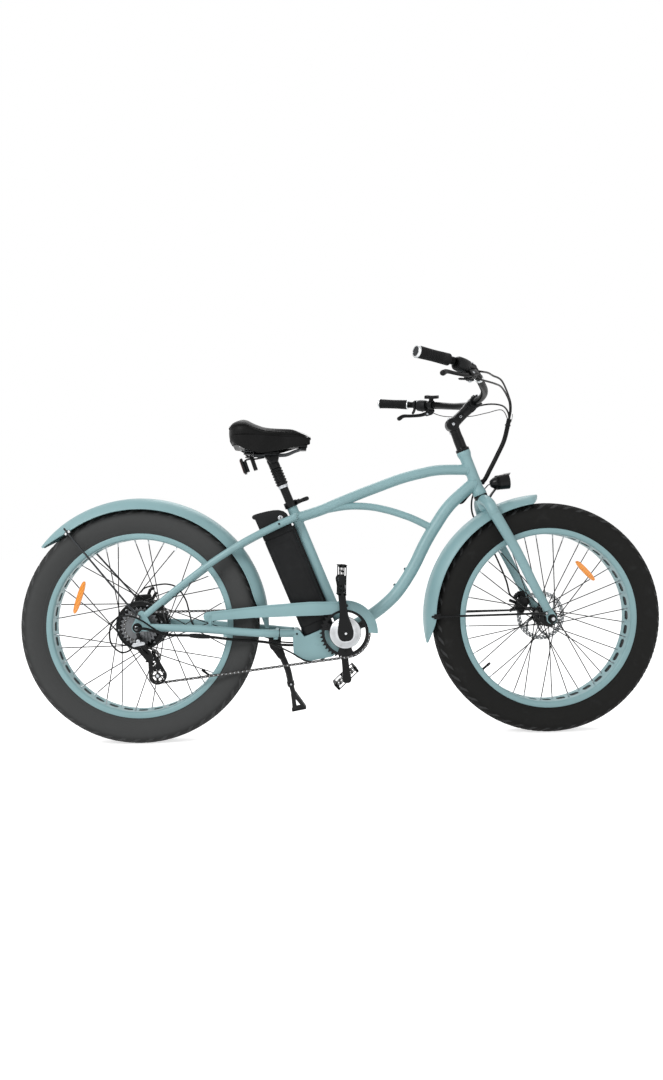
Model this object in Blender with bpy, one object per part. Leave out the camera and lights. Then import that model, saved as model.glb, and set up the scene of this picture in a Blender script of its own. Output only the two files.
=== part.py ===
"""Electric beach cruiser with fat tyres, a hub motor and a battery behind the seat tube.

Metres, +X forward, +Y to the rider's left, +Z up. The origin is on the ground, midway between the
wheel centres. The drive side, with the chain, is the rider's right, at negative Y.
"""

import math

import bmesh
import bpy
from mathutils import Matrix, Vector

GAP = 0.0003  # kept between pieces that touch
RUN = 0.0006  # clearance of what turns or slides

# Wheels
WHEELBASE = 1.290
TYRE_RADIUS = 0.3690  # to the corners of its sides, so that it stands on a flat
TYRE_SIDES = 32
TYRE_WIDTH = 0.100
RIM_RADIUS = 0.2865  # over the flanges
RIM_WIDTH = 0.080
RIM_WALL = 0.0035
RIM_CHAMFER = 0.003
RIM_BED_RADIUS = 0.268
SPOKES = 36
SPOKE_THICKNESS = 0.0026
AXLE_RADIUS = 0.006
DISC_RADIUS = 0.080
DISC_THICKNESS = 0.0020
REAR_DISC_Y = 0.0575
FRONT_DISC_Y = 0.0485
FRONT_HUB_LENGTH = 0.124  # between the fork ends
REAR_HUB_LENGTH = 0.175  # between the dropouts
MOTOR_RADIUS = 0.076
MOTOR_WIDTH = 0.088

# Frame
HEAD_ANGLE = math.radians(69.1)
HEAD_LENGTH = 0.150
HEAD_RADIUS = 0.0185
HEAD_FOOT = Vector((0.4365, 0.0, 0.765))
STEERER_RADIUS = 0.0127
SEAT_ANGLE = math.radians(68.0)
SEAT_TUBE_RADIUS = 0.0165
SEAT_TUBE_TOP = 0.444  # along the tube, from the bottom bracket
POST_RADIUS = 0.0136
TOP_TUBE_RADIUS = 0.0166
ARCH_RADIUS = 0.0115
DOWN_TUBE_RADIUS = 0.0195
BRACKET = Vector((-0.0105, 0.0, 0.336))
BRACKET_RADIUS = 0.0215
BRACKET_LENGTH = 0.100
SPINDLE_RADIUS = 0.0085
SEAT_STAY_RADIUS = 0.0115
CHAIN_STAY_RADIUS = 0.0115
DROPOUT_THICKNESS = 0.006

# Drive
CHAIN_Y = -0.062
CHAIN_PITCH = 0.0127
CHAINRING_TEETH = 38
COG_TEETH = (14, 16, 18, 20, 22, 24, 28)
COG_IN_USE = 22
COG_SPACING = 0.0054
PULLEY_TEETH = 11
TOOTH_THICKNESS = 0.0021
TOOTH_HEIGHT = 0.0080
PLATE_HEIGHT = 0.0082
CHAIN_INNER_GAP = 0.0033  # between the inner plates
PLATE_THICKNESS = 0.0011
GUIDE_PULLEY = Vector((-0.606, CHAIN_Y, 0.272))
TENSION_PULLEY = Vector((-0.590, CHAIN_Y, 0.2155))
CRANK_LENGTH = 0.170
CRANK_LEAN = math.radians(4.9)
CRANK_THICKNESS = 0.014
CRANK_INNER_Y = 0.0775
PEDAL_LENGTH = 0.092
PEDAL_WIDTH = 0.086
PEDAL_THICKNESS = 0.022

# Guards
FENDER_RADIUS = 0.397
FENDER_WIDTH = 0.122
FENDER_DEPTH = 0.034
FRONT_FENDER_DEPTH = 0.028
FENDER_WALL = 0.0022

# Battery
PACK_FRONT = 0.0225  # behind the middle of the seat tube
PACK_BACK = 0.1225
PACK_HALF = 0.038
PACK_FOOT = 0.036  # along the seat tube
PACK_HEAD = 0.384

# Steering
BAR_RADIUS = 0.0111
GRIP_RADIUS = 0.0165
GRIP_LENGTH = 0.128
BAR_CLAMP = Vector((0.421, 0.0, 1.061))

AXLE_HEIGHT = TYRE_RADIUS * math.cos(math.pi / TYRE_SIDES)
REAR_AXLE = Vector((-WHEELBASE / 2, 0.0, AXLE_HEIGHT))
FRONT_AXLE = Vector((WHEELBASE / 2, 0.0, AXLE_HEIGHT))
STEER_AXIS = Vector((-math.cos(HEAD_ANGLE), 0.0, math.sin(HEAD_ANGLE)))
SEAT_AXIS = Vector((-math.cos(SEAT_ANGLE), 0.0, math.sin(SEAT_ANGLE)))
SEAT_BACK = Vector((-math.sin(SEAT_ANGLE), 0.0, -math.cos(SEAT_ANGLE)))
HEAD_TOP = HEAD_FOOT + STEER_AXIS * HEAD_LENGTH
LEFT, RIGHT = 1, -1

PAINT = {
    "teal": ((0.36, 0.46, 0.47), 0.45, 0.0),
    "black": ((0.02, 0.02, 0.021), 0.42, 0.0),
    "rubber": ((0.035, 0.035, 0.036), 0.8, 0.0),
    "black_steel": ((0.05, 0.05, 0.052), 0.35, 0.6),
    "steel": ((0.55, 0.56, 0.57), 0.3, 1.0),
    "chain": ((0.28, 0.28, 0.29), 0.35, 1.0),
    "vinyl": ((0.04, 0.04, 0.042), 0.6, 0.0),
    "cable": ((0.02, 0.02, 0.02), 0.5, 0.0),
}


def material(name):
    """The paint or finish of this name, made once."""
    found = bpy.data.materials.get(name)
    if found:
        return found
    colour, roughness, metallic = PAINT[name]
    made = bpy.data.materials.new(name)
    made.use_nodes = True
    shader = made.node_tree.nodes["Principled BSDF"]
    shader.inputs["Base Color"].default_value = (*colour, 1.0)
    shader.inputs["Roughness"].default_value = roughness
    shader.inputs["Metallic"].default_value = metallic
    return made


def clear_scene():
    for obj in list(bpy.data.objects):
        bpy.data.objects.remove(obj, do_unlink=True)


# Making objects


def add(name, vertices, faces, paint, pivot=(0.0, 0.0, 0.0)):
    """An object from points in the world and faces, with its origin at pivot and its faces turned out."""
    pivot = Vector(pivot)
    mesh = bpy.data.meshes.new(name)
    mesh.from_pydata([Vector(v) - pivot for v in vertices], [], faces)
    work = bmesh.new()
    work.from_mesh(mesh)
    bmesh.ops.remove_doubles(work, verts=work.verts, dist=1e-6)
    bmesh.ops.recalc_face_normals(work, faces=work.faces)
    work.to_mesh(mesh)
    work.free()
    mesh.materials.append(material(paint))
    mesh.shade_smooth()
    mesh.set_sharp_from_angle(angle=math.radians(35))
    obj = bpy.data.objects.new(name, mesh)
    obj.location = pivot
    bpy.context.scene.collection.objects.link(obj)
    return obj


def helper(name, vertices, faces):
    """A cutter, or a shape that a Boolean joins: it isn't part of the model by itself."""
    obj = add(name, vertices, faces, "black")
    obj.hide_render = True
    obj.display_type = "WIRE"
    return obj


def boolean(obj, other, operation):
    step = obj.modifiers.new(other.name, "BOOLEAN")
    step.operation = operation
    step.object = other


def join(obj, shapes):
    """Welds extra closed shapes, each (vertices, faces), to an object."""
    for number, (vertices, faces) in enumerate(shapes):
        boolean(obj, helper(f"{obj.name}_joined_{number}", vertices, faces), "UNION")


def cut(obj, shapes):
    """Removes closed shapes, each (vertices, faces), from an object."""
    for number, (vertices, faces) in enumerate(shapes):
        boolean(obj, helper(f"{obj.name}_cut_{number}", vertices, faces), "DIFFERENCE")


# Shapes: each gives (vertices, faces)


def loft(rings, closed=False):
    """Skin over rings that all have the same number of points. An open one gets end caps."""
    count = len(rings[0])
    vertices = [point for ring in rings for point in ring]
    faces = []
    spans = len(rings) if closed else len(rings) - 1
    for i in range(spans):
        a, b = i * count, (i + 1) % len(rings) * count
        for j in range(count):
            k = (j + 1) % count
            faces.append((a + j, a + k, b + k, b + j))
    if not closed:
        faces.append(tuple(range(count)))
        faces.append(tuple(range(len(vertices) - count, len(vertices))))
    return vertices, faces


def ring(centre, along, radius, sides, flat=1.0, across=None, turn=0.5):
    """A circle square to along; flat squeezes it along across, +Y by default."""
    along = Vector(along).normalized()
    across = Vector(across or (0.0, 1.0, 0.0))
    across = (across - along * across.dot(along)).normalized()
    other = along.cross(across)
    points = []
    for i in range(sides):
        angle = 2 * math.pi * (i + turn) / sides
        points.append(
            Vector(centre) + across * (radius * flat * math.cos(angle)) + other * (radius * math.sin(angle))
        )
    return points


def smooth(points, steps):
    """Points of a Catmull-Rom curve through the given ones, steps to a stretch."""
    points = [Vector(p) for p in points]
    padded = [points[0] * 2 - points[1], *points, points[-1] * 2 - points[-2]]
    found = []
    for i in range(1, len(padded) - 2):
        p0, p1, p2, p3 = padded[i - 1 : i + 3]
        for n in range(steps):
            t = n / steps
            found.append(
                0.5 * (2 * p1 + (p2 - p0) * t + (2 * p0 - 5 * p1 + 4 * p2 - p3) * t**2
                       + (3 * p1 - p0 - 3 * p2 + p3) * t**3)
            )
    found.append(points[-1])
    return found


def tube(points, radius, sides, flat=1.0, across=None):
    """A tube along points. radius and flat are numbers, or functions of the share of the way along."""
    rings = []
    last = len(points) - 1
    for i, point in enumerate(points):
        along = points[min(i + 1, last)] - points[max(i - 1, 0)]
        share = i / last
        size = radius(share) if callable(radius) else radius
        squeeze = flat(share) if callable(flat) else flat
        rings.append(ring(point, along, size, sides, squeeze, across))
    return loft(rings)


def rod(start, end, radius, sides, tip=None, across=None):
    """A straight round bar, tapering to the radius tip if given."""
    start, end = Vector(start), Vector(end)
    if across is None and abs((end - start).normalized().y) > 0.9:
        across = (1.0, 0.0, 0.0)
    rings = [ring(start, end - start, radius, sides, across=across),
             ring(end, end - start, radius if tip is None else tip, sides, across=across)]
    return loft(rings)


def turned(profile, centre, axis, sides, closed=False):
    """A solid of revolution. profile holds (radius, distance along axis); closed is for a ring."""
    axis = Vector(axis).normalized()
    across = (1.0, 0.0, 0.0) if abs(axis.y) > 0.9 else (0.0, 1.0, 0.0)
    rings = [ring(Vector(centre) + axis * reach, axis, radius, sides, across=across) for radius, reach in profile]
    return loft(rings, closed)


def plate(outline, y_low, y_high):
    """A flat plate from an outline of (x, z) points, between two Y positions."""
    return loft([[Vector((x, y, z)) for x, z in outline] for y in (y_low, y_high)])


def slab(outline, origin, u, v, w_low, w_high):
    """A plate from an outline of (u, v) points in the plane of u and v, thick along their cross product."""
    u, v = Vector(u).normalized(), Vector(v).normalized()
    w = u.cross(v)
    return loft([[Vector(origin) + u * a + v * b + w * c for a, b in outline] for c in (w_low, w_high)])


def box(low, high):
    (x0, y0, z0), (x1, y1, z1) = low, high
    return plate([(x0, z0), (x1, z0), (x1, z1), (x0, z1)], y0, y1)


def arc(centre, radius, start, end, steps):
    """Points (x, z) of an arc about centre, angles in degrees from +X towards +Z."""
    cx, cz = centre
    found = []
    for i in range(steps + 1):
        angle = math.radians(start + (end - start) * i / steps)
        found.append((cx + radius * math.cos(angle), cz + radius * math.sin(angle)))
    return found


def mirrored(shape):
    """The same shape on the other side of the bike."""
    vertices, faces = shape
    return [Vector((v[0], -v[1], v[2])) for v in vertices], [tuple(reversed(f)) for f in faces]


# Routes that several pieces share


def down_tube_line():
    return smooth(
        [HEAD_FOOT + STEER_AXIS * 0.044, (0.338, 0, 0.733), (0.288, 0, 0.664), (0.254, 0, 0.608),
         (0.220, 0, 0.541), (0.188, 0, 0.489), (0.155, 0, 0.446), (0.118, 0, 0.412), (0.078, 0, 0.383),
         (0.036, 0, 0.357), BRACKET],
        1,
    )


def seat_point(along, back=0.0, y=0.0):
    """A place given along the seat tube from the bottom bracket, behind its middle and to the left."""
    return BRACKET + SEAT_AXIS * along + SEAT_BACK * back + Vector((0.0, y, 0.0))


STAY_JOIN = seat_point(0.392)
BRIDGE = (-0.3005, 0.6325)  # x and z of the rod between the seat stays
BRIDGE_RADIUS = 0.0075
STAY_SPREAD = 0.0535  # of the seat stays beside the battery, from the middle
STAY_WIDE = 0.078  # of the stays beside the tyre


def seat_stay_line(side):
    join_at = STAY_JOIN
    return smooth(
        [(join_at.x - 0.004, side * STAY_SPREAD, join_at.z - 0.001), (-0.215, side * 0.0555, 0.6745),
         (-0.290, side * 0.0720, 0.6385), (-0.345, side * STAY_WIDE, 0.6080),
         (-0.430, side * 0.0805, 0.5540), (-0.530, side * 0.0850, 0.4790), (-0.622, side * 0.0900, 0.4040)],
        1,
    )


def chain_stay_line(side):
    return smooth(
        [(HOUSING_BACK + 0.004, side * 0.0335, 0.3345), (-0.205, side * 0.0480, 0.3365),
         (-0.255, side * 0.0720, 0.3400), (-0.336, side * STAY_WIDE, 0.3470),
         (-0.458, side * 0.0830, 0.3590), (-0.545, side * 0.0875, 0.3640), (-0.612, side * 0.0900, 0.3672)],
        1,
    )


HOUSING_BACK = -0.176
HOUSING_HALF = 0.044
PORT_Y = 0.031  # of the cable ports in the housing's back
PORT_Z = 0.296


RAIL = ((0.0100, -0.0060), (0.0218, -0.0060), (0.0286, -0.0100), (0.0286, 0.0100), (0.0218, 0.0060), (0.0100, 0.0060))


def seat_section(section, along):
    """A section given as (behind the seat tube's middle, y), at a height along the seat tube."""
    return [seat_point(along, back, y) for back, y in section]


# Frame


def head_outside():
    """The head tube's outside, as (radius, distance along it): flared at both ends."""
    flare = HEAD_RADIUS + 0.0036
    return [(flare, 0.0), (flare, 0.012), (HEAD_RADIUS, 0.020), (HEAD_RADIUS, HEAD_LENGTH - 0.020),
            (flare, HEAD_LENGTH - 0.012), (flare, HEAD_LENGTH)]


def make_head_tube():
    """Flared at both ends, bored for the steerer."""
    bore = STEERER_RADIUS + 0.001
    profile = [*head_outside(), (bore, HEAD_LENGTH), (bore, 0.0)]
    vertices, faces = turned(profile, HEAD_FOOT, STEER_AXIS, 16, closed=True)
    return add("head_tube", vertices, faces, "teal")


def head_cutter():
    """The head tube's outside, longer and a gap larger, to mitre the tubes that meet it."""
    reach = 0.05
    profile = [(r + GAP * 1.05, along) for r, along in head_outside()]
    profile = [(profile[0][0], -reach), *profile[1:-1], (profile[-1][0], HEAD_LENGTH + reach)]
    return turned(profile, HEAD_FOOT, STEER_AXIS, 16)


def seat_cutter():
    wide = (SEAT_TUBE_RADIUS + GAP) / math.cos(math.pi / 18)
    return rod(seat_point(-0.0313), seat_point(SEAT_TUBE_TOP + 0.0517), wide, 18)


def bracket_cutter():
    wide = (BRACKET_RADIUS + GAP) / math.cos(math.pi / 16)
    reach = Vector((0.0, 0.09, 0.0))
    return rod(BRACKET - reach, BRACKET + reach, wide, 16)


def make_top_tube():
    """The main tube, with the thinner arch that leaves its underside and meets the down tube."""
    line = smooth(
        [seat_point(0.3885), (-0.081, 0, 0.7195), (-0.018, 0, 0.745), (0.045, 0, 0.770), (0.113, 0, 0.795),
         (0.178, 0, 0.818), (0.242, 0, 0.8345), (0.307, 0, 0.8455), HEAD_FOOT + STEER_AXIS * 0.086],
        1,
    )
    vertices, faces = tube(line, TOP_TUBE_RADIUS, 10)
    top = add("top_tube", vertices, faces, "teal")
    arch = smooth(
        [(-0.097, 0, 0.7125), (-0.050, 0, 0.7242), (0.012, 0, 0.7325), (0.078, 0, 0.7300), (0.135, 0, 0.7185),
         (0.185, 0, 0.7025), (0.224, 0, 0.6870), (0.285, 0, 0.6560)],
        1,
    )
    join(top, [tube(arch, ARCH_RADIUS, 8)])
    below = tube(down_tube_line()[:8], DOWN_TUBE_RADIUS + GAP * 2, 10)
    cut(top, [head_cutter(), seat_cutter(), below])
    return top


def make_down_tube():
    """The S-shaped tube from the head tube to the bottom bracket, with its two bottle bosses."""
    line = down_tube_line()
    vertices, faces = tube(line, DOWN_TUBE_RADIUS, 10)
    down = add("down_tube", vertices, faces, "teal")
    bosses = []
    for span, share in ((4, 0.25), (5, 0.35)):
        way = (line[span + 1] - line[span]).normalized()
        foot = line[span].lerp(line[span + 1], share)
        up = Vector((way.z, 0.0, -way.x))
        up = up if up.z > 0 else -up
        bosses.append(rod(foot, foot + up * (DOWN_TUBE_RADIUS + 0.003), 0.0045, 7))
    join(down, bosses)
    port = wire(SLEEVE[-4:], SLEEVE_RADIUS + 0.0014, 8, 1)
    cut(down, [head_cutter(), bracket_cutter(), seat_cutter(), port])
    return down


def make_seat_tube():
    """The seat tube, bored for the post, welded to the bottom bracket shell."""
    bore = POST_RADIUS + RUN + 0.0004
    depth = 0.215
    shell = turned([(BRACKET_RADIUS, -BRACKET_LENGTH / 2), (BRACKET_RADIUS, BRACKET_LENGTH / 2)],
                   BRACKET, (0, 1, 0), 16)
    seat = add("seat_tube", *shell, "teal")
    join(seat, [rod(seat_point(0.004), seat_point(SEAT_TUBE_TOP), SEAT_TUBE_RADIUS, 14)])
    hole = Vector((0.0, BRACKET_LENGTH, 0.0))
    spindle = rod(BRACKET - hole, BRACKET + hole, SPINDLE_RADIUS + 0.001, 14)
    post = rod(seat_point(SEAT_TUBE_TOP - depth), seat_point(SEAT_TUBE_TOP + 0.02), bore, 14)
    slot = SEAT_BACK * 0.012
    across = Vector((0.0, 0.0016, 0.0))
    start, end = seat_point(SEAT_TUBE_TOP - 0.022), seat_point(SEAT_TUBE_TOP + 0.01)
    slit = loft([[p - slot - across, p - slot * 2 - across, p - slot * 2 + across, p - slot + across]
                 for p in (start, end)])
    rail = [seat_section(RAIL, along) for along in (0.052, 0.372)]
    join(seat, [loft(rail)])
    cut(seat, [spindle, post, slit])
    return seat


def flatten(share):
    """The stays are squeezed flat over their last part, towards the dropouts."""
    return 0.95 - 0.42 * max(0.0, (share - 0.7) / 0.3)


def make_seat_stays():
    """Both seat stays, the bridge that carries the fender and the stubs that meet the seat tube."""
    def taper(share):
        return SEAT_STAY_RADIUS * (1.05 - 0.22 * share)

    right = tube(seat_stay_line(RIGHT), taper, 10, flat=flatten)
    stays = add("seat_stays", *right, "teal")
    shapes = [tube(seat_stay_line(LEFT), taper, 10, flat=flatten),
              rod((BRIDGE[0], -0.073, BRIDGE[1]), (BRIDGE[0], 0.073, BRIDGE[1]), BRIDGE_RADIUS, 8)]
    at = STAY_JOIN
    shapes.append(rod((at.x - 0.006, -STAY_SPREAD, at.z), (at.x - 0.006, STAY_SPREAD, at.z), 0.0090, 8))
    join(stays, shapes)
    ends = []
    for side in (LEFT, RIGHT):
        low, high = sorted((side * (REAR_HUB_LENGTH / 2 - GAP), side * (REAR_HUB_LENGTH / 2 + DROPOUT_THICKNESS + GAP)))
        ends.append(box((-0.67, low, 0.34), (-0.601, high, DROPOUT_TOP + GAP)))
    cut(stays, [seat_cutter(), merged(ends)])
    return stays


DROPOUT_TOP = REAR_AXLE.z + 0.051


def dropout(side):
    """The plate that holds the axle, with its slot open downwards."""
    cx, cz = REAR_AXLE.x, REAR_AXLE.z
    outline = [(cx + 0.040, cz + 0.011), *arc((cx + 0.013, DROPOUT_TOP - 0.011), 0.011, 30, 170, 3),
               *arc((cx, cz), 0.0165, 150, 320, 6), (cx + 0.040, cz - 0.011)]
    inner = side * REAR_HUB_LENGTH / 2
    outer = side * (REAR_HUB_LENGTH / 2 + DROPOUT_THICKNESS)
    return plate(outline, min(inner, outer), max(inner, outer))


def make_chain_stays():
    """Both chain stays with their dropouts, their bridge and the kickstand's plate."""
    def size(share):
        return CHAIN_STAY_RADIUS * (1.1 - 0.12 * share)

    stays = add("chain_stays", *tube(chain_stay_line(RIGHT), size, 10, flat=flatten), "teal")
    shapes = [tube(chain_stay_line(LEFT), size, 10, flat=flatten), dropout(RIGHT), dropout(LEFT),
              rod((-0.222, -0.058, 0.3375), (-0.222, 0.058, 0.3375), 0.0075, 8)]
    x, z = STAND_PIVOT.x, STAND_PIVOT.z
    tab = [(x + 0.024, 0.338), (x - 0.016, 0.340), (x - 0.014, z), *arc((x, z), 0.014, 200, 340, 4), (x + 0.014, z)]
    shapes.append(plate(tab, STAND_TAB_OUTER - 0.007, STAND_TAB_OUTER))
    x, z = REAR_AXLE.x, REAR_AXLE.z
    brake = [(x - 0.004, z + 0.010), (x + 0.012, z + 0.030), (x + 0.004, z + 0.088), (x - 0.022, z + 0.088), (x - 0.020, z + 0.060)]
    shapes.append(plate(brake, REAR_HUB_LENGTH / 2, REAR_HUB_LENGTH / 2 + 0.0030))
    join(stays, shapes)
    half = REAR_HUB_LENGTH / 2 + 0.02
    bore = AXLE_RADIUS + RUN
    cx, cz = REAR_AXLE.x, REAR_AXLE.z
    slot = plate([*arc((cx, cz), bore, 0, 180, 4), (cx - bore, cz - 0.03), (cx + bore, cz - 0.03)], -half, half)
    stand = rod((STAND_PIVOT.x, 0.045, STAND_PIVOT.z), (STAND_PIVOT.x, 0.07, STAND_PIVOT.z), 0.0050 + RUN, 8)
    butt = box((HOUSING_BACK - GAP, -0.06, 0.29), (HOUSING_BACK + 0.03, 0.06, 0.38))
    cut(stays, [slot, stand, butt])
    return stays


def make_controller_housing():
    """The welded box under the battery, with the ears that the chain stays butt against."""
    low, high = seat_point(PACK_FOOT - GAP, PACK_BACK), seat_point(PACK_FOOT - GAP, 0.030)
    outline = [(HOUSING_BACK, 0.3215), (HOUSING_BACK, 0.3475), (-0.166, 0.3475), (-0.149, 0.3190),
               (low.x, low.z), (high.x, high.z), (-0.020, 0.350), (-0.020, 0.293), (-0.058, 0.272),
               *arc((-0.125, 0.273), 0.0285, 290, 225, 3), (-0.163, 0.268)]
    half = HOUSING_HALF
    housing = add("controller_housing", *plate(outline, -half, half), "teal")
    ears = box((HOUSING_BACK - 0.02, -0.024, 0.322), (-0.150, 0.024, 0.36))
    ports = merged([rod((-0.200, y, PORT_Z), (-0.150, y, PORT_Z), 0.0068, 8) for y in (-PORT_Y, PORT_Y)])
    cut(housing, [bracket_cutter(), seat_cutter(), ears, ports])
    return housing


CLAMP_HALF = 0.009  # across the collar's ears
CLAMP_PIVOT = seat_point(SEAT_TUBE_TOP - 0.0095, -0.0255)
CAM_PIVOT = CLAMP_PIVOT - Vector((0.0, CLAMP_HALF + 0.0072, 0.0))


def make_seat_clamp():
    """The split collar that pinches the seat tube on the post, with its bolt ears in front."""
    low, high = SEAT_TUBE_TOP - 0.017, SEAT_TUBE_TOP + 0.0015
    inner = (SEAT_TUBE_RADIUS + GAP) / math.cos(math.pi / 14)
    outer = inner + 0.0038
    clamp = add("seat_clamp", *turned([(outer, low), (outer, high)], BRACKET, SEAT_AXIS, 14), "black_steel")
    ear = loft([[p - SEAT_BACK * 0.012 + a - SEAT_BACK * b for a, b in
                 ((Vector((0, -CLAMP_HALF, 0)), 0.0), (Vector((0, -CLAMP_HALF, 0)), 0.020),
                  (Vector((0, CLAMP_HALF, 0)), 0.020), (Vector((0, CLAMP_HALF, 0)), 0.0))]
                for p in (seat_point(low), seat_point(high - 0.003))])
    join(clamp, [ear])
    hole = rod(seat_point(low - 0.02), seat_point(high + 0.02), inner, 14)
    slit = loft([[p - SEAT_BACK * 0.008 - Vector((0, s, 0)) for s in (0.0014, -0.0014)]
                 + [p - SEAT_BACK * 0.04 - Vector((0, s, 0)) for s in (-0.0014, 0.0014)]
                 for p in (seat_point(low - 0.01), seat_point(high + 0.01))])
    cut(clamp, [hole, slit])
    nut = rod(CLAMP_PIVOT + Vector((0, CLAMP_HALF - 0.001, 0)), CLAMP_PIVOT + Vector((0, CLAMP_HALF + 0.0045, 0)), 0.0055, 6)
    skewer = rod(CAM_PIVOT, CLAMP_PIVOT, 0.0026, 8)
    pin = rod(CAM_PIVOT - SEAT_AXIS * 0.0070, CAM_PIVOT + SEAT_AXIS * 0.0070, 0.0018, 8)
    bridge = rod(CLAMP_PIVOT - Vector((0, 0.003, 0)), CLAMP_PIVOT + Vector((0, 0.003, 0)), 0.0031, 6)
    join(clamp, [skewer, pin, nut, bridge])
    return clamp


def make_clamp_lever():
    """The quick-release lever: a forked cam on the skewer's cross pin, and a handle curving forwards."""
    half = 0.0062
    cam = rod(CAM_PIVOT - SEAT_AXIS * half, CAM_PIVOT + SEAT_AXIS * half, 0.0066, 10)
    lever = add("seat_clamp_lever", *cam, "black_steel", CAM_PIVOT)
    handle = smooth([CAM_PIVOT + Vector((0.001, 0.0, 0.0)), CAM_PIVOT + Vector((0.022, -0.002, 0.009)),
                     CAM_PIVOT + Vector((0.044, 0.001, 0.018))], 2)
    join(lever, [tube(handle, 0.0055, 6, flat=0.6)])
    ahead = -SEAT_BACK
    side = Vector((0.0, 1.0, 0.0))
    fork = loft([[CAM_PIVOT + ahead * a + side * b + SEAT_AXIS * c for a, b in
                  ((-0.02, -0.02), (0.0040, -0.02), (0.0040, 0.02), (-0.02, 0.02))] for c in (-0.0034, 0.0034)])
    bore = rod(CAM_PIVOT - SEAT_AXIS * 0.02, CAM_PIVOT + SEAT_AXIS * 0.02, 0.0018 + RUN, 8)
    cut(lever, [fork, bore])
    return lever


# Wheels


def tyre_profile():
    """Section of the fat tyre, as (radius, y): a flattish crown, round shoulders and beads in the rim."""
    half = TYRE_WIDTH / 2
    bead = RIM_WIDTH / 2 - RIM_WALL - GAP
    seat = RIM_BED_RADIUS + RIM_WALL + GAP
    right = [(TYRE_RADIUS, 0.024), (TYRE_RADIUS - 0.011, 0.041), (TYRE_RADIUS - 0.038, half),
             (RIM_RADIUS + GAP * 3, bead), (seat, bead)]
    left = [(radius, -y) for radius, y in reversed(right)]
    return right + left


def make_tyre(name, axle):
    return add(name, *turned(tyre_profile(), axle, (0, 1, 0), TYRE_SIDES, closed=True), "rubber", axle)


def make_rim(name, axle):
    """A wide single-wall rim: a bed with a raised middle, and a flange on each side."""
    half = RIM_WIDTH / 2
    bed = RIM_BED_RADIUS
    outside = [(bed + RIM_CHAMFER, half), (RIM_RADIUS, half), (RIM_RADIUS, half - RIM_WALL),
               (bed + RIM_WALL, half - RIM_WALL)]
    inside = [(bed, half - RIM_CHAMFER)]
    profile = [*[(r, -y) for r, y in inside], *[(r, -y) for r, y in outside], *outside[::-1], *inside]
    return add(name, *turned(profile, axle, (0, 1, 0), TYRE_SIDES, closed=True), "teal", axle)


def spoke_shapes(axle, flange_radius, flange_y):
    """Crossed spokes: those of one flange lie on its two faces in turn and run to the rim's bed."""
    shapes = []
    rim_radius = RIM_BED_RADIUS * math.cos(math.pi / TYRE_SIDES) - GAP * 2
    for number in range(SPOKES):
        side = 1 if number % 2 else -1
        outer_face = (number // 2) % 2
        lead = math.radians(52) * (1 if outer_face else -1)
        rim_angle = 2 * math.pi * (number + 0.5) / SPOKES
        hub_angle = rim_angle + lead
        y_hub = side * (flange_y + (0.0022 if outer_face else -0.0022))
        y_rim = side * 0.014
        start = axle + Vector((flange_radius * math.cos(hub_angle), y_hub, flange_radius * math.sin(hub_angle)))
        end = axle + Vector((rim_radius * math.cos(rim_angle), y_rim, rim_radius * math.sin(rim_angle)))
        shapes.append(rod(start, end, SPOKE_THICKNESS / 2, 3))
    return shapes


def merged(shapes):
    """Several shapes as one mesh of separate parts, for one Boolean."""
    vertices, faces = [], []
    for points, sides in shapes:
        start = len(vertices)
        vertices += points
        faces += [tuple(start + i for i in side) for side in sides]
    return vertices, faces


def make_front_hub():
    """A slim hub with two flanges, laced to the rim."""
    half = FRONT_HUB_LENGTH / 2 - 0.002
    flange = 0.034
    profile = [(0.012, -half), (0.017, -half + 0.010), (0.029, -flange - 0.0035), (0.029, -flange + 0.0035),
               (0.017, -flange + 0.010), (0.017, flange - 0.010), (0.029, flange - 0.0035),
               (0.029, flange + 0.0035), (0.024, FRONT_DISC_Y - 0.0013), (0.0168, FRONT_DISC_Y - 0.0013),
               (0.0168, FRONT_DISC_Y + 0.0015), (0.012, half)]
    hub = add("front_hub", *turned(profile, FRONT_AXLE, (0, 1, 0), 12), "black_steel", FRONT_AXLE)
    join(hub, [merged(spoke_shapes(FRONT_AXLE, 0.0265, flange))])
    reach = Vector((0.0, FRONT_HUB_LENGTH, 0.0))
    cut(hub, [rod(FRONT_AXLE - reach, FRONT_AXLE + reach, AXLE_RADIUS + RUN * 2, 8)])
    return hub


def make_motor():
    """The geared hub motor: a wide drum with chamfered covers, laced to the rim."""
    half = MOTOR_WIDTH / 2
    r = MOTOR_RADIUS
    profile = [(0.021, -half - 0.0055), (0.050, -half), (r - 0.010, -half + 0.004), (r, -half + 0.013),
               (r, -0.021), (r - 0.004, -0.019), (r - 0.004, 0.019), (r, 0.021), (r, half - 0.013),
               (r - 0.010, half - 0.004), (0.050, half), (0.038, REAR_DISC_Y - 0.0013), (0.0275, REAR_DISC_Y - 0.0013), (0.0275, REAR_DISC_Y + 0.0015)]
    motor = add("rear_hub_motor", *turned(profile, REAR_AXLE, (0, 1, 0), 20), "black_steel", REAR_AXLE)
    join(motor, [merged(spoke_shapes(REAR_AXLE, MOTOR_RADIUS - 0.002, 0.025))])
    reach = Vector((0.0, REAR_HUB_LENGTH, 0.0))
    cut(motor, [rod(REAR_AXLE - reach, REAR_AXLE + reach, AXLE_RADIUS + RUN * 2, 8)])
    return motor


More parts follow.
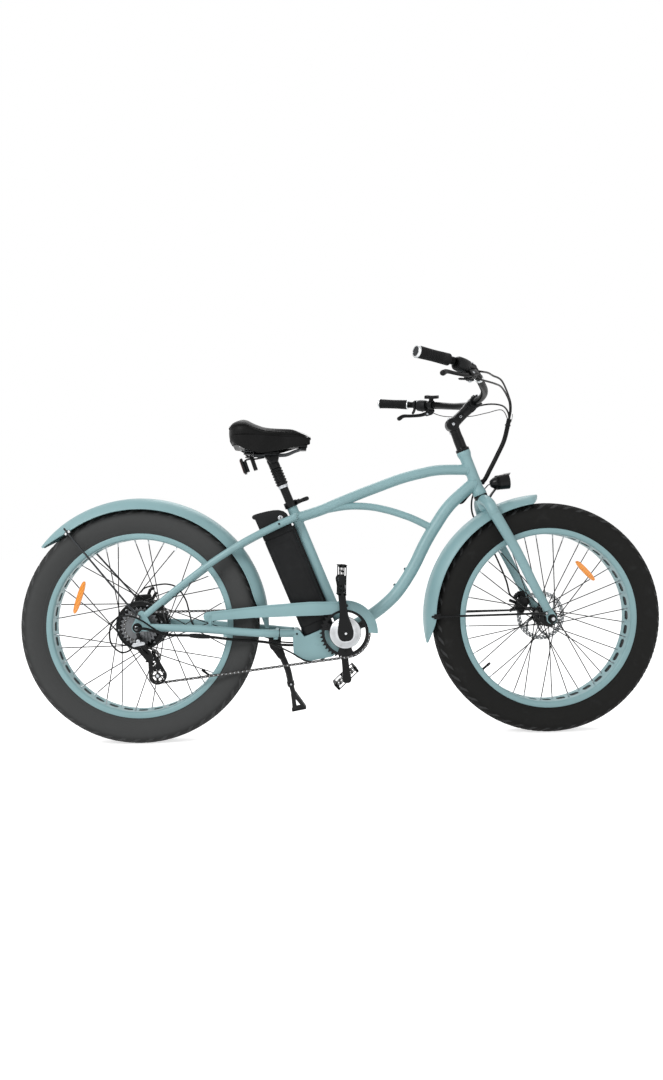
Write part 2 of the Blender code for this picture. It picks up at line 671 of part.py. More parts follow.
def make_disc(name, axle, y, hub_radius):
    """A brake disc: a braking ring on six slanted arms."""
    half = DISC_THICKNESS / 2
    at = axle + Vector((0.0, y, 0.0))
    band = turned([(DISC_RADIUS, -half), (DISC_RADIUS, half), (DISC_RADIUS - 0.015, half),
                   (DISC_RADIUS - 0.015, -half)], at, (0, 1, 0), 24, closed=True)
    disc = add(name, *band, "steel", axle)
    middle = turned([(hub_radius + 0.011, -half), (hub_radius + 0.011, half), (hub_radius, half),
                     (hub_radius, -half)], at, (0, 1, 0), 12, closed=True)
    arms = []
    for number in range(6):
        angle = 2 * math.pi * number / 6
        start = Vector((math.cos(angle), 0.0, math.sin(angle))) * (hub_radius + 0.007)
        end = Vector((math.cos(angle + 0.45), 0.0, math.sin(angle + 0.45))) * (DISC_RADIUS - 0.010)
        way = (end - start).normalized() * 1.0
        side = Vector((way.z, 0.0, -way.x)) * 0.0035
        outline = [((at + p).x, (at + p).z) for p in (start - side, end - side, end + side, start + side)]
        arms.append(plate(outline, at.y - half, at.y + half))
    join(disc, [middle, merged(arms)])
    return disc


def make_axle(name, axle, seat_half, length_half):
    """A threaded axle with a washer and a nut outside each seat."""
    reach = Vector((0.0, length_half, 0.0))
    obj = add(name, *rod(axle - reach, axle + reach, AXLE_RADIUS, 8), "steel")
    shapes = []
    for side in (LEFT, RIGHT):
        start, step = side * (seat_half + GAP), side * 0.002
        profile = [(0.0125, start), (0.0125, start + step), (0.0095, start + step), (0.0095, start + side * 0.010)]
        shapes.append(turned(profile, axle, (0, 1, 0), 6))
    join(obj, shapes)
    return obj


# Drive


def pitch_radius(teeth):
    return CHAIN_PITCH / 2 / math.sin(math.pi / teeth)


def toothed_outline(teeth, centre, turn=0.0, pointed=False):
    """Outline of a sprocket, as (x, z) points: each tooth is a trapezoid, or a point."""
    root = pitch_radius(teeth) - TOOTH_HEIGHT / 2
    tip = root + TOOTH_HEIGHT
    places = ((0.0, root), (0.5, tip)) if pointed else ((-0.27, root), (-0.12, tip), (0.12, tip), (0.27, root))
    found = []
    for tooth in range(teeth):
        for share, radius in places:
            angle = 2 * math.pi * (tooth + share) / teeth + turn
            found.append((centre.x + radius * math.cos(angle), centre.z + radius * math.sin(angle)))
    return found


def make_chainring():
    """The 38-tooth ring with five windows, on its spider and the spindle."""
    half = TOOTH_THICKNESS / 2
    ring_plate = plate(toothed_outline(CHAINRING_TEETH, BRACKET), CHAIN_Y - half, CHAIN_Y + half)
    wheel = add("chainring", *ring_plate, "black_steel", BRACKET)
    windows = []
    for number in range(5):
        start = 360 * number / 5 + 12
        outline = [*arc((BRACKET.x, BRACKET.z), 0.066, start, start + 48, 4),
                   *arc((BRACKET.x, BRACKET.z), 0.050, start + 48, start, 3)]
        windows.append(plate(outline, CHAIN_Y - 0.01, CHAIN_Y + 0.01))
    cut(wheel, [merged(windows)])
    inner_end = BRACKET_LENGTH / 2 + GAP * 2
    boss = turned([(0.0205, -CRANK_INNER_Y + GAP * 2), (0.0475, CHAIN_Y - half - 0.003),
                   (0.0475, CHAIN_Y + half - 0.0001), (0.019, -inner_end)], BRACKET, (0, 1, 0), 20)
    join(wheel, [boss])
    reach = Vector((0.0, 0.2, 0.0))
    cut(wheel, [rod(BRACKET - reach, BRACKET, bored(SPINDLE_RADIUS, 12), 12)])
    return wheel


def make_crank(name, side):
    """A forged arm with a round boss and pedal eye. The left one carries the spindle."""
    lean = CRANK_LEAN if side == RIGHT else CRANK_LEAN + math.pi
    up = Vector((-math.sin(lean), 0.0, math.cos(lean)))
    wide = Vector((up.z, 0.0, -up.x))
    inner = side * CRANK_INNER_Y
    outline = []
    for along, half in ((-0.0195, 0.008), (-0.013, 0.0175), (0.0, 0.021), (0.016, 0.0185), (0.050, 0.0125),
                        (0.110, 0.0115), (0.158, 0.0135), (CRANK_LENGTH, 0.0150), (CRANK_LENGTH + 0.013, 0.0085)):
        outline.append((along, half))
    points = [up * a + wide * h for a, h in outline] + [up * a - wide * h for a, h in reversed(outline)]
    rings = []
    for y, scale in ((inner, 1.0), (inner + side * CRANK_THICKNESS * 0.7, 1.0), (inner + side * CRANK_THICKNESS, 0.82)):
        ring_points = []
        for point in points:
            along = point.dot(up)
            side_way = point - up * along
            ring_points.append(BRACKET + up * along + side_way * scale + Vector((0.0, y, 0.0)))
        rings.append(ring_points)
    arm = add(name, *loft(rings), "black", BRACKET)
    eye = BRACKET + up * CRANK_LENGTH
    start = BRACKET + Vector((0, -(CRANK_INNER_Y + CRANK_THICKNESS * 0.6), 0))
    if side == LEFT:
        join(arm, [rod(start, BRACKET + Vector((0, CRANK_INNER_Y + 0.004, 0)), SPINDLE_RADIUS, 12)])
    else:
        cut(arm, [rod(start - Vector((0, GAP, 0)), BRACKET, bored(SPINDLE_RADIUS, 12), 12)])
    far = Vector((0.0, 0.2 * side, 0.0))
    cut(arm, [rod(eye + far * 0.2, eye + far, 0.0050 + RUN, 10)])
    return arm


def make_pedal(name, side, turn):
    """A cage pedal: a toothed outer frame round a spindle sleeve, open between."""
    lean = CRANK_LEAN if side == RIGHT else CRANK_LEAN + math.pi
    eye = BRACKET + Vector((-math.sin(lean), 0.0, math.cos(lean))) * CRANK_LENGTH
    start = side * (CRANK_INNER_Y + CRANK_THICKNESS + 0.006)
    middle = start + side * PEDAL_WIDTH / 2
    way = Vector((math.cos(turn), 0.0, math.sin(turn)))
    up = Vector((-way.z, 0.0, way.x))
    pivot = eye + Vector((0.0, middle, 0.0))

    def block(a0, a1, b0, b1, c0, c1):
        rings = []
        for c in (c0, c1):
            rings.append([pivot + way * a + Vector((0, b, 0)) + up * c for a, b in
                          ((a0, b0), (a1, b0), (a1, b1), (a0, b1))])
        return loft(rings)

    half, wide, thick, wall = PEDAL_LENGTH / 2, PEDAL_WIDTH / 2, PEDAL_THICKNESS / 2, 0.006
    frame = block(-half, half, -wide, wide, -thick * 0.7, thick * 0.7)
    pedal = add(name, *frame, "black", eye + Vector((0.0, middle, 0.0)))
    windows = [block(-half + wall, -0.011, -wide + wall, wide - wall, -0.03, 0.03),
               block(0.011, half - wall, -wide + wall, wide - wall, -0.03, 0.03)]
    cut(pedal, [merged(windows)])
    rails = []
    for a0, a1 in ((-half - 0.0008, -half + wall * 0.8), (half - wall * 0.8, half + 0.0008)):
        for b in (-0.62, -0.2, 0.22, 0.64):
            rails.append(block(a0, a1, wide * b - 0.006, wide * b + 0.006, -thick, thick))
    shaft = rod(eye + Vector((0.0, side * (CRANK_INNER_Y + 0.003), 0.0)),
                eye + Vector((0.0, start + side * PEDAL_WIDTH * 0.8, 0.0)), 0.0050, 10)
    flange = rod(eye + Vector((0.0, start - side * (0.006 - GAP * 2), 0.0)),
                 eye + Vector((0.0, start + side * 0.004, 0.0)), 0.0080, 8)
    join(pedal, [merged(rails), shaft, flange])
    return pedal


def cog_y(teeth):
    """The cogs step outwards from the motor, largest first, with the one in use on the chain line."""
    return CHAIN_Y + (COG_TEETH.index(teeth) - COG_TEETH.index(COG_IN_USE)) * COG_SPACING


def make_freewheel():
    """Seven cogs on one body, screwed to the motor's right cover."""
    half = TOOTH_THICKNESS / 2
    inner = cog_y(COG_TEETH[-1]) + half
    outer = cog_y(COG_TEETH[0]) - half
    core = turned([(0.0225, inner - 0.0001), (0.0225, outer + 0.0001)], REAR_AXLE, (0, 1, 0), 10)
    wheel = add("freewheel", *core, "chain", REAR_AXLE)
    cogs = []
    for teeth in COG_TEETH:
        y = cog_y(teeth)
        cogs.append(plate(toothed_outline(teeth, REAR_AXLE, pointed=True), y - half, y + half))
    join(wheel, [merged(cogs)])
    reach = Vector((0.0, 0.2, 0.0))
    cut(wheel, [rod(REAR_AXLE - reach, REAR_AXLE, AXLE_RADIUS + RUN * 2, 8)])
    return wheel


def make_pulley(name, centre):
    half = TOOTH_THICKNESS / 2
    outline = toothed_outline(PULLEY_TEETH, centre)
    wheel = add(name, *plate(outline, centre.y - half, centre.y + half), "black", centre)
    wide = CHAIN_INNER_GAP / 2 + PLATE_THICKNESS
    join(wheel, [rod(centre - Vector((0, wide, 0)), centre + Vector((0, wide, 0)), 0.0085, 10)])
    reach = Vector((0.0, 0.02, 0.0))
    cut(wheel, [rod(centre - reach, centre + reach, 0.0032 + RUN, 8)])
    return wheel


def tangent(c0, r0, c1, r1, turn0, turn1):
    """The straight run from circle 0 to circle 1 in the XZ plane; turn is 1 anticlockwise, -1 clockwise."""
    dx, dz = c1.x - c0.x, c1.z - c0.z
    reach = math.hypot(dx, dz)
    base = math.atan2(dz, dx)
    offset = math.acos((turn0 * r0 - turn1 * r1) / reach)
    angle = base - offset
    a = (c0.x + turn0 * r0 * math.cos(angle), c0.z + turn0 * r0 * math.sin(angle))
    b = (c1.x + turn1 * r1 * math.cos(angle), c1.z + turn1 * r1 * math.sin(angle))
    return a, b


def chain_path():
    """The pitch line as stretches: (length, point at a distance along it, is it straight, end keep-outs)."""
    wheels = [(BRACKET, CHAINRING_TEETH, 1), (REAR_AXLE, COG_IN_USE, 1), (GUIDE_PULLEY, PULLEY_TEETH, -1),
              (TENSION_PULLEY, PULLEY_TEETH, 1)]
    runs = []
    for i, (c0, t0, s0) in enumerate(wheels):
        c1, t1, s1 = wheels[(i + 1) % 4]
        runs.append(tangent(c0, pitch_radius(t0), c1, pitch_radius(t1), s0, s1))

    def keep_out(teeth):
        pitch, tip = pitch_radius(teeth), pitch_radius(teeth) + TOOTH_HEIGHT / 2
        return tip * math.sqrt(1 - ((pitch - PLATE_HEIGHT / 2 - 0.001) / tip) ** 2)

    stretches = []
    for i, (centre, teeth, turn) in enumerate(wheels):
        start, end = runs[i - 1][1], runs[i][0]
        a0 = math.atan2(start[1] - centre.z, start[0] - centre.x)
        a1 = math.atan2(end[1] - centre.z, end[0] - centre.x)
        sweep = (turn * (a1 - a0)) % (2 * math.pi)
        radius = pitch_radius(teeth)
        stretches.append((sweep * radius, "arc", (centre, radius, a0, turn), 0.0, 0.0))
        (x0, z0), (x1, z1) = runs[i]
        length = math.hypot(x1 - x0, z1 - z0)
        stretches.append((length, "run", (x0, z0, x1, z1), keep_out(teeth), keep_out(wheels[(i + 1) % 4][1])))
    return stretches


def chain_pins():
    """Each pin as (x, z, whether a solid link may touch it)."""
    stretches = chain_path()
    total = sum(s[0] for s in stretches)
    count = 2 * round(total / CHAIN_PITCH / 2)
    pins = []
    for number in range(count):
        rest = total * number / count
        for length, kind, data, low, high in stretches:
            if rest <= length:
                break
            rest -= length
        if kind == "arc":
            centre, radius, start, turn = data
            angle = start + turn * rest / radius
            pins.append((centre.x + radius * math.cos(angle), centre.z + radius * math.sin(angle), False))
        else:
            x0, z0, x1, z1 = data
            share = rest / length
            pins.append((x0 + (x1 - x0) * share, z0 + (z1 - z0) * share, low < rest < length - high))
    return pins


def make_chain():
    """A closed loop of links. Two rows of plates run round it, a little apart so that the teeth pass.

    On the free runs every second link is closed across by its rollers. On a sprocket it stays open.
    """
    pins = chain_pins()
    inner = CHAIN_INNER_GAP / 2
    outer = inner + PLATE_THICKNESS * 2
    half = PLATE_HEIGHT / 2
    levels = (-outer, -inner, inner, outer)
    count = len(pins)
    vertices, faces = [], []
    for i, (x, z, _) in enumerate(pins):
        before, after = Vector(pins[i - 1][:2]), Vector(pins[(i + 1) % count][:2])
        way = (after - before).normalized()
        for up in (half, -half):
            for y in levels:
                vertices.append(Vector((x - way.y * up, CHAIN_Y + y, z + way.x * up)))

    def at(pin, level, top):
        return (pin % count) * 8 + (0 if top else 4) + level

    closed = [i % 2 == 0 and pins[i][2] and pins[(i + 1) % count][2] for i in range(count)]
    for i in range(count):
        bands = ((0, 3),) if closed[i] else ((0, 1), (2, 3))
        for low, high in bands:
            for top in (True, False):
                faces.append([at(i, n, top) for n in range(low, high + 1)]
                             + [at(i + 1, n, top) for n in range(high, low - 1, -1)])
            for level in (low, high):
                faces.append([at(i, level, True), at(i, level, False), at(i + 1, level, False), at(i + 1, level, True)])
        if closed[i] != closed[i - 1]:
            faces.append([at(i, 1, True), at(i, 2, True), at(i, 2, False), at(i, 1, False)])
    return add("chain", vertices, faces, "chain")


def make_derailleur():
    """The changer: a knuckle under the dropout, two links down to the cage, and the cage's two plates."""
    cage_y = CHAIN_INNER_GAP / 2 + PLATE_THICKNESS + 0.0012
    g, t = GUIDE_PULLEY, TENSION_PULLEY
    way = (t - g).normalized()
    wide = Vector((-way.z, 0.0, way.x))
    g_end, t_end = g - way * 0.014, t + way * 0.014
    outline = [g_end + wide * 0.006, t_end + wide * 0.005, t_end - wide * 0.005, g_end - wide * 0.006]
    shapes = []
    for side in (1, -1):
        near, far = CHAIN_Y + side * cage_y, CHAIN_Y + side * (cage_y + 0.002)
        rings = [[Vector((p.x, y, p.z)) for p in outline] for y in (near, far)]
        shapes.append(loft(rings))
    for pulley in (g, t):
        reach = Vector((0.0, cage_y + 0.001, 0.0))
        shapes.append(rod(pulley - reach, pulley + reach, 0.0032, 8))
    hanger = Vector((REAR_AXLE.x + 0.004, -(REAR_HUB_LENGTH / 2 + DROPOUT_THICKNESS / 2), REAR_AXLE.z - 0.040))
    outer_y = hanger.y - 0.004
    knuckle = rod((hanger.x, outer_y - 0.012, hanger.z), (hanger.x, hanger.y + 0.0045, hanger.z), 0.0105, 8)
    obj = add("rear_derailleur", *knuckle, "black")
    low = Vector((g.x - 0.006, CHAIN_Y - cage_y - 0.008, g.z + 0.004))
    link = tube([hanger + Vector((0.0, -0.010, 0.0)), hanger + Vector((0.010, -0.008, -0.022)), low], 0.010, 6, flat=0.8)
    pivot = rod(low + Vector((0, -0.004, 0)), (low.x, CHAIN_Y - cage_y - 0.0005, low.z), 0.0095, 8)
    stalk = tube([hanger, hanger + Vector((-0.001, 0.0, 0.010)), Vector((REAR_AXLE.x, hanger.y, REAR_AXLE.z - 0.0165 - GAP))],
                 0.0055, 6, flat=0.65)
    join(obj, [*shapes, link, pivot, stalk])
    return obj


def make_chain_guard():
    """A flat guard outside the chain: a tapering blade that ends in a hook over the chainring."""
    cx, cz = BRACKET.x, BRACKET.z
    outline = [*arc((-0.433, 0.3955), 0.0145, 100, 270, 5), (-0.300, 0.3885), (-0.150, 0.3915), (-0.072, 0.3925),
               *arc((cx, cz), 0.0725, 125, 0, 9), *arc((cx, cz), 0.1015, -2, 106, 9), (-0.119, 0.4350), (-0.243, 0.4280)]
    y = CHAIN_Y - 0.0095
    guard = add("chain_guard", *plate(outline, y - 0.0022, y), "teal")
    foot_z = 0.3710
    tab = [box((-0.432, y - 0.0010, foot_z - 0.004), (-0.420, y + 0.0016, 0.390))]
    stay = smooth([(-0.426, y, foot_z), (-0.426, -0.0775, foot_z - 0.0012)], 1)
    join(guard, [*tab, tube(stay, 0.0035, 6, across=(1, 0, 0))])
    return guard


# Mudguards


def fender(axle, start, end, tip_start, tip_end, depth):
    """A rolled sheet arching over the tyre. Its ends narrow to a rounded tongue."""
    steps = 14
    section = []
    half = FENDER_WIDTH / 2
    for share in (-1.0, -0.80, -0.42, 0.42, 0.80, 1.0):
        section.append((half * share, -depth * abs(share) ** 3.2))
    rings = []
    for i in range(steps + 1):
        share = i / steps
        angle = math.radians(start + (end - start) * share)
        narrow = 1.0
        for amount, distance in ((tip_start, share), (tip_end, 1 - share)):
            if amount and distance < 0.12:
                narrow *= 1 - amount * (1 - distance / 0.12) ** 2
        way = Vector((math.cos(angle), 0.0, math.sin(angle)))
        outer, inner = [], []
        for y, drop in section:
            outer.append(axle + way * (FENDER_RADIUS + drop * narrow) + Vector((0.0, y * narrow, 0.0)))
            inner.append(axle + way * (FENDER_RADIUS - FENDER_WALL + drop * narrow)
                         + Vector((0.0, y * narrow * (1 - FENDER_WALL / half * (abs(y) / half) ** 2), 0.0)))
        rings.append(outer + inner[::-1])
    return loft(rings)


def crown_radius(depth):
    """The radius of the fender's flat crown, at the middle of one of its straight steps."""
    return FENDER_RADIUS - depth * 0.42**3.2 - 0.0010


def bow_over(axle, angle_deg, foot, lip_reach):
    """Points of a wire bow: from a foot beside the wheel to the fender's lip, over the fender and back down."""
    angle = math.radians(angle_deg)
    way = Vector((math.cos(angle), 0.0, math.sin(angle)))
    half = FENDER_WIDTH / 2
    crown = crown_radius(FENDER_RADIUS - lip_reach) + 0.0007
    right = [Vector(foot), axle + way * (lip_reach - 0.020) + Vector((0, -half - 0.007, 0)),
             axle + way * (lip_reach + 0.006) + Vector((0, -half + 0.0005, 0)),
             axle + way * (FENDER_RADIUS - (FENDER_RADIUS - lip_reach) * 0.49 + 0.0012) + Vector((0, -half * 0.80, 0)),
             axle + way * crown + Vector((0, -half * 0.42, 0)), axle + way * crown]
    return right + [Vector((p.x, -p.y, p.z)) for p in reversed(right[:-1])]


def lug(at, y_low, y_high, radius):
    """The flattened eye of a stay, with its bolt head, as a short barrel along Y."""
    return rod((at[0], y_low, at[1]), (at[0], y_high, at[1]), radius, 8)


def make_rear_fender():
    """The rear guard, with the strut that bolts to the stays' bridge and the wire stay to the dropouts."""
    guard = add("rear_fender", *fender(REAR_AXLE, -2.6, 141, 0.75, 0.55, FENDER_DEPTH), "teal")
    bridge = Vector((BRIDGE[0], 0.0, BRIDGE[1]))
    way = (bridge - REAR_AXLE).normalized()
    reach = (bridge - REAR_AXLE).length
    strut = rod(REAR_AXLE + way * (crown_radius(FENDER_DEPTH) - 0.0030), REAR_AXLE + way * (reach - BRIDGE_RADIUS - GAP), 0.0060, 8)
    foot_y = REAR_HUB_LENGTH / 2 + DROPOUT_THICKNESS + GAP
    foot = (REAR_AXLE.x + 0.004, -(foot_y + 0.0035), REAR_AXLE.z + 0.0335)
    bow = tube(bow_over(REAR_AXLE, 126, foot, FENDER_RADIUS - FENDER_DEPTH), 0.0027, 6, across=(0.6, 0.0, 0.8))
    eyes = [lug((foot[0], foot[2]), -(foot_y + 0.006), -foot_y, 0.0065), lug((foot[0], foot[2]), foot_y, foot_y + 0.006, 0.0065)]
    join(guard, [strut, bow, *eyes])
    return guard


def make_front_fender():
    """The front guard, hung from the crown by a strap, with a black wire stay to the fork ends."""
    guard = add("front_fender", *fender(FRONT_AXLE, 93.6, 191, 0.6, 0.7, FRONT_FENDER_DEPTH), "teal")
    foot_y = FORK_END_Y + FORK_END_THICKNESS + GAP
    foot = (FRONT_AXLE.x - 0.020, -(foot_y + 0.0035), FRONT_AXLE.z + 0.018)
    bow = tube(bow_over(FRONT_AXLE, 178, foot, FENDER_RADIUS - FRONT_FENDER_DEPTH), 0.0025, 6, across=(0.1, 0.0, 1.0))
    eyes = [lug((foot[0], foot[2]), -(foot_y + 0.006), -foot_y, 0.006), lug((foot[0], foot[2]), foot_y, foot_y + 0.006, 0.006)]
    crown = HEAD_FOOT - STEER_AXIS * CROWN_DROP
    way = (crown - FRONT_AXLE).normalized()
    strap = rod(FRONT_AXLE + way * (crown_radius(FRONT_FENDER_DEPTH) - 0.0030), crown - way * (CROWN_RADIUS + GAP), 0.0075, 8)
    join(guard, [bow, *eyes, strap])
    return guard


# Battery


def make_battery():
    """The pack: a rounded section along the seat tube, with a dovetail groove for the rail."""
    f, b, h = PACK_FRONT, PACK_BACK, PACK_HALF
    section = [(f, 0.0068), (0.0293, 0.0108), (0.0293, -0.0108), (f, -0.0068), (f, -h * 0.72), (f + 0.009, -h),
               (b - 0.014, -h), (b - 0.004, -h * 0.88), (b, -h * 0.62), (b, h * 0.62), (b - 0.004, h * 0.88),
               (b - 0.014, h), (f + 0.009, h), (f, h * 0.72)]
    return add("battery_pack", *loft([seat_section(section, along) for along in (PACK_FOOT, PACK_HEAD)]), "black",
               seat_point(PACK_FOOT, PACK_FRONT))


LOCK = (0.4085, 0.047)  # along the seat tube, and behind it


def make_battery_cap():
    """The pack's sloping top, with a chamfer round each side and the lock's bore."""
    outline = [(PACK_HEAD + GAP, PACK_FRONT), (0.4120, PACK_FRONT), (0.4320, 0.0390), (0.4415, 0.068),
               (0.4470, 0.0985), (0.4440, 0.1180), (0.4340, 0.1280), (0.4200, 0.1290), (PACK_HEAD + GAP, 0.1220)]
    middle = (0.412, 0.075)

    def side(y, scale):
        return [seat_point(middle[0] + (a - middle[0]) * scale if a > PACK_HEAD + 0.001 else a,
                           middle[1] + (b - middle[1]) * scale, y) for a, b in outline]

    h = PACK_HALF + 0.0015
    cap = add("battery_cap", *loft([side(-h, 0.90), side(-h + 0.006, 1.0), side(h - 0.006, 1.0), side(h, 0.90)]), "black")
    groove = [(PACK_FRONT - 0.004, 0.0060), (0.0293, 0.0108), (0.0293, -0.0108), (PACK_FRONT - 0.004, -0.0060)]
    slot = loft([seat_section(groove, along) for along in (PACK_HEAD - 0.01, PACK_HEAD + 0.004)])
    hole = rod(seat_point(*LOCK, -h - 0.01), seat_point(*LOCK, -h + 0.012), 0.0080 + GAP * 2, 12)
    cut(cap, [slot, hole])
    return cap


def make_battery_lock():
    """The key barrel, with its slot, in the cap's right side."""
    face = -(PACK_HALF + 0.0015)
    at = seat_point(*LOCK, face - 0.003)
    lock = add("battery_lock", *rod(at, seat_point(*LOCK, face + 0.012 - GAP), 0.0080, 12), "steel", at)
    key = loft([[at + SEAT_AXIS * a + SEAT_BACK * b + Vector((0, y, 0)) for a, b in
                 ((-0.0045, -0.0010), (0.0045, -0.0010), (0.0045, 0.0010), (-0.0045, 0.0010))] for y in (-0.01, 0.0018)])
    cut(lock, [key])
    return lock


# Kickstand

STAND_PIVOT = Vector((-0.230, 0.0, 0.287))
STAND_TAB_OUTER = 0.0600


def make_kickstand():
    """A side stand that turns on a pin through the tab under the left chain stay."""
    y0 = STAND_TAB_OUTER + GAP * 2
    x, z = STAND_PIVOT.x, STAND_PIVOT.z
    pivot = (x, y0 + 0.01, z)
    stand = add("kickstand", *rod((x, y0, z), (x, y0 + 0.026, z), 0.0165, 12), "black_steel", pivot)
    leg = smooth([(x, y0 + 0.016, z), (-0.207, 0.0820, 0.249), (-0.1905, 0.0865, 0.2035), (-0.181, 0.118, 0.150),
                  (-0.168, 0.155, 0.098), (-0.153, 0.183, 0.060)], 2)
    foot = rod((-0.158, 0.173, 0.073), (-0.1475, 0.1895, 0.052), 0.0155, 8)
    pin = rod((x, STAND_TAB_OUTER - 0.0135, z), (x, y0 + 0.004, z), 0.0050, 8)
    join(stand, [tube(leg, 0.0080, 8, flat=0.95, across=(1, 0, 0)), foot, pin])
    return stand


# Saddle and post


def make_seatpost():
    """The post, bored for the sprung slider of the saddle head."""
    low, high, deep = 0.262, 0.5035, 0.366
    profile = [(POST_RADIUS, low), (POST_RADIUS, high), (0.0106, high), (0.0106, deep)]
    return add("seatpost", *turned(profile, BRACKET, SEAT_AXIS, 14), "black_steel", seat_point(high))


RAIL_Z = 0.8970
RAIL_Y = 0.022
RAIL_RADIUS = 0.0035


def make_seatpost_head():
    """The sprung head: a slider in the post, a ribbed sleeve over it, and the clamp for the saddle rails."""
    profile = [(0.0100, 0.420), (0.0100, 0.553), (0.0145, 0.553), (0.0145, 0.5030), (0.0170, 0.5035)]
    for number in range(5):
        foot = 0.5060 + number * 0.0095
        profile += [(0.0192, foot + 0.002), (0.0166, foot + 0.0070)]
    profile += [(0.0175, 0.590)]
    head = add("seatpost_head", *turned(profile, BRACKET, SEAT_AXIS, 12), "black", seat_point(0.503))
    clamp = [(-0.258, RAIL_Z - 0.006), (-0.254, RAIL_Z + 0.010), (-0.212, RAIL_Z + 0.013), (-0.206, RAIL_Z + 0.002),
             (-0.212, 0.873), (-0.236, 0.868)]
    join(head, [plate(clamp, -0.030, 0.030)])
    cut(head, [merged([rod((-0.30, y, RAIL_Z), (-0.15, y, RAIL_Z), RAIL_RADIUS + GAP * 2, 8) for y in (-RAIL_Y, RAIL_Y)])])
    return head


SADDLE_REAR, SADDLE_NOSE = -0.362, -0.107
SADDLE_FLOOR = 0.9280
SADDLE_WIDTHS = ((0.0, 0.045), (0.035, 0.078), (0.10, 0.100), (0.20, 0.110), (0.30, 0.106), (0.42, 0.090),
                 (0.54, 0.068), (0.66, 0.051), (0.78, 0.041), (0.88, 0.034), (0.96, 0.024), (1.0, 0.012))
SADDLE_TOPS = ((0.0, 0.966), (0.035, 0.990), (0.10, 1.007), (0.20, 1.011), (0.30, 0.998), (0.42, 0.984),
               (0.54, 0.981), (0.66, 0.981), (0.78, 0.979), (0.88, 0.972), (0.96, 0.960), (1.0, 0.949))


def make_saddle_cushion():
    """A padded crown: broad and raised at the back, dished in the middle, drawn in under its rim."""
    rings = []
    for (share, half), (_, top) in zip(SADDLE_WIDTHS, SADDLE_TOPS):
        x = SADDLE_REAR + (SADDLE_NOSE - SADDLE_REAR) * share
        base = SADDLE_FLOOR + (0.010 if share in (0.0, 1.0) else 0.0)
        rim = base + (top - base) * 0.42
        points = []
        for i in range(18):
            angle = 2 * math.pi * i / 18
            c, s = math.cos(angle), math.sin(angle)
            across = math.copysign(abs(c) ** 0.75, c) * half
            if s >= 0:
                dish = 0.006 * math.exp(-((across / 0.020) ** 2)) * min(1.0, half / 0.08)
                z = rim + (top - rim) * s ** 0.62 - dish * (s > 0.5)
            else:
                across *= 1 - 0.16 * abs(s)
                z = rim - (rim - base) * abs(s) ** 0.55
            points.append(Vector((x, across, z)))
        rings.append(points)
    return add("saddle_cushion", *loft(rings), "vinyl")


def make_saddle_base():
    """The pan under the cushion."""
    top = SADDLE_FLOOR - GAP
    outline = []
    for share, half in SADDLE_WIDTHS[1:-1]:
        x = SADDLE_REAR + 0.004 + (SADDLE_NOSE - SADDLE_REAR - 0.008) * share
        outline.append((x, half * 0.76))
    points = [*outline, *[(x, -y) for x, y in reversed(outline)]]
    rings = []
    for z, scale in ((top - 0.007, 0.93), (top - 0.004, 1.0), (top, 1.0)):
        rings.append([Vector(((x + 0.24) * scale - 0.24, y * scale, z)) for x, y in points])
    return add("saddle_base", *loft(rings), "black")


SPRING_RADIUS = 0.0120
SPRING_WIRE = 0.0021
SPRING_TURNS = 3
SPRING_STEPS = 8  # points to a turn
SPRING_AT = (-0.304, 0.052)


def spring(x, y, low, high):
    """One unbroken coil about a vertical axis."""
    steps = SPRING_STEPS * SPRING_TURNS
    points = []
    for i in range(steps + 1):
        angle = 2 * math.pi * i / SPRING_STEPS
        rise = low + (high - low) * i / steps
        points.append(Vector((x + SPRING_RADIUS * math.cos(angle), y + SPRING_RADIUS * math.sin(angle), rise)))
    rings = []
    for i, point in enumerate(points):
        along = points[min(i + 1, steps)] - points[max(i - 1, 0)]
        rings.append(ring(point, along, SPRING_WIRE, 6, across=(0.0, 0.0, 1.0)))
    return loft(rings), points


def spring_gap(points):
    """The least space that the wire leaves to its own next turn."""
    least = 1.0
    for i, a in enumerate(points):
        for b in points[i + 6 :]:
            least = min(least, (a - b).length)
    return least - 2 * SPRING_WIRE


def make_saddle_rails():
    """Two wire rails from the nose block through the clamp to a cross wire, which carries the coil springs."""
    floor = SADDLE_FLOOR - GAP - 0.007 - GAP
    rear_x, rear_y = SPRING_AT
    cross = rod((rear_x + 0.012, -rear_y - 0.004, RAIL_Z), (rear_x + 0.012, rear_y + 0.004, RAIL_Z), RAIL_RADIUS, 6)
    rails = add("saddle_rails", *cross, "steel")
    shapes = []
    for y in (-RAIL_Y, RAIL_Y):
        line = [Vector(p) for p in ((rear_x + 0.0115, y, RAIL_Z), (-0.262, y, RAIL_Z), (-0.200, y, RAIL_Z),
                                    (-0.180, y, RAIL_Z + 0.003), (-0.158, y * 0.8, RAIL_Z + 0.012), (-0.134, y * 0.6, floor - 0.004))]
        shapes.append(tube(line, RAIL_RADIUS, 6, across=(0, 1, 0)))
    shapes.append(box((-0.146, -0.017, floor - 0.0095), (-0.122, 0.017, floor)))
    for side in (LEFT, RIGHT):
        coil, points = spring(rear_x, side * rear_y, RAIL_Z + 0.0018, floor - SPRING_WIRE)
        if side == LEFT:
            print(f"least gap between the turns of a saddle spring: {1000 * spring_gap(points):.2f} mm")
        shapes.append(coil)
    join(rails, shapes)
    return rails


# Steering

FORK_END_Y = 0.0625
FORK_END_THICKNESS = 0.006
CROWN_DROP = 0.0200
CROWN_RADIUS = 0.0175


def fork_leg_line(side):
    return smooth([(0.4590, side * 0.0785, 0.7080), (0.5000, side * 0.0795, 0.6380), (0.5415, side * 0.0790, 0.5625),
                   (0.5880, side * 0.0765, 0.4700), (0.6180, side * 0.0725, 0.4180), (0.6300, side * 0.0690, 0.3960)], 1)


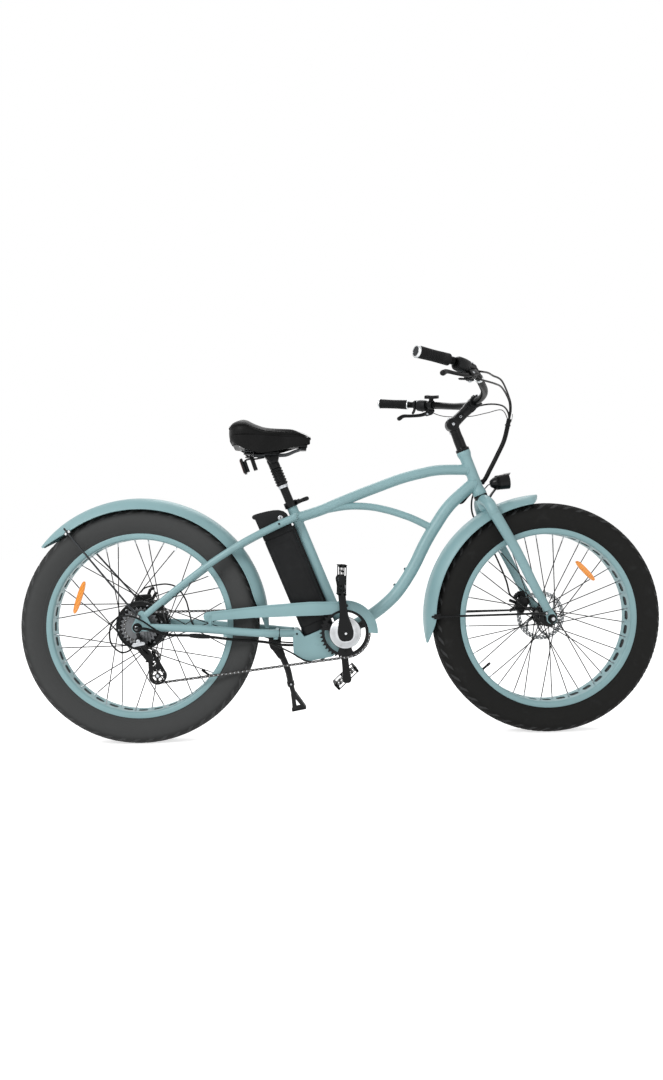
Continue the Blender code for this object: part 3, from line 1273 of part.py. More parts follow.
def make_fork():
    """Steerer, crown, two oval legs and their slotted ends, with the brake's mount on the left."""
    crown = HEAD_FOOT - STEER_AXIS * CROWN_DROP
    steerer = rod(HEAD_FOOT - STEER_AXIS * 0.012, HEAD_TOP + STEER_AXIS * 0.012, STEERER_RADIUS, 14)
    fork = add("fork", *steerer, "teal", HEAD_FOOT)
    race = turned([(0.0200, -0.014), (0.0222, -0.004), (0.0222, -GAP * 2)], HEAD_FOOT, STEER_AXIS, 16)
    arch = []
    for y, x, z in ((-0.0785, 0.4590, 0.7080), (-0.0680, 0.4515, 0.7290), (-0.0380, 0.4450, 0.7440)):
        arch.append(Vector((x, y, z)))
    arch = [*arch, crown, *[Vector((p.x, -p.y, p.z)) for p in reversed(arch)]]
    shapes = [race, tube(arch, CROWN_RADIUS, 10, across=(1.0, 0.0, 0.3))]
    for side in (LEFT, RIGHT):
        shapes.append(tube(fork_leg_line(side), lambda share: 0.0178 - 0.0055 * share, 10,
                           flat=lambda share: 0.72 - 0.08 * share))
        x, z = FRONT_AXLE.x, FRONT_AXLE.z
        outline = [(0.6400, 0.4060), (0.6240, 0.4090), (0.6160, 0.3960), (0.6290, 0.3700), *arc((x, z), 0.0165, 190, 400, 7)]
        inner, outer = sorted((side * FORK_END_Y, side * (FORK_END_Y + FORK_END_THICKNESS)))
        shapes.append(plate(outline, inner, outer))
    mount = [(0.6080, 0.4520), (0.5750, 0.4460), (0.5660, 0.4340), (0.5720, 0.4250), (0.6120, 0.4280)]
    shapes.append(plate(mount, 0.0662, 0.0722))
    join(fork, shapes)
    bore = AXLE_RADIUS + RUN
    x, z = FRONT_AXLE.x, FRONT_AXLE.z
    cut(fork, [plate([*arc((x, z), bore, 0, 180, 4), (x - bore, z - 0.03), (x + bore, z - 0.03)], -0.09, 0.09)])
    return fork


def make_stem():
    """Headset collar, quill, angle joint, arm and bar clamp, locked as one."""
    collar = [(0.0215, HEAD_LENGTH + GAP * 2), (0.0215, HEAD_LENGTH + 0.006), (0.0185, HEAD_LENGTH + 0.016),
              (0.0150, HEAD_LENGTH + 0.024), (0.0142, HEAD_LENGTH + 0.026), (0.0142, 0.232)]
    stem = add("stem", *turned(collar, HEAD_FOOT, STEER_AXIS, 14), "black", HEAD_TOP)
    joint = Vector((0.3485, 0.0, 0.9905))
    arm = (BAR_CLAMP - joint).normalized()
    shapes = [rod(joint - Vector((0, 0.0195, 0)), joint + Vector((0, 0.0195, 0)), 0.0215, 12),
              tube([joint, joint + arm * 0.034, BAR_CLAMP], 0.0155, 10),
              rod(BAR_CLAMP - Vector((0, 0.023, 0)), BAR_CLAMP + Vector((0, 0.023, 0)), 0.0195, 14)]
    join(stem, shapes)
    bar = rod(BAR_CLAMP - Vector((0, 0.05, 0)), BAR_CLAMP + Vector((0, 0.05, 0)), bored(BAR_RADIUS, 14), 14)
    steerer = rod(HEAD_TOP - STEER_AXIS * 0.02, HEAD_TOP + STEER_AXIS * 0.0125, bored(STEERER_RADIUS, 14), 14)
    cut(stem, [bar, steerer])
    return stem


def bored(radius, sides):
    """The corner radius of a hole whose flats clear a round bar of this radius."""
    return (radius + GAP) / math.cos(math.pi / sides)


# The bar's right half, from the middle to the end. Its last two stretches are straight.
BAR_POINTS = ((0.421, 0.0, 1.061), (0.421, 0.034, 1.061), (0.4275, 0.072, 1.0650), (0.4265, 0.110, 1.0710),
              (0.4165, 0.152, 1.0765), (0.3980, 0.200, 1.0830), (0.3780, 0.245, 1.0925), (0.3570, 0.2880, 1.1020),
              (0.3465, 0.3020, 1.1050), (0.2830, 0.3610, 1.1153), (0.2680, 0.3715, 1.1175), (0.1680, 0.4200, 1.1300))


def bar_point(number, side):
    x, y, z = BAR_POINTS[number]
    return Vector((x, side * y, z))


def control_seat(side, distance):
    """A place on the bar's stretch for the controls, and the way outwards along it."""
    start, end = bar_point(8, side), bar_point(9, side)
    way = (end - start).normalized()
    return start + way * distance, way


def make_handlebar():
    right = [bar_point(n, RIGHT) for n in range(len(BAR_POINTS) - 1, 0, -1)]
    left = [bar_point(n, LEFT) for n in range(1, len(BAR_POINTS))]
    return add("handlebar", *tube(right + left, BAR_RADIUS, 10, across=(0.3, 0.0, 1.0)), "black_steel")


def make_grip(name, side):
    """A sleeve with a collar at each end, closed at the bar's end."""
    start, end = bar_point(10, side), bar_point(11, side)
    way = (end - start).normalized()
    start = start + way * 0.006
    length = (end - start).length
    bore, r = bored(BAR_RADIUS, 12), GRIP_RADIUS
    profile = [(bore, length + GAP), (bore, 0.0), (r - 0.001, 0.0), (r + 0.0008, 0.003), (r, 0.008),
               (r - 0.0012, length * 0.5), (r, length - 0.006), (r + 0.0008, length - 0.001), (r - 0.001, length + 0.0045)]
    vertices, faces = turned(profile, start, way, 12)
    return add(name, vertices, faces, "rubber", start)


def lever_frame(side):
    """The brake lever's pivot and its directions: out along the lever, towards the bar, and the pin."""
    seat, _ = control_seat(side, 0.058)
    pivot = Vector((0.3340, side * 0.3440, 1.0830))
    out = (Vector((0.2420, side * 0.4100, 1.0770)) - pivot).normalized()
    towards = seat - pivot
    towards = (towards - out * towards.dot(out)).normalized()
    return pivot, out, towards, out.cross(towards).normalized()


def hose_outlet(side):
    """Where the brake hose leaves its bracket."""
    pivot, out, towards, _ = lever_frame(side)
    return pivot + towards * 0.0175 - out * 0.010


def make_brake_bracket(name, side):
    """A clamp on the bar with a body that forks round the lever's root and holds its pin."""
    seat, way = control_seat(side, 0.058)
    pivot, out, towards, pin = lever_frame(side)
    bracket = add(name, *turned([(0.0165, -0.007), (0.0165, 0.007)], seat, way, 12), "black")
    body = rod(seat + (pivot - seat) * 0.40, pivot - towards * 0.008, 0.0105, 8)
    outlet = rod(pivot + towards * 0.0175 + out * 0.008, hose_outlet(side), 0.0045, 6)
    join(bracket, [body, outlet])
    across = [pivot + out * a + towards * b for a, b in ((-0.03, -0.03), (0.03, -0.03), (0.03, 0.0105), (-0.03, 0.0105))]
    slot = loft([[p + pin * c for p in across] for c in (-0.0050, 0.0050)])
    hole = rod(seat - way * 0.030, seat + way * 0.022, bored(BAR_RADIUS, 12), 12)
    cut(bracket, [slot, hole])
    join(bracket, [rod(pivot - pin * 0.0085, pivot + pin * 0.0085, 0.0022, 8)])
    return bracket


def make_brake_lever(name, side):
    """A two-finger blade with a hooked tip, on its root round the pin."""
    pivot, out, towards, pin = lever_frame(side)
    root = rod(pivot - pin * 0.0044, pivot + pin * 0.0044, 0.0085, 10)
    lever = add(name, *root, "black_steel", pivot)
    line = smooth([pivot + out * 0.002, pivot + out * 0.032 - towards * 0.004, pivot + out * 0.070 - towards * 0.001,
                   pivot + out * 0.100 + towards * 0.003, pivot + out * 0.120 - towards * 0.004], 2)
    join(lever, [tube(line, lambda share: 0.0058 - 0.001 * share, 8, flat=0.62, across=pin)])
    cut(lever, [rod(pivot - pin * 0.02, pivot + pin * 0.02, 0.0022 + RUN, 8)])
    return lever


def clamp_ring(side, distance, half, radius):
    seat, way = control_seat(side, distance)
    bore = bored(BAR_RADIUS, 12)
    return turned([(radius, -half), (radius, half), (bore, half), (bore, -half)], seat, way, 12, closed=True)


SHIFTER_AT = 0.0105


def shifter_frame():
    seat, way = control_seat(RIGHT, SHIFTER_AT)
    down = Vector((0.0, 0.0, -1.0))
    down = (down - way * down.dot(way)).normalized()
    return seat, way, down, way.cross(down).normalized()


def make_shifter():
    """The gear control: a clamp and a round pod under the bar, with the pin of its thumb lever."""
    seat, way, down, _ = shifter_frame()
    shifter = add("shifter", *clamp_ring(RIGHT, SHIFTER_AT, 0.009, 0.0165), "black")
    pod = rod(seat + down * 0.0140, seat + down * 0.0270, 0.0165, 12, tip=0.0150)
    outlet = rod(seat + down * 0.0200 - way * 0.010, seat + down * 0.0200 - way * 0.024, 0.0045, 8)
    pin = rod(seat + down * 0.024, seat + down * 0.0365, 0.0040, 8)
    join(shifter, [pod, outlet, pin])
    return shifter


def make_shifter_lever():
    """The thumb lever: a hub on the pod's pin and a paddle towards the rider."""
    seat, way, down, back = shifter_frame()
    pivot = seat + down * 0.0275
    hub = rod(pivot, pivot + down * 0.0060, 0.0125, 12)
    lever = add("shifter_lever", *hub, "black", pivot)
    towards = Vector((-1.0, 0.0, 0.0))
    towards = (towards - down * towards.dot(down)).normalized()
    line = [pivot + down * 0.003 + towards * 0.006, pivot + down * 0.0034 + towards * 0.020,
            pivot + down * 0.0036 + towards * 0.034]
    join(lever, [tube(line, 0.0065, 8, flat=0.42, across=down)])
    cut(lever, [rod(pivot - down * 0.01, pivot + down * 0.02, 0.0040 + RUN, 8)])
    return lever


def make_control_pad():
    """The display with its keys, on a clamp: a flat case tilted towards the rider."""
    seat, way = control_seat(LEFT, 0.0105)
    pad = add("control_pad", *clamp_ring(LEFT, 0.0105, 0.008, 0.0165), "black")
    up = Vector((-0.25, 0.0, 1.0))
    up = (up - way * up.dot(way)).normalized()
    fore = way.cross(up).normalized()
    foot = rod(seat + up * 0.0140, seat + up * 0.0240, 0.0080, 8)
    case = loft([[seat + up * c + way * a + fore * b for a, b in
                  ((-0.024 * s, -0.016 * s), (0.020 * s, -0.016 * s), (0.024 * s, 0.0), (0.020 * s, 0.016 * s),
                   (-0.024 * s, 0.016 * s), (-0.028 * s, 0.0))] for c, s in ((0.022, 0.92), (0.025, 1.0), (0.032, 1.0), (0.034, 0.9))])
    join(pad, [foot, case])
    return pad


def make_throttle():
    """The thumb throttle: a ring that turns on the bar, with a paddle below it."""
    seat, way = control_seat(LEFT, 0.077)
    bore = (BAR_RADIUS + RUN) / math.cos(math.pi / 12)
    band = turned([(0.0162, -0.005), (0.0162, 0.005), (bore, 0.005), (bore, -0.005)], seat, way, 12, closed=True)
    throttle = add("throttle_lever", *band, "black", seat)
    down = Vector((-0.55, 0.0, -1.0))
    down = (down - way * down.dot(way)).normalized()
    line = [seat + down * 0.0140, seat + down * 0.0260, seat + down * 0.0370 + way * 0.003]
    join(throttle, [tube(line, 0.0058, 8, flat=0.5, across=way.cross(down))])
    return throttle


def make_headlight():
    """A round lamp with a hood over its lens, on a bent bracket bolted to the crown."""
    back, front = Vector((0.4800, 0.0, 0.8010)), Vector((0.5300, 0.0, 0.8080))
    axis = (front - back).normalized()
    reach = (front - back).length
    profile = [(0.0100, -0.010), (0.0170, 0.0), (0.0235, 0.020), (0.0255, reach), (0.0225, reach), (0.0215, reach - 0.005)]
    lamp = add("headlight", *turned(profile, back, axis, 16), "black")
    crown = HEAD_FOOT - STEER_AXIS * CROWN_DROP
    ahead = Vector((STEER_AXIS.z, 0.0, -STEER_AXIS.x))
    foot = crown + ahead * (CROWN_RADIUS * 0.951 + GAP * 2.5)
    line = [foot, foot + ahead * 0.0070, foot + Vector((0.0165, 0.0, 0.0170)), Vector((0.4930, 0.0, 0.7900))]
    bracket = tube(line, 0.0050, 6, flat=1.6, across=(0, 1, 0))
    join(lamp, [bracket])
    return lamp


# Brakes


def caliper(name, axle, disc_y, angle_deg, radius, inner, outer):
    """A caliper body astride the disc, with its pad slot and pistons' bosses."""
    angle = math.radians(angle_deg)
    way = Vector((math.cos(angle), 0.0, math.sin(angle)))
    round_ = Vector((-way.z, 0.0, way.x))
    at = axle + way * radius

    def outline(half, low, high):
        return [(-half, low), (-half * 0.8, high), (half * 0.8, high), (half, low), (half * 0.7, low - 0.006), (-half * 0.7, low - 0.006)]

    rings = []
    for y, scale in ((inner, 0.86), (inner + 0.004, 1.0), (outer - 0.004, 1.0), (outer, 0.86)):
        rings.append([at + round_ * (a * scale) + way * (b * scale) + Vector((0, y, 0)) for a, b in outline(0.0290, -0.012, 0.0175)])
    body = add(name, *loft(rings), "black")
    half = DISC_THICKNESS / 2 + 0.0006
    gap_low = [(-0.05, -0.05), (-0.05, 0.0105), (0.05, 0.0105), (0.05, -0.05)]
    slot = loft([[at + round_ * a + way * b + Vector((0, disc_y + c, 0)) for a, b in gap_low] for c in (-half, half)])
    cut(body, [slot])
    return body, at, way, round_


def make_front_caliper():
    body, at, way, round_ = caliper("front_brake_caliper", FRONT_AXLE, FRONT_DISC_Y, 150, 0.0745, 0.0362, 0.0605)
    lug_at = at + way * 0.018
    ear = rod((0.5860, 0.052, 0.4345), (0.5860, 0.0662 - GAP, 0.4345), 0.0080, 8)
    outlet = rod(at + round_ * 0.020 + way * 0.006 + Vector((0, 0.056, 0)), at + round_ * 0.036 + way * 0.010 + Vector((0, 0.058, 0)), 0.0042, 8)
    join(body, [ear])
    return body


def make_rear_caliper():
    body, at, way, round_ = caliper("rear_brake_caliper", REAR_AXLE, REAR_DISC_Y, 94, 0.0745, 0.0450, 0.0700)
    ear = rod((-0.6560, 0.064, 0.4455), (-0.6560, REAR_HUB_LENGTH / 2 - GAP, 0.4455), 0.0080, 8)
    join(body, [ear])
    return body


# Cables


def wire(points, radius, sides=5, steps=2):
    """A cable through the given points, with its section kept square to the route."""
    line = smooth(points, steps)
    rings = []
    across = Vector((0.0, 1.0, 0.0))
    last = len(line) - 1
    for i, point in enumerate(line):
        along = (line[min(i + 1, last)] - line[max(i - 1, 0)]).normalized()
        across = (across - along * across.dot(along)).normalized()
        rings.append(ring(point, along, radius, sides, across=across))
    return loft(rings)


SLEEVE_RADIUS = 0.0068
SLEEVE = ((0.5410, 0.020, 1.0120), (0.5270, 0.030, 0.9460), (0.5040, 0.033, 0.8960), (0.4790, 0.035, 0.8480),
          (0.4590, 0.036, 0.8130), (0.4300, 0.035, 0.7930), (0.4000, 0.027, 0.7640), (0.3790, 0.012, 0.7440),
          (0.3620, 0.0, 0.7440))


def make_control_cables():
    """The hoses and wires from both ends of the bar, in one sleeve to the down tube, and the front hose."""
    cables = add("control_cables", *wire(SLEEVE, SLEEVE_RADIUS, 8, 1), "cable")
    _, out, _, _ = lever_frame(RIGHT)
    right_out = hose_outlet(RIGHT) - out * GAP * 4
    _, out_left, _, _ = lever_frame(LEFT)
    left_out = hose_outlet(LEFT) - out_left * GAP * 4
    seat, way, down, _ = shifter_frame()
    shift_out = seat + down * 0.0200 - way * (0.024 + GAP * 4)
    neck = [(0.5350, -0.010, 1.0720), (0.5450, 0.012, 1.0400), (0.5405, 0.021, 1.0050)]
    right = [right_out, (0.3680, -0.3160, 1.0970), (0.4000, -0.2650, 1.1040), (0.430, -0.205, 1.108), (0.478, -0.130, 1.106), *neck]
    gears = [shift_out, shift_out - way * 0.022 + Vector((0.006, 0.0, 0.0)), (0.438, -0.195, 1.086), (0.485, -0.105, 1.090),
             (0.531, -0.014, 1.0680), (0.5410, 0.009, 1.0390), (0.5385, 0.018, 1.0020)]
    left = [left_out, (0.3680, 0.3160, 1.0950), (0.4050, 0.2850, 1.0880), (0.448, 0.235, 1.080), (0.505, 0.160, 1.083), (0.538, 0.095, 1.068),
            (0.5455, 0.048, 1.0380), (0.5425, 0.026, 1.0030)]
    hose = [(0.4560, 0.0405, 0.8100), (0.4360, 0.050, 0.785), (0.4240, 0.058, 0.755), (0.4250, 0.068, 0.715), (0.4390, 0.0715, 0.680), (0.4660, 0.0735, 0.640),
            (0.5050, 0.0765, 0.565), (0.5380, 0.075, 0.485), (0.5480, 0.066, 0.438), (0.5640, 0.0575, 0.4245)]
    join(cables, [wire(right, 0.0026), wire(gears, 0.0026), wire(left, 0.0026), wire(hose, 0.0025, 5, 1)])
    return cables


def make_rear_hose():
    hose = [(-0.6600, 0.058, 0.4655), (-0.6450, 0.060, 0.4800), (-0.6100, 0.064, 0.4880), (-0.5750, 0.066, 0.4900),
            (-0.5440, 0.066, 0.4780), (-0.5180, 0.067, 0.4400), (-0.5060, 0.068, 0.3950), (-0.4960, 0.0700, 0.3600),
            (-0.4700, 0.0770, 0.3432), (-0.4000, 0.0805, 0.3364), (-0.3400, 0.0765, 0.3304), (-0.2900, 0.062, 0.3220),
            (-0.2550, 0.045, 0.3130), (-0.2120, 0.033, 0.3000), (-0.1560, PORT_Y, PORT_Z)]
    return add("rear_brake_hose", *wire(hose, 0.0025, 5, 1), "cable")


def make_drive_cables():
    """The gear housing's loop behind the axle and the motor's lead, side by side under the chain stay."""
    lead = [(REAR_AXLE.x, -(REAR_HUB_LENGTH / 2 + 0.022 + GAP * 2), REAR_AXLE.z), (-0.6450, -0.1150, 0.3680),
            (-0.6380, -0.1195, 0.3680), (-0.6150, -0.1190, 0.3660),
            (-0.5850, -0.1090, 0.3560), (-0.5500, -0.0960, 0.3440), (-0.4870, -0.0880, 0.3400), (-0.4270, -0.0840, 0.3340),
            (-0.3660, -0.0790, 0.3250), (-0.3100, -0.0680, 0.3180), (-0.2600, -0.0470, 0.3100), (-0.2120, -0.0330, 0.2990),
            (-0.1560, -PORT_Y, PORT_Z)]
    cables = add("drive_side_cables", *wire(lead, 0.0042, 6, 1), "cable")
    hanger_y = -(REAR_HUB_LENGTH / 2 + DROPOUT_THICKNESS / 2)
    loop = [(-0.6540, hanger_y - 0.0140, 0.3180), (-0.6680, hanger_y - 0.0140, 0.3000), (-0.6950, -0.1030, 0.2960), (-0.7230, -0.1020, 0.3250),
            (-0.7230, -0.1040, 0.3720), (-0.6980, -0.1090, 0.4020), (-0.6600, -0.1120, 0.4040), (-0.6250, -0.1100, 0.3880),
            (-0.5900, -0.1030, 0.3620), (-0.5500, -0.0935, 0.3400)]
    join(cables, [wire(loop, 0.0026)])
    return cables


# The whole


def build():
    clear_scene()
    make_head_tube()
    make_top_tube()
    make_down_tube()
    make_seat_tube()
    make_seat_stays()
    make_chain_stays()
    make_controller_housing()
    make_seat_clamp()
    make_clamp_lever()
    for where, axle in (("rear", REAR_AXLE), ("front", FRONT_AXLE)):
        make_tyre(f"{where}_tyre", axle)
        make_rim(f"{where}_rim", axle)
    make_front_hub()
    make_motor()
    make_disc("front_brake_disc", FRONT_AXLE, FRONT_DISC_Y, 0.0176)
    make_disc("rear_brake_disc", REAR_AXLE, REAR_DISC_Y, 0.0290)
    make_axle("front_axle", FRONT_AXLE, FORK_END_Y + FORK_END_THICKNESS, FRONT_HUB_LENGTH / 2 + 0.020)
    make_axle("rear_axle", REAR_AXLE, REAR_HUB_LENGTH / 2 + DROPOUT_THICKNESS, REAR_HUB_LENGTH / 2 + 0.022)
    make_chainring()
    make_crank("crank_arm_right", RIGHT)
    make_crank("crank_arm_left", LEFT)
    make_pedal("pedal_right", RIGHT, math.radians(88))
    make_pedal("pedal_left", LEFT, math.radians(42.6))
    make_freewheel()
    make_pulley("guide_pulley", GUIDE_PULLEY)
    make_pulley("tension_pulley", TENSION_PULLEY)
    make_chain()
    make_derailleur()
    make_chain_guard()
    make_rear_fender()
    make_front_fender()
    make_battery()
    make_battery_cap()
    make_battery_lock()
    make_kickstand()
    make_seatpost()
    make_seatpost_head()
    make_saddle_rails()
    make_saddle_base()
    make_saddle_cushion()
    make_fork()
    make_stem()
    make_handlebar()
    for word, side in (("right", RIGHT), ("left", LEFT)):
        make_grip(f"{word}_grip", side)
        make_brake_bracket(f"{word}_brake_bracket", side)
        make_brake_lever(f"{word}_brake_lever", side)
    make_shifter()
    make_shifter_lever()
    make_control_pad()
    make_throttle()
    make_headlight()
    make_front_caliper()
    make_rear_caliper()
    make_control_cables()
    make_rear_hose()
    make_drive_cables()


build()
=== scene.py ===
import math

import bmesh
import bpy
import numpy as np
from mathutils import Matrix, Vector, geometry


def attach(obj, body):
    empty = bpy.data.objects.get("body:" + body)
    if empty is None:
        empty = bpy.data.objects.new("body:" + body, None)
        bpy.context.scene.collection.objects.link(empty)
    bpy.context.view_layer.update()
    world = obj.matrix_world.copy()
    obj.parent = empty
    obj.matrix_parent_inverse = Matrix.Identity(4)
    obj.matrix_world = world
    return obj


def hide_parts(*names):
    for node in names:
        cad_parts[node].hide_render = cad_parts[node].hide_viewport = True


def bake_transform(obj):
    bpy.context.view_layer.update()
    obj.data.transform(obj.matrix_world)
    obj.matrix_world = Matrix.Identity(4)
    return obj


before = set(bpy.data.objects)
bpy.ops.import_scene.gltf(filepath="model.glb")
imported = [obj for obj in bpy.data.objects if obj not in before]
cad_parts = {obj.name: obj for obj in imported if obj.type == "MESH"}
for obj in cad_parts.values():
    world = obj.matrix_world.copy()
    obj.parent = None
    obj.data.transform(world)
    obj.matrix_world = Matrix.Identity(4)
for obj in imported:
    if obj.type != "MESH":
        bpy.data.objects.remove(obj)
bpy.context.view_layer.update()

LEFT, RIGHT = 1, -1
X, Y, Z = np.eye(3)


# Places and sizes, in metres, as the solids have them: a tube is named for its radius, a seat for its
# distance along the bar, and GUARD is the mudguards' radius


def unit(v):
    v = np.asarray(v, float)
    return v / np.linalg.norm(v, axis=-1, keepdims=True)


AXLE_HEIGHT = 0.36722
REAR, FRONT = np.array([-0.645, 0, AXLE_HEIGHT]), np.array([0.645, 0, AXLE_HEIGHT])
BRACKET = np.array([-0.0105, 0, 0.336])
STEER = unit([-math.cos(math.radians(69.1)), 0, math.sin(math.radians(69.1))])
STEER_AHEAD = np.array([STEER[2], 0, -STEER[0]])
HEAD_FOOT = np.array([0.4365, 0, 0.765])
SEAT = unit([-math.cos(math.radians(68)), 0, math.sin(math.radians(68))])
SEAT_BACK = np.array([-SEAT[2], 0, SEAT[0]])
CHAIN_Y = -0.062
GUIDE, TENSION = np.array([-0.606, CHAIN_Y, 0.272]), np.array([-0.59, CHAIN_Y, 0.2155])
CROWN = HEAD_FOOT - STEER * 0.02
SEAT_TUBE, HEAD_TUBE, DOWN_TUBE, TOP_TUBE, ARCH_TUBE = 0.0165, 0.0185, 0.0195, 0.0166, 0.0115
SHELL = 0.0215
RIM_BED = 0.268
GUARD = 0.397
DISC_Y = {"front": 0.0485, "rear": 0.0575}
RING_TEETH, COG_TEETH, PULLEY_TEETH = 38, 22, 11
COG_STEP = 0.0054
POD_SEAT, LEVER_SEAT, THROTTLE_SEAT = 0.0105, 0.058, 0.077
SPOKES = 36


def seat_point(along, back=0.0, y=0.0):
    """A place along the seat tube from the bottom bracket, behind its middle and to the left."""
    return BRACKET + SEAT * along + SEAT_BACK * back + Y * y


# Surfaces: each gives points and faces


def spline(points, steps=8):
    """A Catmull-Rom curve: half of 2 b + (c - a) t + (2 a - 5 b + 4 c - d) t^2 + (3 b - a - 3 c + d) t^3
    from b to c, with a before and d after them."""
    p = np.asarray(points, float)
    p = np.vstack([2 * p[0] - p[1], p, 2 * p[-1] - p[-2]])
    t = np.linspace(0, 1, steps, endpoint=False)[None, :, None]
    a, b, c, d = (p[i : len(p) - 3 + i][:, None] for i in range(4))
    curve = 0.5 * (2 * b + (c - a) * t + (2 * a - 5 * b + 4 * c - d) * t**2
        + (3 * b - a - 3 * c + d) * t**3)
    return np.vstack([curve.reshape(-1, p.shape[1]), p[-2]])


def ring_spline(points, steps=8):
    """The same curve through points that close on themselves."""
    p = np.asarray(points, float)
    return spline(np.vstack([p[-1], p, p[:2]]), steps)[steps : -steps - 1]


def skin(grid, loop=False, caps=True):
    """Quads over a grid of points. Columns run round, rows run along, and the two ends get a cap."""
    n, m = grid.shape[:2]
    i = np.arange(n if loop else n - 1)[:, None]
    j = np.arange(m)[None, :]
    k, after = (j + 1) % m, (i + 1) % n
    faces = np.stack(np.broadcast_arrays(i * m + j, i * m + k, after * m + k, after * m + j),
        -1).reshape(-1, 4).tolist()
    if caps and not loop:
        faces += [list(range(m - 1, -1, -1)), list(range((n - 1) * m, n * m))]
    return grid.reshape(-1, 3), faces


def square_to(line, across, closed=False):
    """Along, across and the third direction at each point of a line."""
    along = np.roll(line, -1, 0) - np.roll(line, 1, 0) if closed else np.gradient(line, axis=0)
    along = unit(along)
    across = np.broadcast_to(np.asarray(across, float), line.shape)
    across = unit(across - along * np.sum(across * along, 1, keepdims=True))
    return along, across, np.cross(along, across)


def tube(line, radius, sides=24, flat=1.0, across=Y, closed=False, power=1.0):
    """line(s) + radius(s) (flat cos a across + sin a other). A power under 1 squares the section."""
    line = np.asarray(line, float)
    _, one, two = square_to(line, across, closed)
    a = angles(sides)
    c, s = (bent(f, power) for f in (np.cos(a), np.sin(a)))
    r = np.broadcast_to(np.asarray(radius, float), (len(line),))[:, None, None]
    f = np.broadcast_to(np.asarray(flat, float), (len(line),))[:, None, None]
    return skin(line[:, None] + r * (f * c[None, :, None] * one[:, None] + s[None, :, None] * two[:, None]),
        loop=closed)


def rod(start, end, radius, sides=20, tip=None, edge=0.0, across=None):
    """A straight bar. edge rounds both of its ends by that much."""
    start, end = np.asarray(start, float), np.asarray(end, float)
    way = unit(end - start)
    tip = radius if tip is None else tip
    if across is None:
        across = X if abs(way[1]) > 0.9 else Y
    if not edge:
        return tube([start, end], [radius, tip], sides, across=across)
    line = [start, start + way * edge * 0.35, start + way * edge, end - way * edge, end - way * edge * 0.35,
        end]
    return tube(line, [radius - edge, radius - edge * 0.28, radius, tip, tip - edge * 0.28, tip - edge],
        sides, across=across)


def turned(profile, centre, axis, sides=64, closed=False, caps=True):
    """A profile of (radius, reach) swept round an axis: centre + axis reach + radius (cos a, sin a)."""
    axis = unit(axis)
    across = unit(np.cross(axis, Y) if abs(axis[1]) < 0.9 else X)
    other = np.cross(axis, across)
    p = np.asarray(profile, float)
    a = angles(sides)
    out = np.cos(a)[:, None] * across + np.sin(a)[:, None] * other
    grid = np.asarray(centre, float) + p[:, 1, None, None] * axis + p[:, 0, None, None] * out[None]
    return skin(grid, loop=closed, caps=caps)


def angles(count):
    """Equal steps of a full turn."""
    return np.linspace(0, 2 * np.pi, count, endpoint=False)


def ray(angle):
    """The direction at an angle in the plane of the wheels."""
    return np.array([math.cos(angle), 0, math.sin(angle)])


def limited(value):
    """The value kept between 0 and 1."""
    return np.clip(value, 0, 1)


def bent(value, power):
    """The size raised to a power, with its sign kept."""
    return np.sign(value) * np.abs(value) ** power


def rounded(profile, radius, steps=3, closed=False):
    """The corners of a profile of points cut back by radius and rounded with a parabola."""
    p = np.asarray(profile, float)
    before, after = np.roll(p, 1, 0), np.roll(p, -1, 0)
    cut = np.minimum(radius, 0.45 * np.minimum(np.linalg.norm(p - before, axis=1),
        np.linalg.norm(after - p, axis=1)))[:, None]
    a, b = p + unit(before - p + 1e-12) * cut, p + unit(after - p + 1e-12) * cut
    t = np.linspace(0, 1, steps + 1)[None, :, None]
    curve = (1 - t) ** 2 * a[:, None] + 2 * t * (1 - t) * p[:, None] + t**2 * b[:, None]
    if closed:
        return curve.reshape(-1, 2)
    return np.vstack([p[:1], curve[1:-1].reshape(-1, 2), p[-1:]])


def soft(outline, radius, steps=3):
    """A closed outline with rounded corners."""
    return rounded(outline, radius, steps, closed=True)


def corners(left, right, low, high):
    """A rectangle's outline."""
    return [(left, low), (right, low), (right, high), (left, high)]


def mirror(*half):
    """A profile from its positive half, whose mirror image comes first."""
    return [(r, -y) for r, y in half] + list(half[::-1])


def lathe(profile, radius, centre, axis, sides):
    """A solid from an open profile with rounded corners."""
    return turned(rounded(profile, radius), centre, axis, sides)


def hoop(profile, radius, centre, axis, sides):
    """A ring from a closed profile with rounded corners."""
    return turned(soft(profile, radius), centre, axis, sides, closed=True)


def arc(centre, radius, start, end, steps=16):
    """centre + radius (cos a, sin a), from start to end in degrees."""
    a = np.radians(np.linspace(start, end, steps + 1))
    return np.asarray(centre) + radius * np.stack([np.cos(a), np.sin(a)], 1)


def inside(points, outline):
    """1 where the line to the right of a point crosses an odd number of the outline's edges."""
    a, b = outline, np.roll(outline, -1, 0)
    x, y = points[:, :1], points[:, 1:]
    crosses = (a[:, 1] > y) != (b[:, 1] > y)
    slope = (b[:, 0] - a[:, 0]) / np.where(b[:, 1] == a[:, 1], 1.0, b[:, 1] - a[:, 1])
    return (crosses & (x < a[:, 0] + (y - a[:, 1]) * slope)).sum(1) % 2


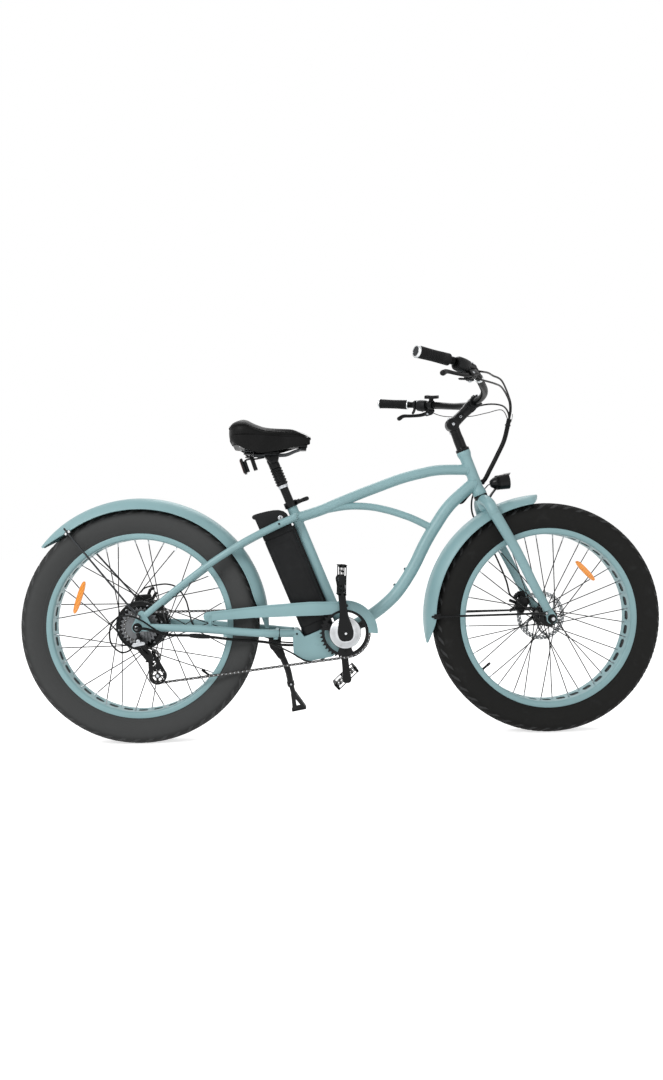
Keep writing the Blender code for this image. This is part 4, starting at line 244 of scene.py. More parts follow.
def plate(outlines, low, high, at=None, u=X, v=Z, w=Y):
    """A flat plate from an outline of (u, v) points and the holes inside it, between two heights along
    w."""
    if isinstance(outlines, np.ndarray) and outlines.ndim == 2:
        outlines = [outlines]
    flat = np.vstack(outlines)
    edges, start = [], 0
    for outline in outlines:
        number = len(outline)
        edges += [(start + i, start + (i + 1) % number) for i in range(number)]
        start += number
    made, _, tris, _, _, _ = geometry.delaunay_2d_cdt([Vector(p) for p in flat.tolist()], edges, [], 2,
        1e-7)
    made = np.array([tuple(p) for p in made])
    middles = np.array([made[list(t)].mean(0) for t in tris])
    tris = [t for t, kept in zip(tris, sum(inside(middles, outline) for outline in outlines) % 2) if kept]
    count = len(made)
    origin = np.zeros(3) if at is None else np.asarray(at, float)
    spread = origin + made[:, :1] * np.asarray(u) + made[:, 1:] * np.asarray(v)
    points = np.vstack([spread + np.asarray(w) * low, spread + np.asarray(w) * high])
    faces = [list(t) for t in tris] + [[i + count for i in reversed(t)] for t in tris]
    used = {}
    for t in tris:
        for a, b in zip(t, list(t[1:]) + [t[0]]):
            used[(a, b)] = used.get((a, b), 0) + 1
    faces += [[b, a, a + count, b + count] for a, b in used if (b, a) not in used]
    return points, faces


def circle(centre, radius, steps=24):
    """A circle's outline."""
    return arc(centre, radius, 0, 360, steps)[:-1]


def sector(r0, r1, start, end, centre=(0, 0)):
    """A window between two radii and two angles."""
    return np.vstack([arc(centre, r1, start, end, 14), arc(centre, r0, end, start, 10)])


def capsule(a, b, radius, other=None, steps=10):
    """The outline round two circles."""
    a, b = np.asarray(a, float), np.asarray(b, float)
    other = radius if other is None else other
    turn = math.degrees(math.atan2(b[1] - a[1], b[0] - a[0]))
    return np.vstack([arc(b, other, turn - 90, turn + 90, steps),
        arc(a, radius, turn + 90, turn + 270, steps)])


def slab(outline, thickness_at, u, v, w, at, edge=0.001):
    """A plate with softened rims: the outline shrunk by edge at both faces."""
    p = np.asarray(outline, float)
    tangent = np.roll(p, -1, 0) - np.roll(p, 1, 0)
    normal = unit(np.stack([tangent[:, 1], -tangent[:, 0]], 1))
    turn = np.sum(p[:, 0] * np.roll(p[:, 1], -1) - p[:, 1] * np.roll(p[:, 0], -1))
    normal *= 1 if turn > 0 else -1
    low, high = thickness_at
    rings = []
    for height, inset in ((low, edge), (low + edge * 0.3, edge * 0.3), (low + edge, 0), (high - edge, 0),
            (high - edge * 0.3, edge * 0.3), (high, edge)):
        q = p - normal * inset
        rings.append(np.asarray(at) + q[:, :1] * np.asarray(u) + q[:, 1:] * np.asarray(v)
            + np.asarray(w) * height)
    return skin(np.array(rings))


def block(centre, half, u=X, v=Y, w=Z, edge=0.0015, corner=0.003):
    """A box with rounded corners in the plane of u and v, and softened rims along w."""
    a, b, c = half
    outline = soft(corners(-a, a, -b, b), corner)
    return slab(outline, (-c, c), u, v, w, centre, edge)


def ball(centre, radius, rows=10, sides=20, squash=(1, 1, 1)):
    """centre + radius (cos a cos b, sin a cos b, sin b), stretched along each axis."""
    b = np.linspace(-np.pi / 2, np.pi / 2, rows)
    a = angles(sides)
    grid = np.stack([np.cos(b)[:, None] * np.cos(a), np.cos(b)[:, None] * np.sin(a),
        np.repeat(np.sin(b)[:, None], sides, 1)], -1)
    return skin(np.asarray(centre) + radius * grid * np.asarray(squash), caps=False)


def copies(shape, places):
    """One shape at each of several 4 by 4 placings, as one set of points and faces."""
    points, faces = shape
    points = np.hstack([points, np.ones((len(points), 1))])
    placed = np.einsum("nij,pj->npi", np.asarray(places, float), points)[..., :3]
    return placed.reshape(-1, 3), [[i + k * len(points) for i in f] for k in range(len(places))
        for f in faces]


def placing(at, way):
    """The placing that takes the origin to at, X to way and Y to Y."""
    m = np.eye(4)
    m[:3, 0], m[:3, 1], m[:3, 2], m[:3, 3] = way, Y, np.cross(way, Y), at
    return m


def bolt_head(at, way, radius=0.004, height=0.0035, socket=True):
    """A round-headed bolt, with a round socket sunk in it unless it is plain."""
    at, way = np.asarray(at, float), unit(way)
    profile = [(radius, 0), (radius, height * 0.6), (radius * 0.86, height * 0.92), (radius * 0.62, height)]
    if socket:
        profile += [(radius * 0.5, height * 0.99), (radius * 0.48, height * 0.4)]
    return turned(profile, at, way, 18)


def hexagon(at, way, radius, height):
    """A nut: a six-sided bar whose top is chamfered."""
    at, way = np.asarray(at, float), unit(way)
    return turned([(radius, 0), (radius, height * 0.82), (radius * 0.86, height)], at, way, 6)


def weld(foot, way, radius, through, axis, wide, bead=0.0024):
    """The bead where a tube runs into a round one: on each line of its surface, foot + radius out + t way,
    t is where the distance from the other tube's axis is that tube's radius."""
    way, axis = unit(way), unit(axis)
    across = unit(np.cross(axis, way))
    other = np.cross(way, across)
    a = angles(48)
    out = radius * (np.cos(a)[:, None] * across + np.sin(a)[:, None] * other)
    p = np.asarray(foot) + out - np.asarray(through)
    p = p - np.sum(p * axis, 1, keepdims=True) * axis
    d = way - np.dot(way, axis) * axis
    b, c = np.sum(p * d, 1), np.sum(p * p, 1) - wide**2
    t = (-b - np.sqrt(np.maximum(b * b - np.dot(d, d) * c, 0))) / np.dot(d, d)
    return tube(np.asarray(foot) + out + t[:, None] * way, bead, 10, across=way, closed=True)


# Pieces


def gather(shapes):
    """Several (points, faces) as one."""
    points, faces, start = [], [], 0
    for more, sides in shapes:
        points.append(np.asarray(more, float))
        faces += [[i + start for i in side] for side in sides]
        start += len(more)
    return np.vstack(points), faces


def piece(name, parts, body, replaces=(), bevel=0.0, sharp=38, segments=2):
    """An object from {finish: [shapes]}, which rides on a body and may stand for CAD nodes."""
    mesh = bpy.data.meshes.new(name)
    points, faces, slots = [], [], []
    for number, (finish, shapes) in enumerate(parts.items()):
        mesh.materials.append(finish)
        more, sides = gather(shapes)
        start = sum(len(p) for p in points)
        points.append(more)
        faces += [[i + start for i in side] for side in sides]
        slots += [number] * len(sides)
    mesh.from_pydata(np.vstack(points).tolist(), [], faces)
    mesh.polygons.foreach_set("material_index", slots)
    work = bmesh.new()
    work.from_mesh(mesh)
    bmesh.ops.recalc_face_normals(work, faces=work.faces)
    work.to_mesh(mesh)
    work.free()
    mesh.shade_smooth()
    mesh.set_sharp_from_angle(angle=math.radians(sharp))
    obj = bpy.data.objects.new(name, mesh)
    bpy.context.scene.collection.objects.link(obj)
    if bevel:
        rim = obj.modifiers.new("rim", "BEVEL")
        rim.width, rim.segments, rim.limit_method = bevel, segments, "ANGLE"
        rim.angle_limit = math.radians(40)
        rim.harden_normals = False
    if body:
        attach(obj, body)
    if replaces:
        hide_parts(*replaces)
    return obj


# Finishes


class Socket:
    """A socket of a finish, on which arithmetic adds Math nodes."""

    def __init__(self, finish, link):
        self.finish, self.link = finish, link

    def maths(self, operation, one, two=0.0):
        return self.finish.node("ShaderNodeMath", {"operation": operation}, {0: one, 1: two})

    def sine(self):
        return self.maths("SINE", self)

    def __add__(self, other):
        return self.maths("ADD", self, other)

    def __sub__(self, other):
        return self.maths("SUBTRACT", self, other)

    def __rsub__(self, other):
        return self.maths("SUBTRACT", other, self)

    def __mul__(self, other):
        return self.maths("MULTIPLY", self, other)

    def __truediv__(self, other):
        return self.maths("DIVIDE", self, other)

    def __pow__(self, other):
        return self.maths("POWER", self, other)

    def __gt__(self, other):
        return self.maths("GREATER_THAN", self, other)

    __radd__, __rmul__ = __add__, __mul__


class Finish:
    """A material under construction. node adds any node and gives one of its outputs."""

    def __init__(self, name, colour, roughness=0.5, **constants):
        self.material = bpy.data.materials.new(name)
        self.material.use_nodes = True
        self.tree = self.material.node_tree
        self.shader = self.tree.nodes["Principled BSDF"]
        self.shader.inputs["Base Color"].default_value = (*colour, 1)
        self.shader.inputs["Roughness"].default_value = roughness
        for socket, value in constants.items():
            self.shader.inputs[socket.replace("_", " ")].default_value = value

    def node(self, kind, settings=None, values=None, out=0):
        made = self.tree.nodes.new(kind)
        for name, value in (settings or {}).items():
            setattr(made, name, value)
        for name, value in (values or {}).items():
            if isinstance(value, Socket):
                self.tree.links.new(value.link, made.inputs[name])
            else:
                made.inputs[name].default_value = value
        return Socket(self, made.outputs[out])

    def put(self, name, value):
        self.tree.links.new(value.link, self.shader.inputs[name])
        return self

    def place(self, scale=(1, 1, 1), turn=(0, 0, 0)):
        where = self.node("ShaderNodeTexCoord", out="Object")
        return self.node("ShaderNodeMapping", {"vector_type": "POINT"},
            {"Vector": where, "Rotation": turn, "Scale": scale})

    def noise(self, scale, detail=3.0, rough=0.55, where=None, stretch=(1, 1, 1)):
        where = where or self.place(stretch)
        return self.node("ShaderNodeTexNoise", {}, {"Vector": where, "Scale": scale, "Detail": detail,
            "Roughness": rough})

    def between(self, share, low, high):
        """A number that goes from low to high as share goes from 0 to 1, and no further."""
        return self.node("ShaderNodeMapRange", {}, {"Value": share, "To Min": low, "To Max": high})

    def step(self, value, start, end):
        """0 below start, 1 above end and smooth between."""
        return self.node("ShaderNodeMapRange", {"interpolation_type": "SMOOTHSTEP"},
            {"Value": value, "From Min": start, "From Max": end})

    def mix(self, share, one, two):
        """A colour between two."""
        one, two = (colour if isinstance(colour, Socket) else (*colour, 1) for colour in (one, two))
        return self.node("ShaderNodeMix", {"data_type": "RGBA"}, {0: share, 6: one, 7: two}, out=2)

    def bump(self, height, strength, distance=0.001):
        return self.put("Normal", self.node("ShaderNodeBump", {}, {"Height": height, "Strength": strength,
            "Distance": distance}))

    def seen(self):
        """1 for what the camera, a mirror or glass looks at."""
        camera, glossy, through = (self.node("ShaderNodeLightPath", out=name)
            for name in ("Is Camera Ray", "Is Glossy Ray", "Is Transmission Ray"))
        return camera.maths("MAXIMUM", camera.maths("MAXIMUM", camera, glossy), through)

    def polar(self, centre):
        """Radius and angle about an axle."""
        where = self.node("ShaderNodeTexCoord", out="Object")
        x, z = (self.node("ShaderNodeSeparateXYZ", {}, {0: where}, out=n) for n in (0, 2))
        x, z = x - float(centre[0]), z - float(centre[2])
        radius = (x * x + z * z) ** 0.5
        return radius, x.maths("ARCTAN2", z, x)


def srgb(code):
    """A colour code as linear numbers."""
    parts = np.array([int(code[i : i + 2], 16) for i in (0, 2, 4)]) / 255
    return tuple(np.where(parts <= 0.04045, parts / 12.92, ((parts + 0.055) / 1.055) ** 2.4).tolist())


def satin_enamel():
    """Matt teal lacquer with a faint orange peel, slow cloudiness and a few dull handling marks."""
    f = Finish("satin_teal_enamel", srgb("8aadb1"), 0.46, Specular_IOR_Level=0.5, Coat_Weight=0.12,
        Coat_Roughness=0.3)
    cloud = f.noise(7.0, 2.0)
    marks = f.step(f.noise(38.0, 6.0, 0.65), 0.6, 0.74)
    colour = f.mix(f.step(cloud, 0.35, 0.7), srgb("87aaae"), srgb("8db1b5"))
    f.put("Base Color", f.mix(marks * 0.25, colour, srgb("7c999d")))
    f.put("Roughness", f.between(cloud, 0.4, 0.5) + marks * 0.07)
    return f.bump(f.noise(900.0, 2.0) + f.noise(240.0, 1.0) * 0.6, 0.1, 0.0005).material


def black_enamel(name="gloss_black_enamel", shade="0d0e0f", rough=0.24, coat=0.05, shine=0.16):
    """Black lacquer on metal: a clear coat over a fine grain, with dust and soft rub marks."""
    f = Finish(name, srgb(shade), rough, Specular_IOR_Level=shine, Coat_Weight=coat, Coat_Roughness=0.1)
    dust = f.step(f.noise(26.0, 5.0, 0.6), 0.5, 0.8)
    f.put("Base Color", f.mix(dust * 0.25, srgb(shade), srgb("26282a")))
    f.put("Roughness", f.between(dust, rough, rough + 0.16))
    return f.bump(f.noise(1100.0, 2.0), 0.06, 0.0004).material


def moulded_black(name="moulded_black", shade="111213", rough=0.44):
    """Moulded nylon: fine spark-eroded grain with slightly polished patches."""
    f = Finish(name, srgb(shade), rough, Specular_IOR_Level=0.18)
    wear = f.step(f.noise(30.0, 4.0), 0.45, 0.75)
    f.put("Base Color", f.mix(wear * 0.3, srgb(shade), srgb("222324")))
    f.put("Roughness", f.between(wear, rough + 0.06, rough - 0.1))
    grain = f.node("ShaderNodeTexVoronoi", {"feature": "SMOOTH_F1"}, {"Vector": f.place(), "Scale": 1500.0})
    return f.bump(grain, 0.12, 0.0003).material


def tyre_rubber(name, centre, side, crown, shine):
    """Black rubber, greyer on the side walls, with moulded rings and fine ribs beside the bead, bloom near
    the tread,
    and a painted highlight: the lugs at the shoulder painted lighter grey."""
    f = Finish(name, srgb(side), 0.66, Specular_IOR_Level=shine)
    radius, angle = f.polar(centre)
    wall = f.step(radius, 0.356, 0.338)
    bloom = f.noise(24.0, 5.0, 0.6)
    colour = f.mix(wall, srgb(crown), srgb(side))
    shoulder = f.step(radius, 0.349, 0.3505) - f.step(radius, 0.36, 0.364)
    lugs_and_highlight = f.step((angle * 52.0 + radius * 260.0).sine(), 0.35, 0.65) * shoulder
    # The shoulder lugs are painted lighter grey, a painted highlight on the tread; the patches of bloom are
    # the rubber's own.
    f.put("Base Color", f.mix(f.step(bloom, 0.5, 0.85) * 0.12 + lugs_and_highlight * 0.35, colour, srgb("5c5d5e")))
    f.put("Roughness", f.between(bloom, 0.66, 0.84))
    ring = (f.step(radius, 0.2945, 0.2955) - f.step(radius, 0.2975, 0.2985) + f.step(radius, 0.3015,
        0.3022) * 0.5 - f.step(radius, 0.303, 0.3037) * 0.5)
    flank = f.step(radius, 0.3365, 0.3375) - f.step(radius, 0.3465, 0.3475)
    ribs = (angle * 720.0).sine() * flank * 0.25
    return f.bump(ring + ribs + lugs_and_highlight * 2.4 + f.noise(700.0, 3.0) * 0.4, 0.55, 0.001).material


def bare_steel(name="bare_steel", shade="b9bcbf", rough=0.28, turn=None):
    """Ground steel: faint lines from the grinding and cloudy tarnish."""
    f = Finish(name, srgb(shade), rough, Metallic=1.0)
    tarnish = f.step(f.noise(60.0, 5.0), 0.42, 0.75)
    f.put("Base Color", f.mix(tarnish * 0.25, srgb(shade), tuple(0.4 * part for part in srgb(shade))))
    f.put("Roughness", f.between(tarnish, rough, rough + 0.2))
    if turn is None:
        lines = f.noise(400.0, 2.0, where=f.place((1, 6, 1)))
    else:
        radius, _ = f.polar(turn)
        lines = f.node("ShaderNodeTexNoise", {"noise_dimensions": "1D"},
            {"W": radius * 3000.0, "Scale": 1.0, "Detail": 2.0})
    return f.bump(lines, 0.12, 0.0003).material


def oiled_steel():
    """Dark oiled chain steel, brighter where it rubs."""
    f = Finish("oiled_chain_steel", srgb("4a4948"), 0.36, Metallic=1.0)
    grime = f.step(f.noise(180.0, 4.0), 0.4, 0.66)
    f.put("Base Color", f.mix(grime, srgb("5d5c5b"), srgb("232323")))
    f.put("Roughness", f.between(grime, 0.3, 0.62))
    return f.bump(f.noise(900.0, 2.0), 0.1, 0.0003).material


def saddle_vinyl():
    """Grained black vinyl: two sizes of cells with sheen, worn smoother on the crown."""
    f = Finish("grained_vinyl", srgb("1a1a1a"), 0.42, Specular_IOR_Level=0.07)
    cells = f.node("ShaderNodeTexVoronoi", {"feature": "DISTANCE_TO_EDGE"},
        {"Vector": f.place(), "Scale": 620.0, "Randomness": 1.0})
    crease = f.step(cells, 0.0, 0.25)
    wear = f.noise(18.0, 4.0)
    f.put("Base Color", f.mix(f.step(wear, 0.4, 0.75) * 0.5, srgb("1b1b1b"), srgb("262626")))
    f.put("Roughness", f.between(wear, 0.34, 0.46) + (1 - crease) * 0.08)
    return f.bump(crease + f.noise(260.0, 3.0) * 0.5, 0.12, 0.0004).material


def prisms(name, shade, rough, coat, light, dark, painted_glow=()):
    """Reflector plastic: a lattice of small prisms under a clear face, and, when glow colours are given, a
    faint painted glow.
    """
    f = Finish(name, srgb(shade), rough, Coat_Weight=coat, Coat_Roughness=0.06)
    cells = f.node("ShaderNodeTexVoronoi", {"feature": "F1", "distance": "CHEBYCHEV"},
        {"Vector": f.place(turn=(0.5, 0.6, 0.4)), "Scale": 330.0, "Randomness": 0.15})
    facets = f.step(cells, 0.15, 0.6)
    f.put("Base Color", f.mix(facets, srgb(light), srgb(dark)))
    if painted_glow:
        # A painted glow: the lens is made to shine faintly though it is no lamp.
        f.put("Emission Color", f.mix(facets, *map(srgb, painted_glow)))
        f.shader.inputs["Emission Strength"].default_value = 0.28
    return f.bump(cells, 0.5, 0.0008).material


def cable_jacket(name="cable_jacket", shade="0f1010", rough=0.3):
    """Extruded casing: smooth and slightly glossy, with faint length-wise unevenness."""
    f = Finish(name, srgb(shade), rough, Specular_IOR_Level=0.12)
    uneven = f.noise(70.0, 3.0)
    f.put("Base Color", f.mix(f.step(uneven, 0.45, 0.8) * 0.3, srgb(shade), srgb("2c2d2d")))
    f.put("Roughness", f.between(uneven, rough - 0.06, rough + 0.14))
    return f.bump(f.noise(420.0, 2.0, stretch=(1, 1, 0.25)), 0.12, 0.0004).material


def grip_rubber():
    """Soft grip rubber: matt, with a fine pebble and lighter rubbed places."""
    f = Finish("grip_rubber", srgb("171718"), 0.62, Specular_IOR_Level=0.2)
    rubbed = f.step(f.noise(34.0, 4.0), 0.45, 0.8)
    f.put("Base Color", f.mix(rubbed * 0.5, srgb("151516"), srgb("2a2a2b")))
    f.put("Roughness", f.between(rubbed, 0.76, 0.6))
    pebble = f.node("ShaderNodeTexVoronoi", {"feature": "F1"}, {"Vector": f.place(), "Scale": 900.0})
    return f.bump(pebble, 0.35, 0.0004).material


def lamp_glass():
    """The lamp's clear lens, with its ribs."""
    f = Finish("lamp_lens", (0.85, 0.87, 0.88), 0.06, Transmission_Weight=0.85, IOR=1.49)
    f.put("Roughness", f.between(f.noise(40.0), 0.04, 0.12))
    ribs = f.node("ShaderNodeTexWave", {"wave_type": "BANDS", "bands_direction": "Y"},
        {"Vector": f.place(), "Scale": 90.0})
    return f.bump(ribs, 0.4, 0.0008).material


def screen_glass():
    """The blank display: dark glass over a faint grid."""
    f = Finish("blank_display", srgb("0c0e10"), 0.12, Coat_Weight=1.0, Coat_Roughness=0.03)
    f.put("Base Color", f.mix(f.noise(120.0), srgb("0a0c0d"), srgb("15181a")))
    f.put("Roughness", f.between(f.noise(30.0), 0.08, 0.2))
    return f.material


TEAL = satin_enamel()
BLACK_GLOSS = black_enamel()
BLACK_SATIN = black_enamel("satin_black_enamel", "0f1011", 0.34, 0.0, 0.18)
BAR_BLACK = black_enamel("bar_black_enamel", "0d0e0e", 0.28, 0.0, 0.06)
NYLON = moulded_black()
CASE = moulded_black("textured_case_black", "161718", 0.5)
# The rear tyre's rubber is the front tyre's rubber painted lighter grey: painted light on the same rubber.
REAR_RUBBER_PAINTED_LIT = tyre_rubber("rear_tyre_rubber_painted_lit", REAR, "3e3f3f", "262727", 0.3)
FRONT_RUBBER = tyre_rubber("front_tyre_rubber", FRONT, "1b1b1a", "131312", 0.16)
STEEL = bare_steel()
BRIGHT = bare_steel("bright_alloy", "d9dbdc", 0.22)
DARK_STEEL = bare_steel("dark_plated_steel", "3f4143", 0.3)
FACE_ALLOY = bare_steel("turned_face_alloy", "c6c8ca", 0.34, BRACKET)
COG_STEEL = bare_steel("dull_cog_steel", "6c6e70", 0.34)
# The discs are one steel at two shades, the front one painted darker than the rear: painted shade.
REAR_DISC_STEEL_LIT = bare_steel("rear_disc_steel_painted_lighter", "8a8d8f", 0.26, REAR)
FRONT_DISC_STEEL_SHADED = bare_steel("front_disc_steel_painted_darker", "707375", 0.26, FRONT)
OILED = oiled_steel()
VINYL = saddle_vinyl()
# The amber reflectors get a faint painted glow.
AMBER = prisms("amber_prisms", "e08a14", 0.25, 0.7, "f5a21c", "c96a08", ("f09a1a", "a04c00"))
# The red lens is painted nearly black: painted shade under the saddle.
RED_SHADED = prisms("red_prisms_painted_shade", "4a0d0c", 0.2, 0.3, "5a0f0d", "2c0706")
CABLE = cable_jacket()
SLEEVE_CASING = cable_jacket("braided_sleeve", "101111", 0.34)
GRIP = grip_rubber()
LENS = lamp_glass()
DISPLAY = screen_glass()


# Frame

DOWN = spline([HEAD_FOOT + STEER * 0.044, (0.338, 0, 0.733), (0.288, 0, 0.664), (0.254, 0, 0.608),
    (0.22, 0, 0.541), (0.188, 0, 0.489), (0.155, 0, 0.446), (0.118, 0, 0.412), (0.078, 0, 0.383),
    (0.036, 0, 0.357), BRACKET], 10)
TOP = spline([seat_point(0.3885), (-0.081, 0, 0.7195), (-0.018, 0, 0.745), (0.045, 0, 0.77),
    (0.113, 0, 0.795), (0.178, 0, 0.818), (0.242, 0, 0.8345), (0.307, 0, 0.8455),
    HEAD_FOOT + STEER * 0.086], 10)
ARCH = spline([(-0.097, 0, 0.7125), (-0.05, 0, 0.7242), (0.012, 0, 0.7325), (0.078, 0, 0.73),
    (0.135, 0, 0.7185), (0.185, 0, 0.7025), (0.224, 0, 0.687), (0.285, 0, 0.656)], 10)


def seat_stay(side):
    at = seat_point(0.392)
    return spline([(at[0] - 0.004, side * 0.0535, at[2] - 0.001), (-0.215, side * 0.0555, 0.6745),
        (-0.29, side * 0.072, 0.6385), (-0.345, side * 0.078, 0.608), (-0.43, side * 0.0805, 0.554),
        (-0.53, side * 0.085, 0.479), (-0.622, side * 0.09, 0.404)], 8)


def chain_stay(side):
    return spline([(-0.172, side * 0.0335, 0.3345), (-0.205, side * 0.048, 0.3365),
        (-0.255, side * 0.072, 0.34), (-0.336, side * 0.078, 0.347), (-0.458, side * 0.083, 0.359),
        (-0.545, side * 0.0875, 0.364), (-0.612, side * 0.09, 0.3672)], 8)


def flattened(count):
    """The stays are squeezed flat over their last part."""
    share = np.linspace(0, 1, count)
    return 0.95 - 0.42 * limited((share - 0.7) / 0.3)


def joint(line, number, end, radius, *other):
    """The bead at one end of a bent tube, from the direction of its last stretch."""
    return weld(line[number], unit(line[end] - line[number]), radius, *other)


def make_main_tubes():
    piece("top_tube_and_arch", {TEAL: [tube(TOP, TOP_TUBE, 40), tube(ARCH, ARCH_TUBE, 32),
        joint(TOP, -8, -1, TOP_TUBE, HEAD_FOOT, STEER, HEAD_TUBE), joint(TOP, 8, 0, TOP_TUBE, BRACKET, SEAT,
        SEAT_TUBE), joint(ARCH, -14, -1, ARCH_TUBE, (0.266, 0, 0.6315), unit((0.052, 0, 0.083)), 0.0195,
        0.0018)]}, "frame", ["top_tube"])
    bosses = []
    for number in (44, 55):
        way = unit(DOWN[number + 1] - DOWN[number - 1])
        up = np.array([way[2], 0, -way[0]]) * (1 if -way[0] > 0 else -1)
        bosses += [rod(DOWN[number], DOWN[number] + up * 0.0222, 0.0055, 18, edge=0.0008)]
        bosses += [bolt_head(DOWN[number] + up * 0.0222, up, 0.0036, 0.0026)]
    piece("down_tube_bent", {TEAL: [tube(DOWN, DOWN_TUBE, 40), *bosses[::2],
        joint(DOWN, 12, 0, DOWN_TUBE, HEAD_FOOT, STEER, HEAD_TUBE), joint(DOWN, -14, -1, DOWN_TUBE, BRACKET,
        Y, SHELL)], BLACK_SATIN: bosses[1::2]}, "frame", ["down_tube"])
    flare = [(0.0138, 0.0), (0.0215, 0.0), (0.0221, 0.0012), (0.0221, 0.011), (0.0205, 0.016),
        (0.0187, 0.022), (0.0185, 0.03), (0.0185, 0.12), (0.0187, 0.128), (0.0205, 0.134), (0.0221, 0.139),
        (0.0221, 0.1488), (0.0215, 0.15), (0.0138, 0.15)]
    piece("head_tube_flared", {TEAL: [turned(flare, HEAD_FOOT, STEER, 56, closed=True)]}, "frame",
        ["head_tube"])
    shell = rounded(corners(0.01, 0.0215, -0.05, 0.05), 0.0012)
    post = [(0.0142, 0.444), (0.016, 0.444), (SEAT_TUBE, 0.4434), (SEAT_TUBE, 0.004), (0.0142, 0.004)]
    cups = [lathe([(0.01, 0.0485), (0.0205, 0.0485), (0.0205, 0.0512), (0.0125, 0.052), (0.01, 0.052)],
        0.0006, BRACKET, side * Y, 40) for side in (1, -1)]
    rail = [[seat_point(a, back, y) for back, y in ((0.01, -0.006), (0.0218, -0.006), (0.0286, -0.01),
        (0.0286, 0.01), (0.0218, 0.006), (0.01, 0.006))] for a in (0.052, 0.372)]
    piece("seat_tube_and_shell", {TEAL: [turned(shell, BRACKET, Y, 56, closed=True),
        turned(post, BRACKET, SEAT, 40, closed=True), weld(seat_point(0.06), -SEAT, SEAT_TUBE, BRACKET, Y,
        SHELL)], BLACK_SATIN: cups + [skin(np.array(rail))]}, "frame", ["seat_tube"])


def stub(at, way, out, length=0.013):
    """A cable guide: a short barrel welded under a stay."""
    way, out = unit(way), unit(out)
    middle, reach = at + out * 0.004, way * length / 2
    return rod(middle - reach, middle + reach, 0.0046, 16, edge=0.0006)


def make_stays():
    parts = []
    for side in (LEFT, RIGHT):
        line = seat_stay(side)
        parts.append(tube(line, np.linspace(0.0121, 0.0096, len(line)), 32, flattened(len(line))))
        parts.append(stub(line[14] + Z * 0.0005, line[15] - line[13], (0, side * 0.9, -0.5), 0.01))
    at = seat_point(0.392) - X * 0.006
    parts += [rod(at - Y * 0.0535, at + Y * 0.0535, 0.009, 24),
        rod((-0.3005, -0.073, 0.6325), (-0.3005, 0.073, 0.6325), 0.0075, 24)]
    for y in (-1, 1):
        parts.append(weld(at + Y * y * 0.03, -Y * y, 0.009, BRACKET, SEAT, SEAT_TUBE, 0.0018))
        parts.append(ball(at + Y * y * 0.0535, 0.0118, 10, 20))
    piece("seat_stays_pair", {TEAL: parts,
        BLACK_SATIN: [bolt_head((-0.2115, y * 0.0655, 0.6775), (0, y, 0.15), 0.0034, 0.0024)
        for y in (-1, 1)]}, "frame", ["seat_stays"])
    parts = []
    cx, cz = REAR[0], REAR[2]
    for side in (LEFT, RIGHT):
        line = chain_stay(side)
        parts.append(tube(line, np.linspace(0.01265, 0.01127, len(line)), 32, flattened(len(line))))
        plate_line = np.vstack([[(cx + 0.04, cz + 0.011)], arc((cx + 0.013, cz + 0.04), 0.011, 30, 170, 8),
            arc((cx, cz), 0.0165, 150, 255, 10), [(cx - 0.0066, cz - 0.0165), (cx - 0.0066, cz)],
            arc((cx, cz), 0.0066, 180, 0, 10), [(cx + 0.0066, cz), (cx + 0.0066, cz - 0.0165)],
            arc((cx, cz), 0.0165, 290, 320, 4), [(cx + 0.04, cz - 0.011)]])
        low, high = sorted((side * 0.0875, side * 0.0935))
        parts.append(plate(plate_line, low, high))
    parts.append(rod((-0.222, -0.058, 0.3375), (-0.222, 0.058, 0.3375), 0.0075, 24))
    x, z = -0.23, 0.287
    tab = np.vstack([[(x + 0.022, 0.337), (x - 0.02, 0.339), (x - 0.0215, z + 0.008)],
        arc((x, z), 0.0185, 200, 340, 10), [(x + 0.019, z + 0.008)]])
    stand_plate = [slab(tab, (0.0515, 0.06), X, Z, Y, (0, 0, 0), 0.0016),
        bolt_head((x, 0.0515, z), -Y, 0.0075, 0.0035), bolt_head((x + 0.004, 0.0515, z + 0.03), -Y, 0.0042,
        0.0025)]
    brake = np.array([(cx - 0.004, cz + 0.01), (cx + 0.012, cz + 0.03), (cx + 0.006, cz + 0.088),
        (cx - 0.022, cz + 0.088), (cx - 0.02, cz + 0.06)])
    parts.append(plate(soft(brake, 0.006, 4), 0.0875, 0.0905))
    line = chain_stay(RIGHT)
    for number in (12, 27):
        parts.append(stub(line[number] - Z * 0.0105, line[number + 1] - line[number - 1], (0, -0.2, -1)))
    a = np.linspace(0, 6.28, 24, endpoint=False)
    loop = 0.0148 * np.stack([np.zeros(24), np.cos(a) * 0.86, np.sin(a) - 0.12], 1)
    ties = [tube(line[10] + loop, 0.0016, 8, across=X, closed=True)]
    piece("chain_stays_pair", {TEAL: parts, NYLON: ties, BLACK_SATIN: stand_plate}, "frame",
        ["chain_stays"], bevel=0.0007)


def make_controller():
    low, high = seat_point(0.0357, 0.1225), seat_point(0.0357, 0.03)
    outline = np.vstack([arc((-0.1605, 0.333), 0.013, 190, 40, 8),
        [(low[0], low[2]), (high[0], high[2]), (-0.02, 0.35), (-0.018, 0.287), (-0.05, 0.26)],
        arc((-0.13, 0.272), 0.0265, 290, 225, 6), [(-0.165, 0.262), (-0.1715, 0.27)]])
    side = plate(soft(outline, 0.003, 4), -0.044, 0.044)
    screws = [bolt_head((-0.1605, y * 0.044, 0.333), Y * y, 0.0032, 0.0022) for y in (-1, 1)]
    piece("controller_box", {TEAL: [side], BLACK_SATIN: screws}, "frame", ["controller_housing"],
        bevel=0.0022, segments=3)


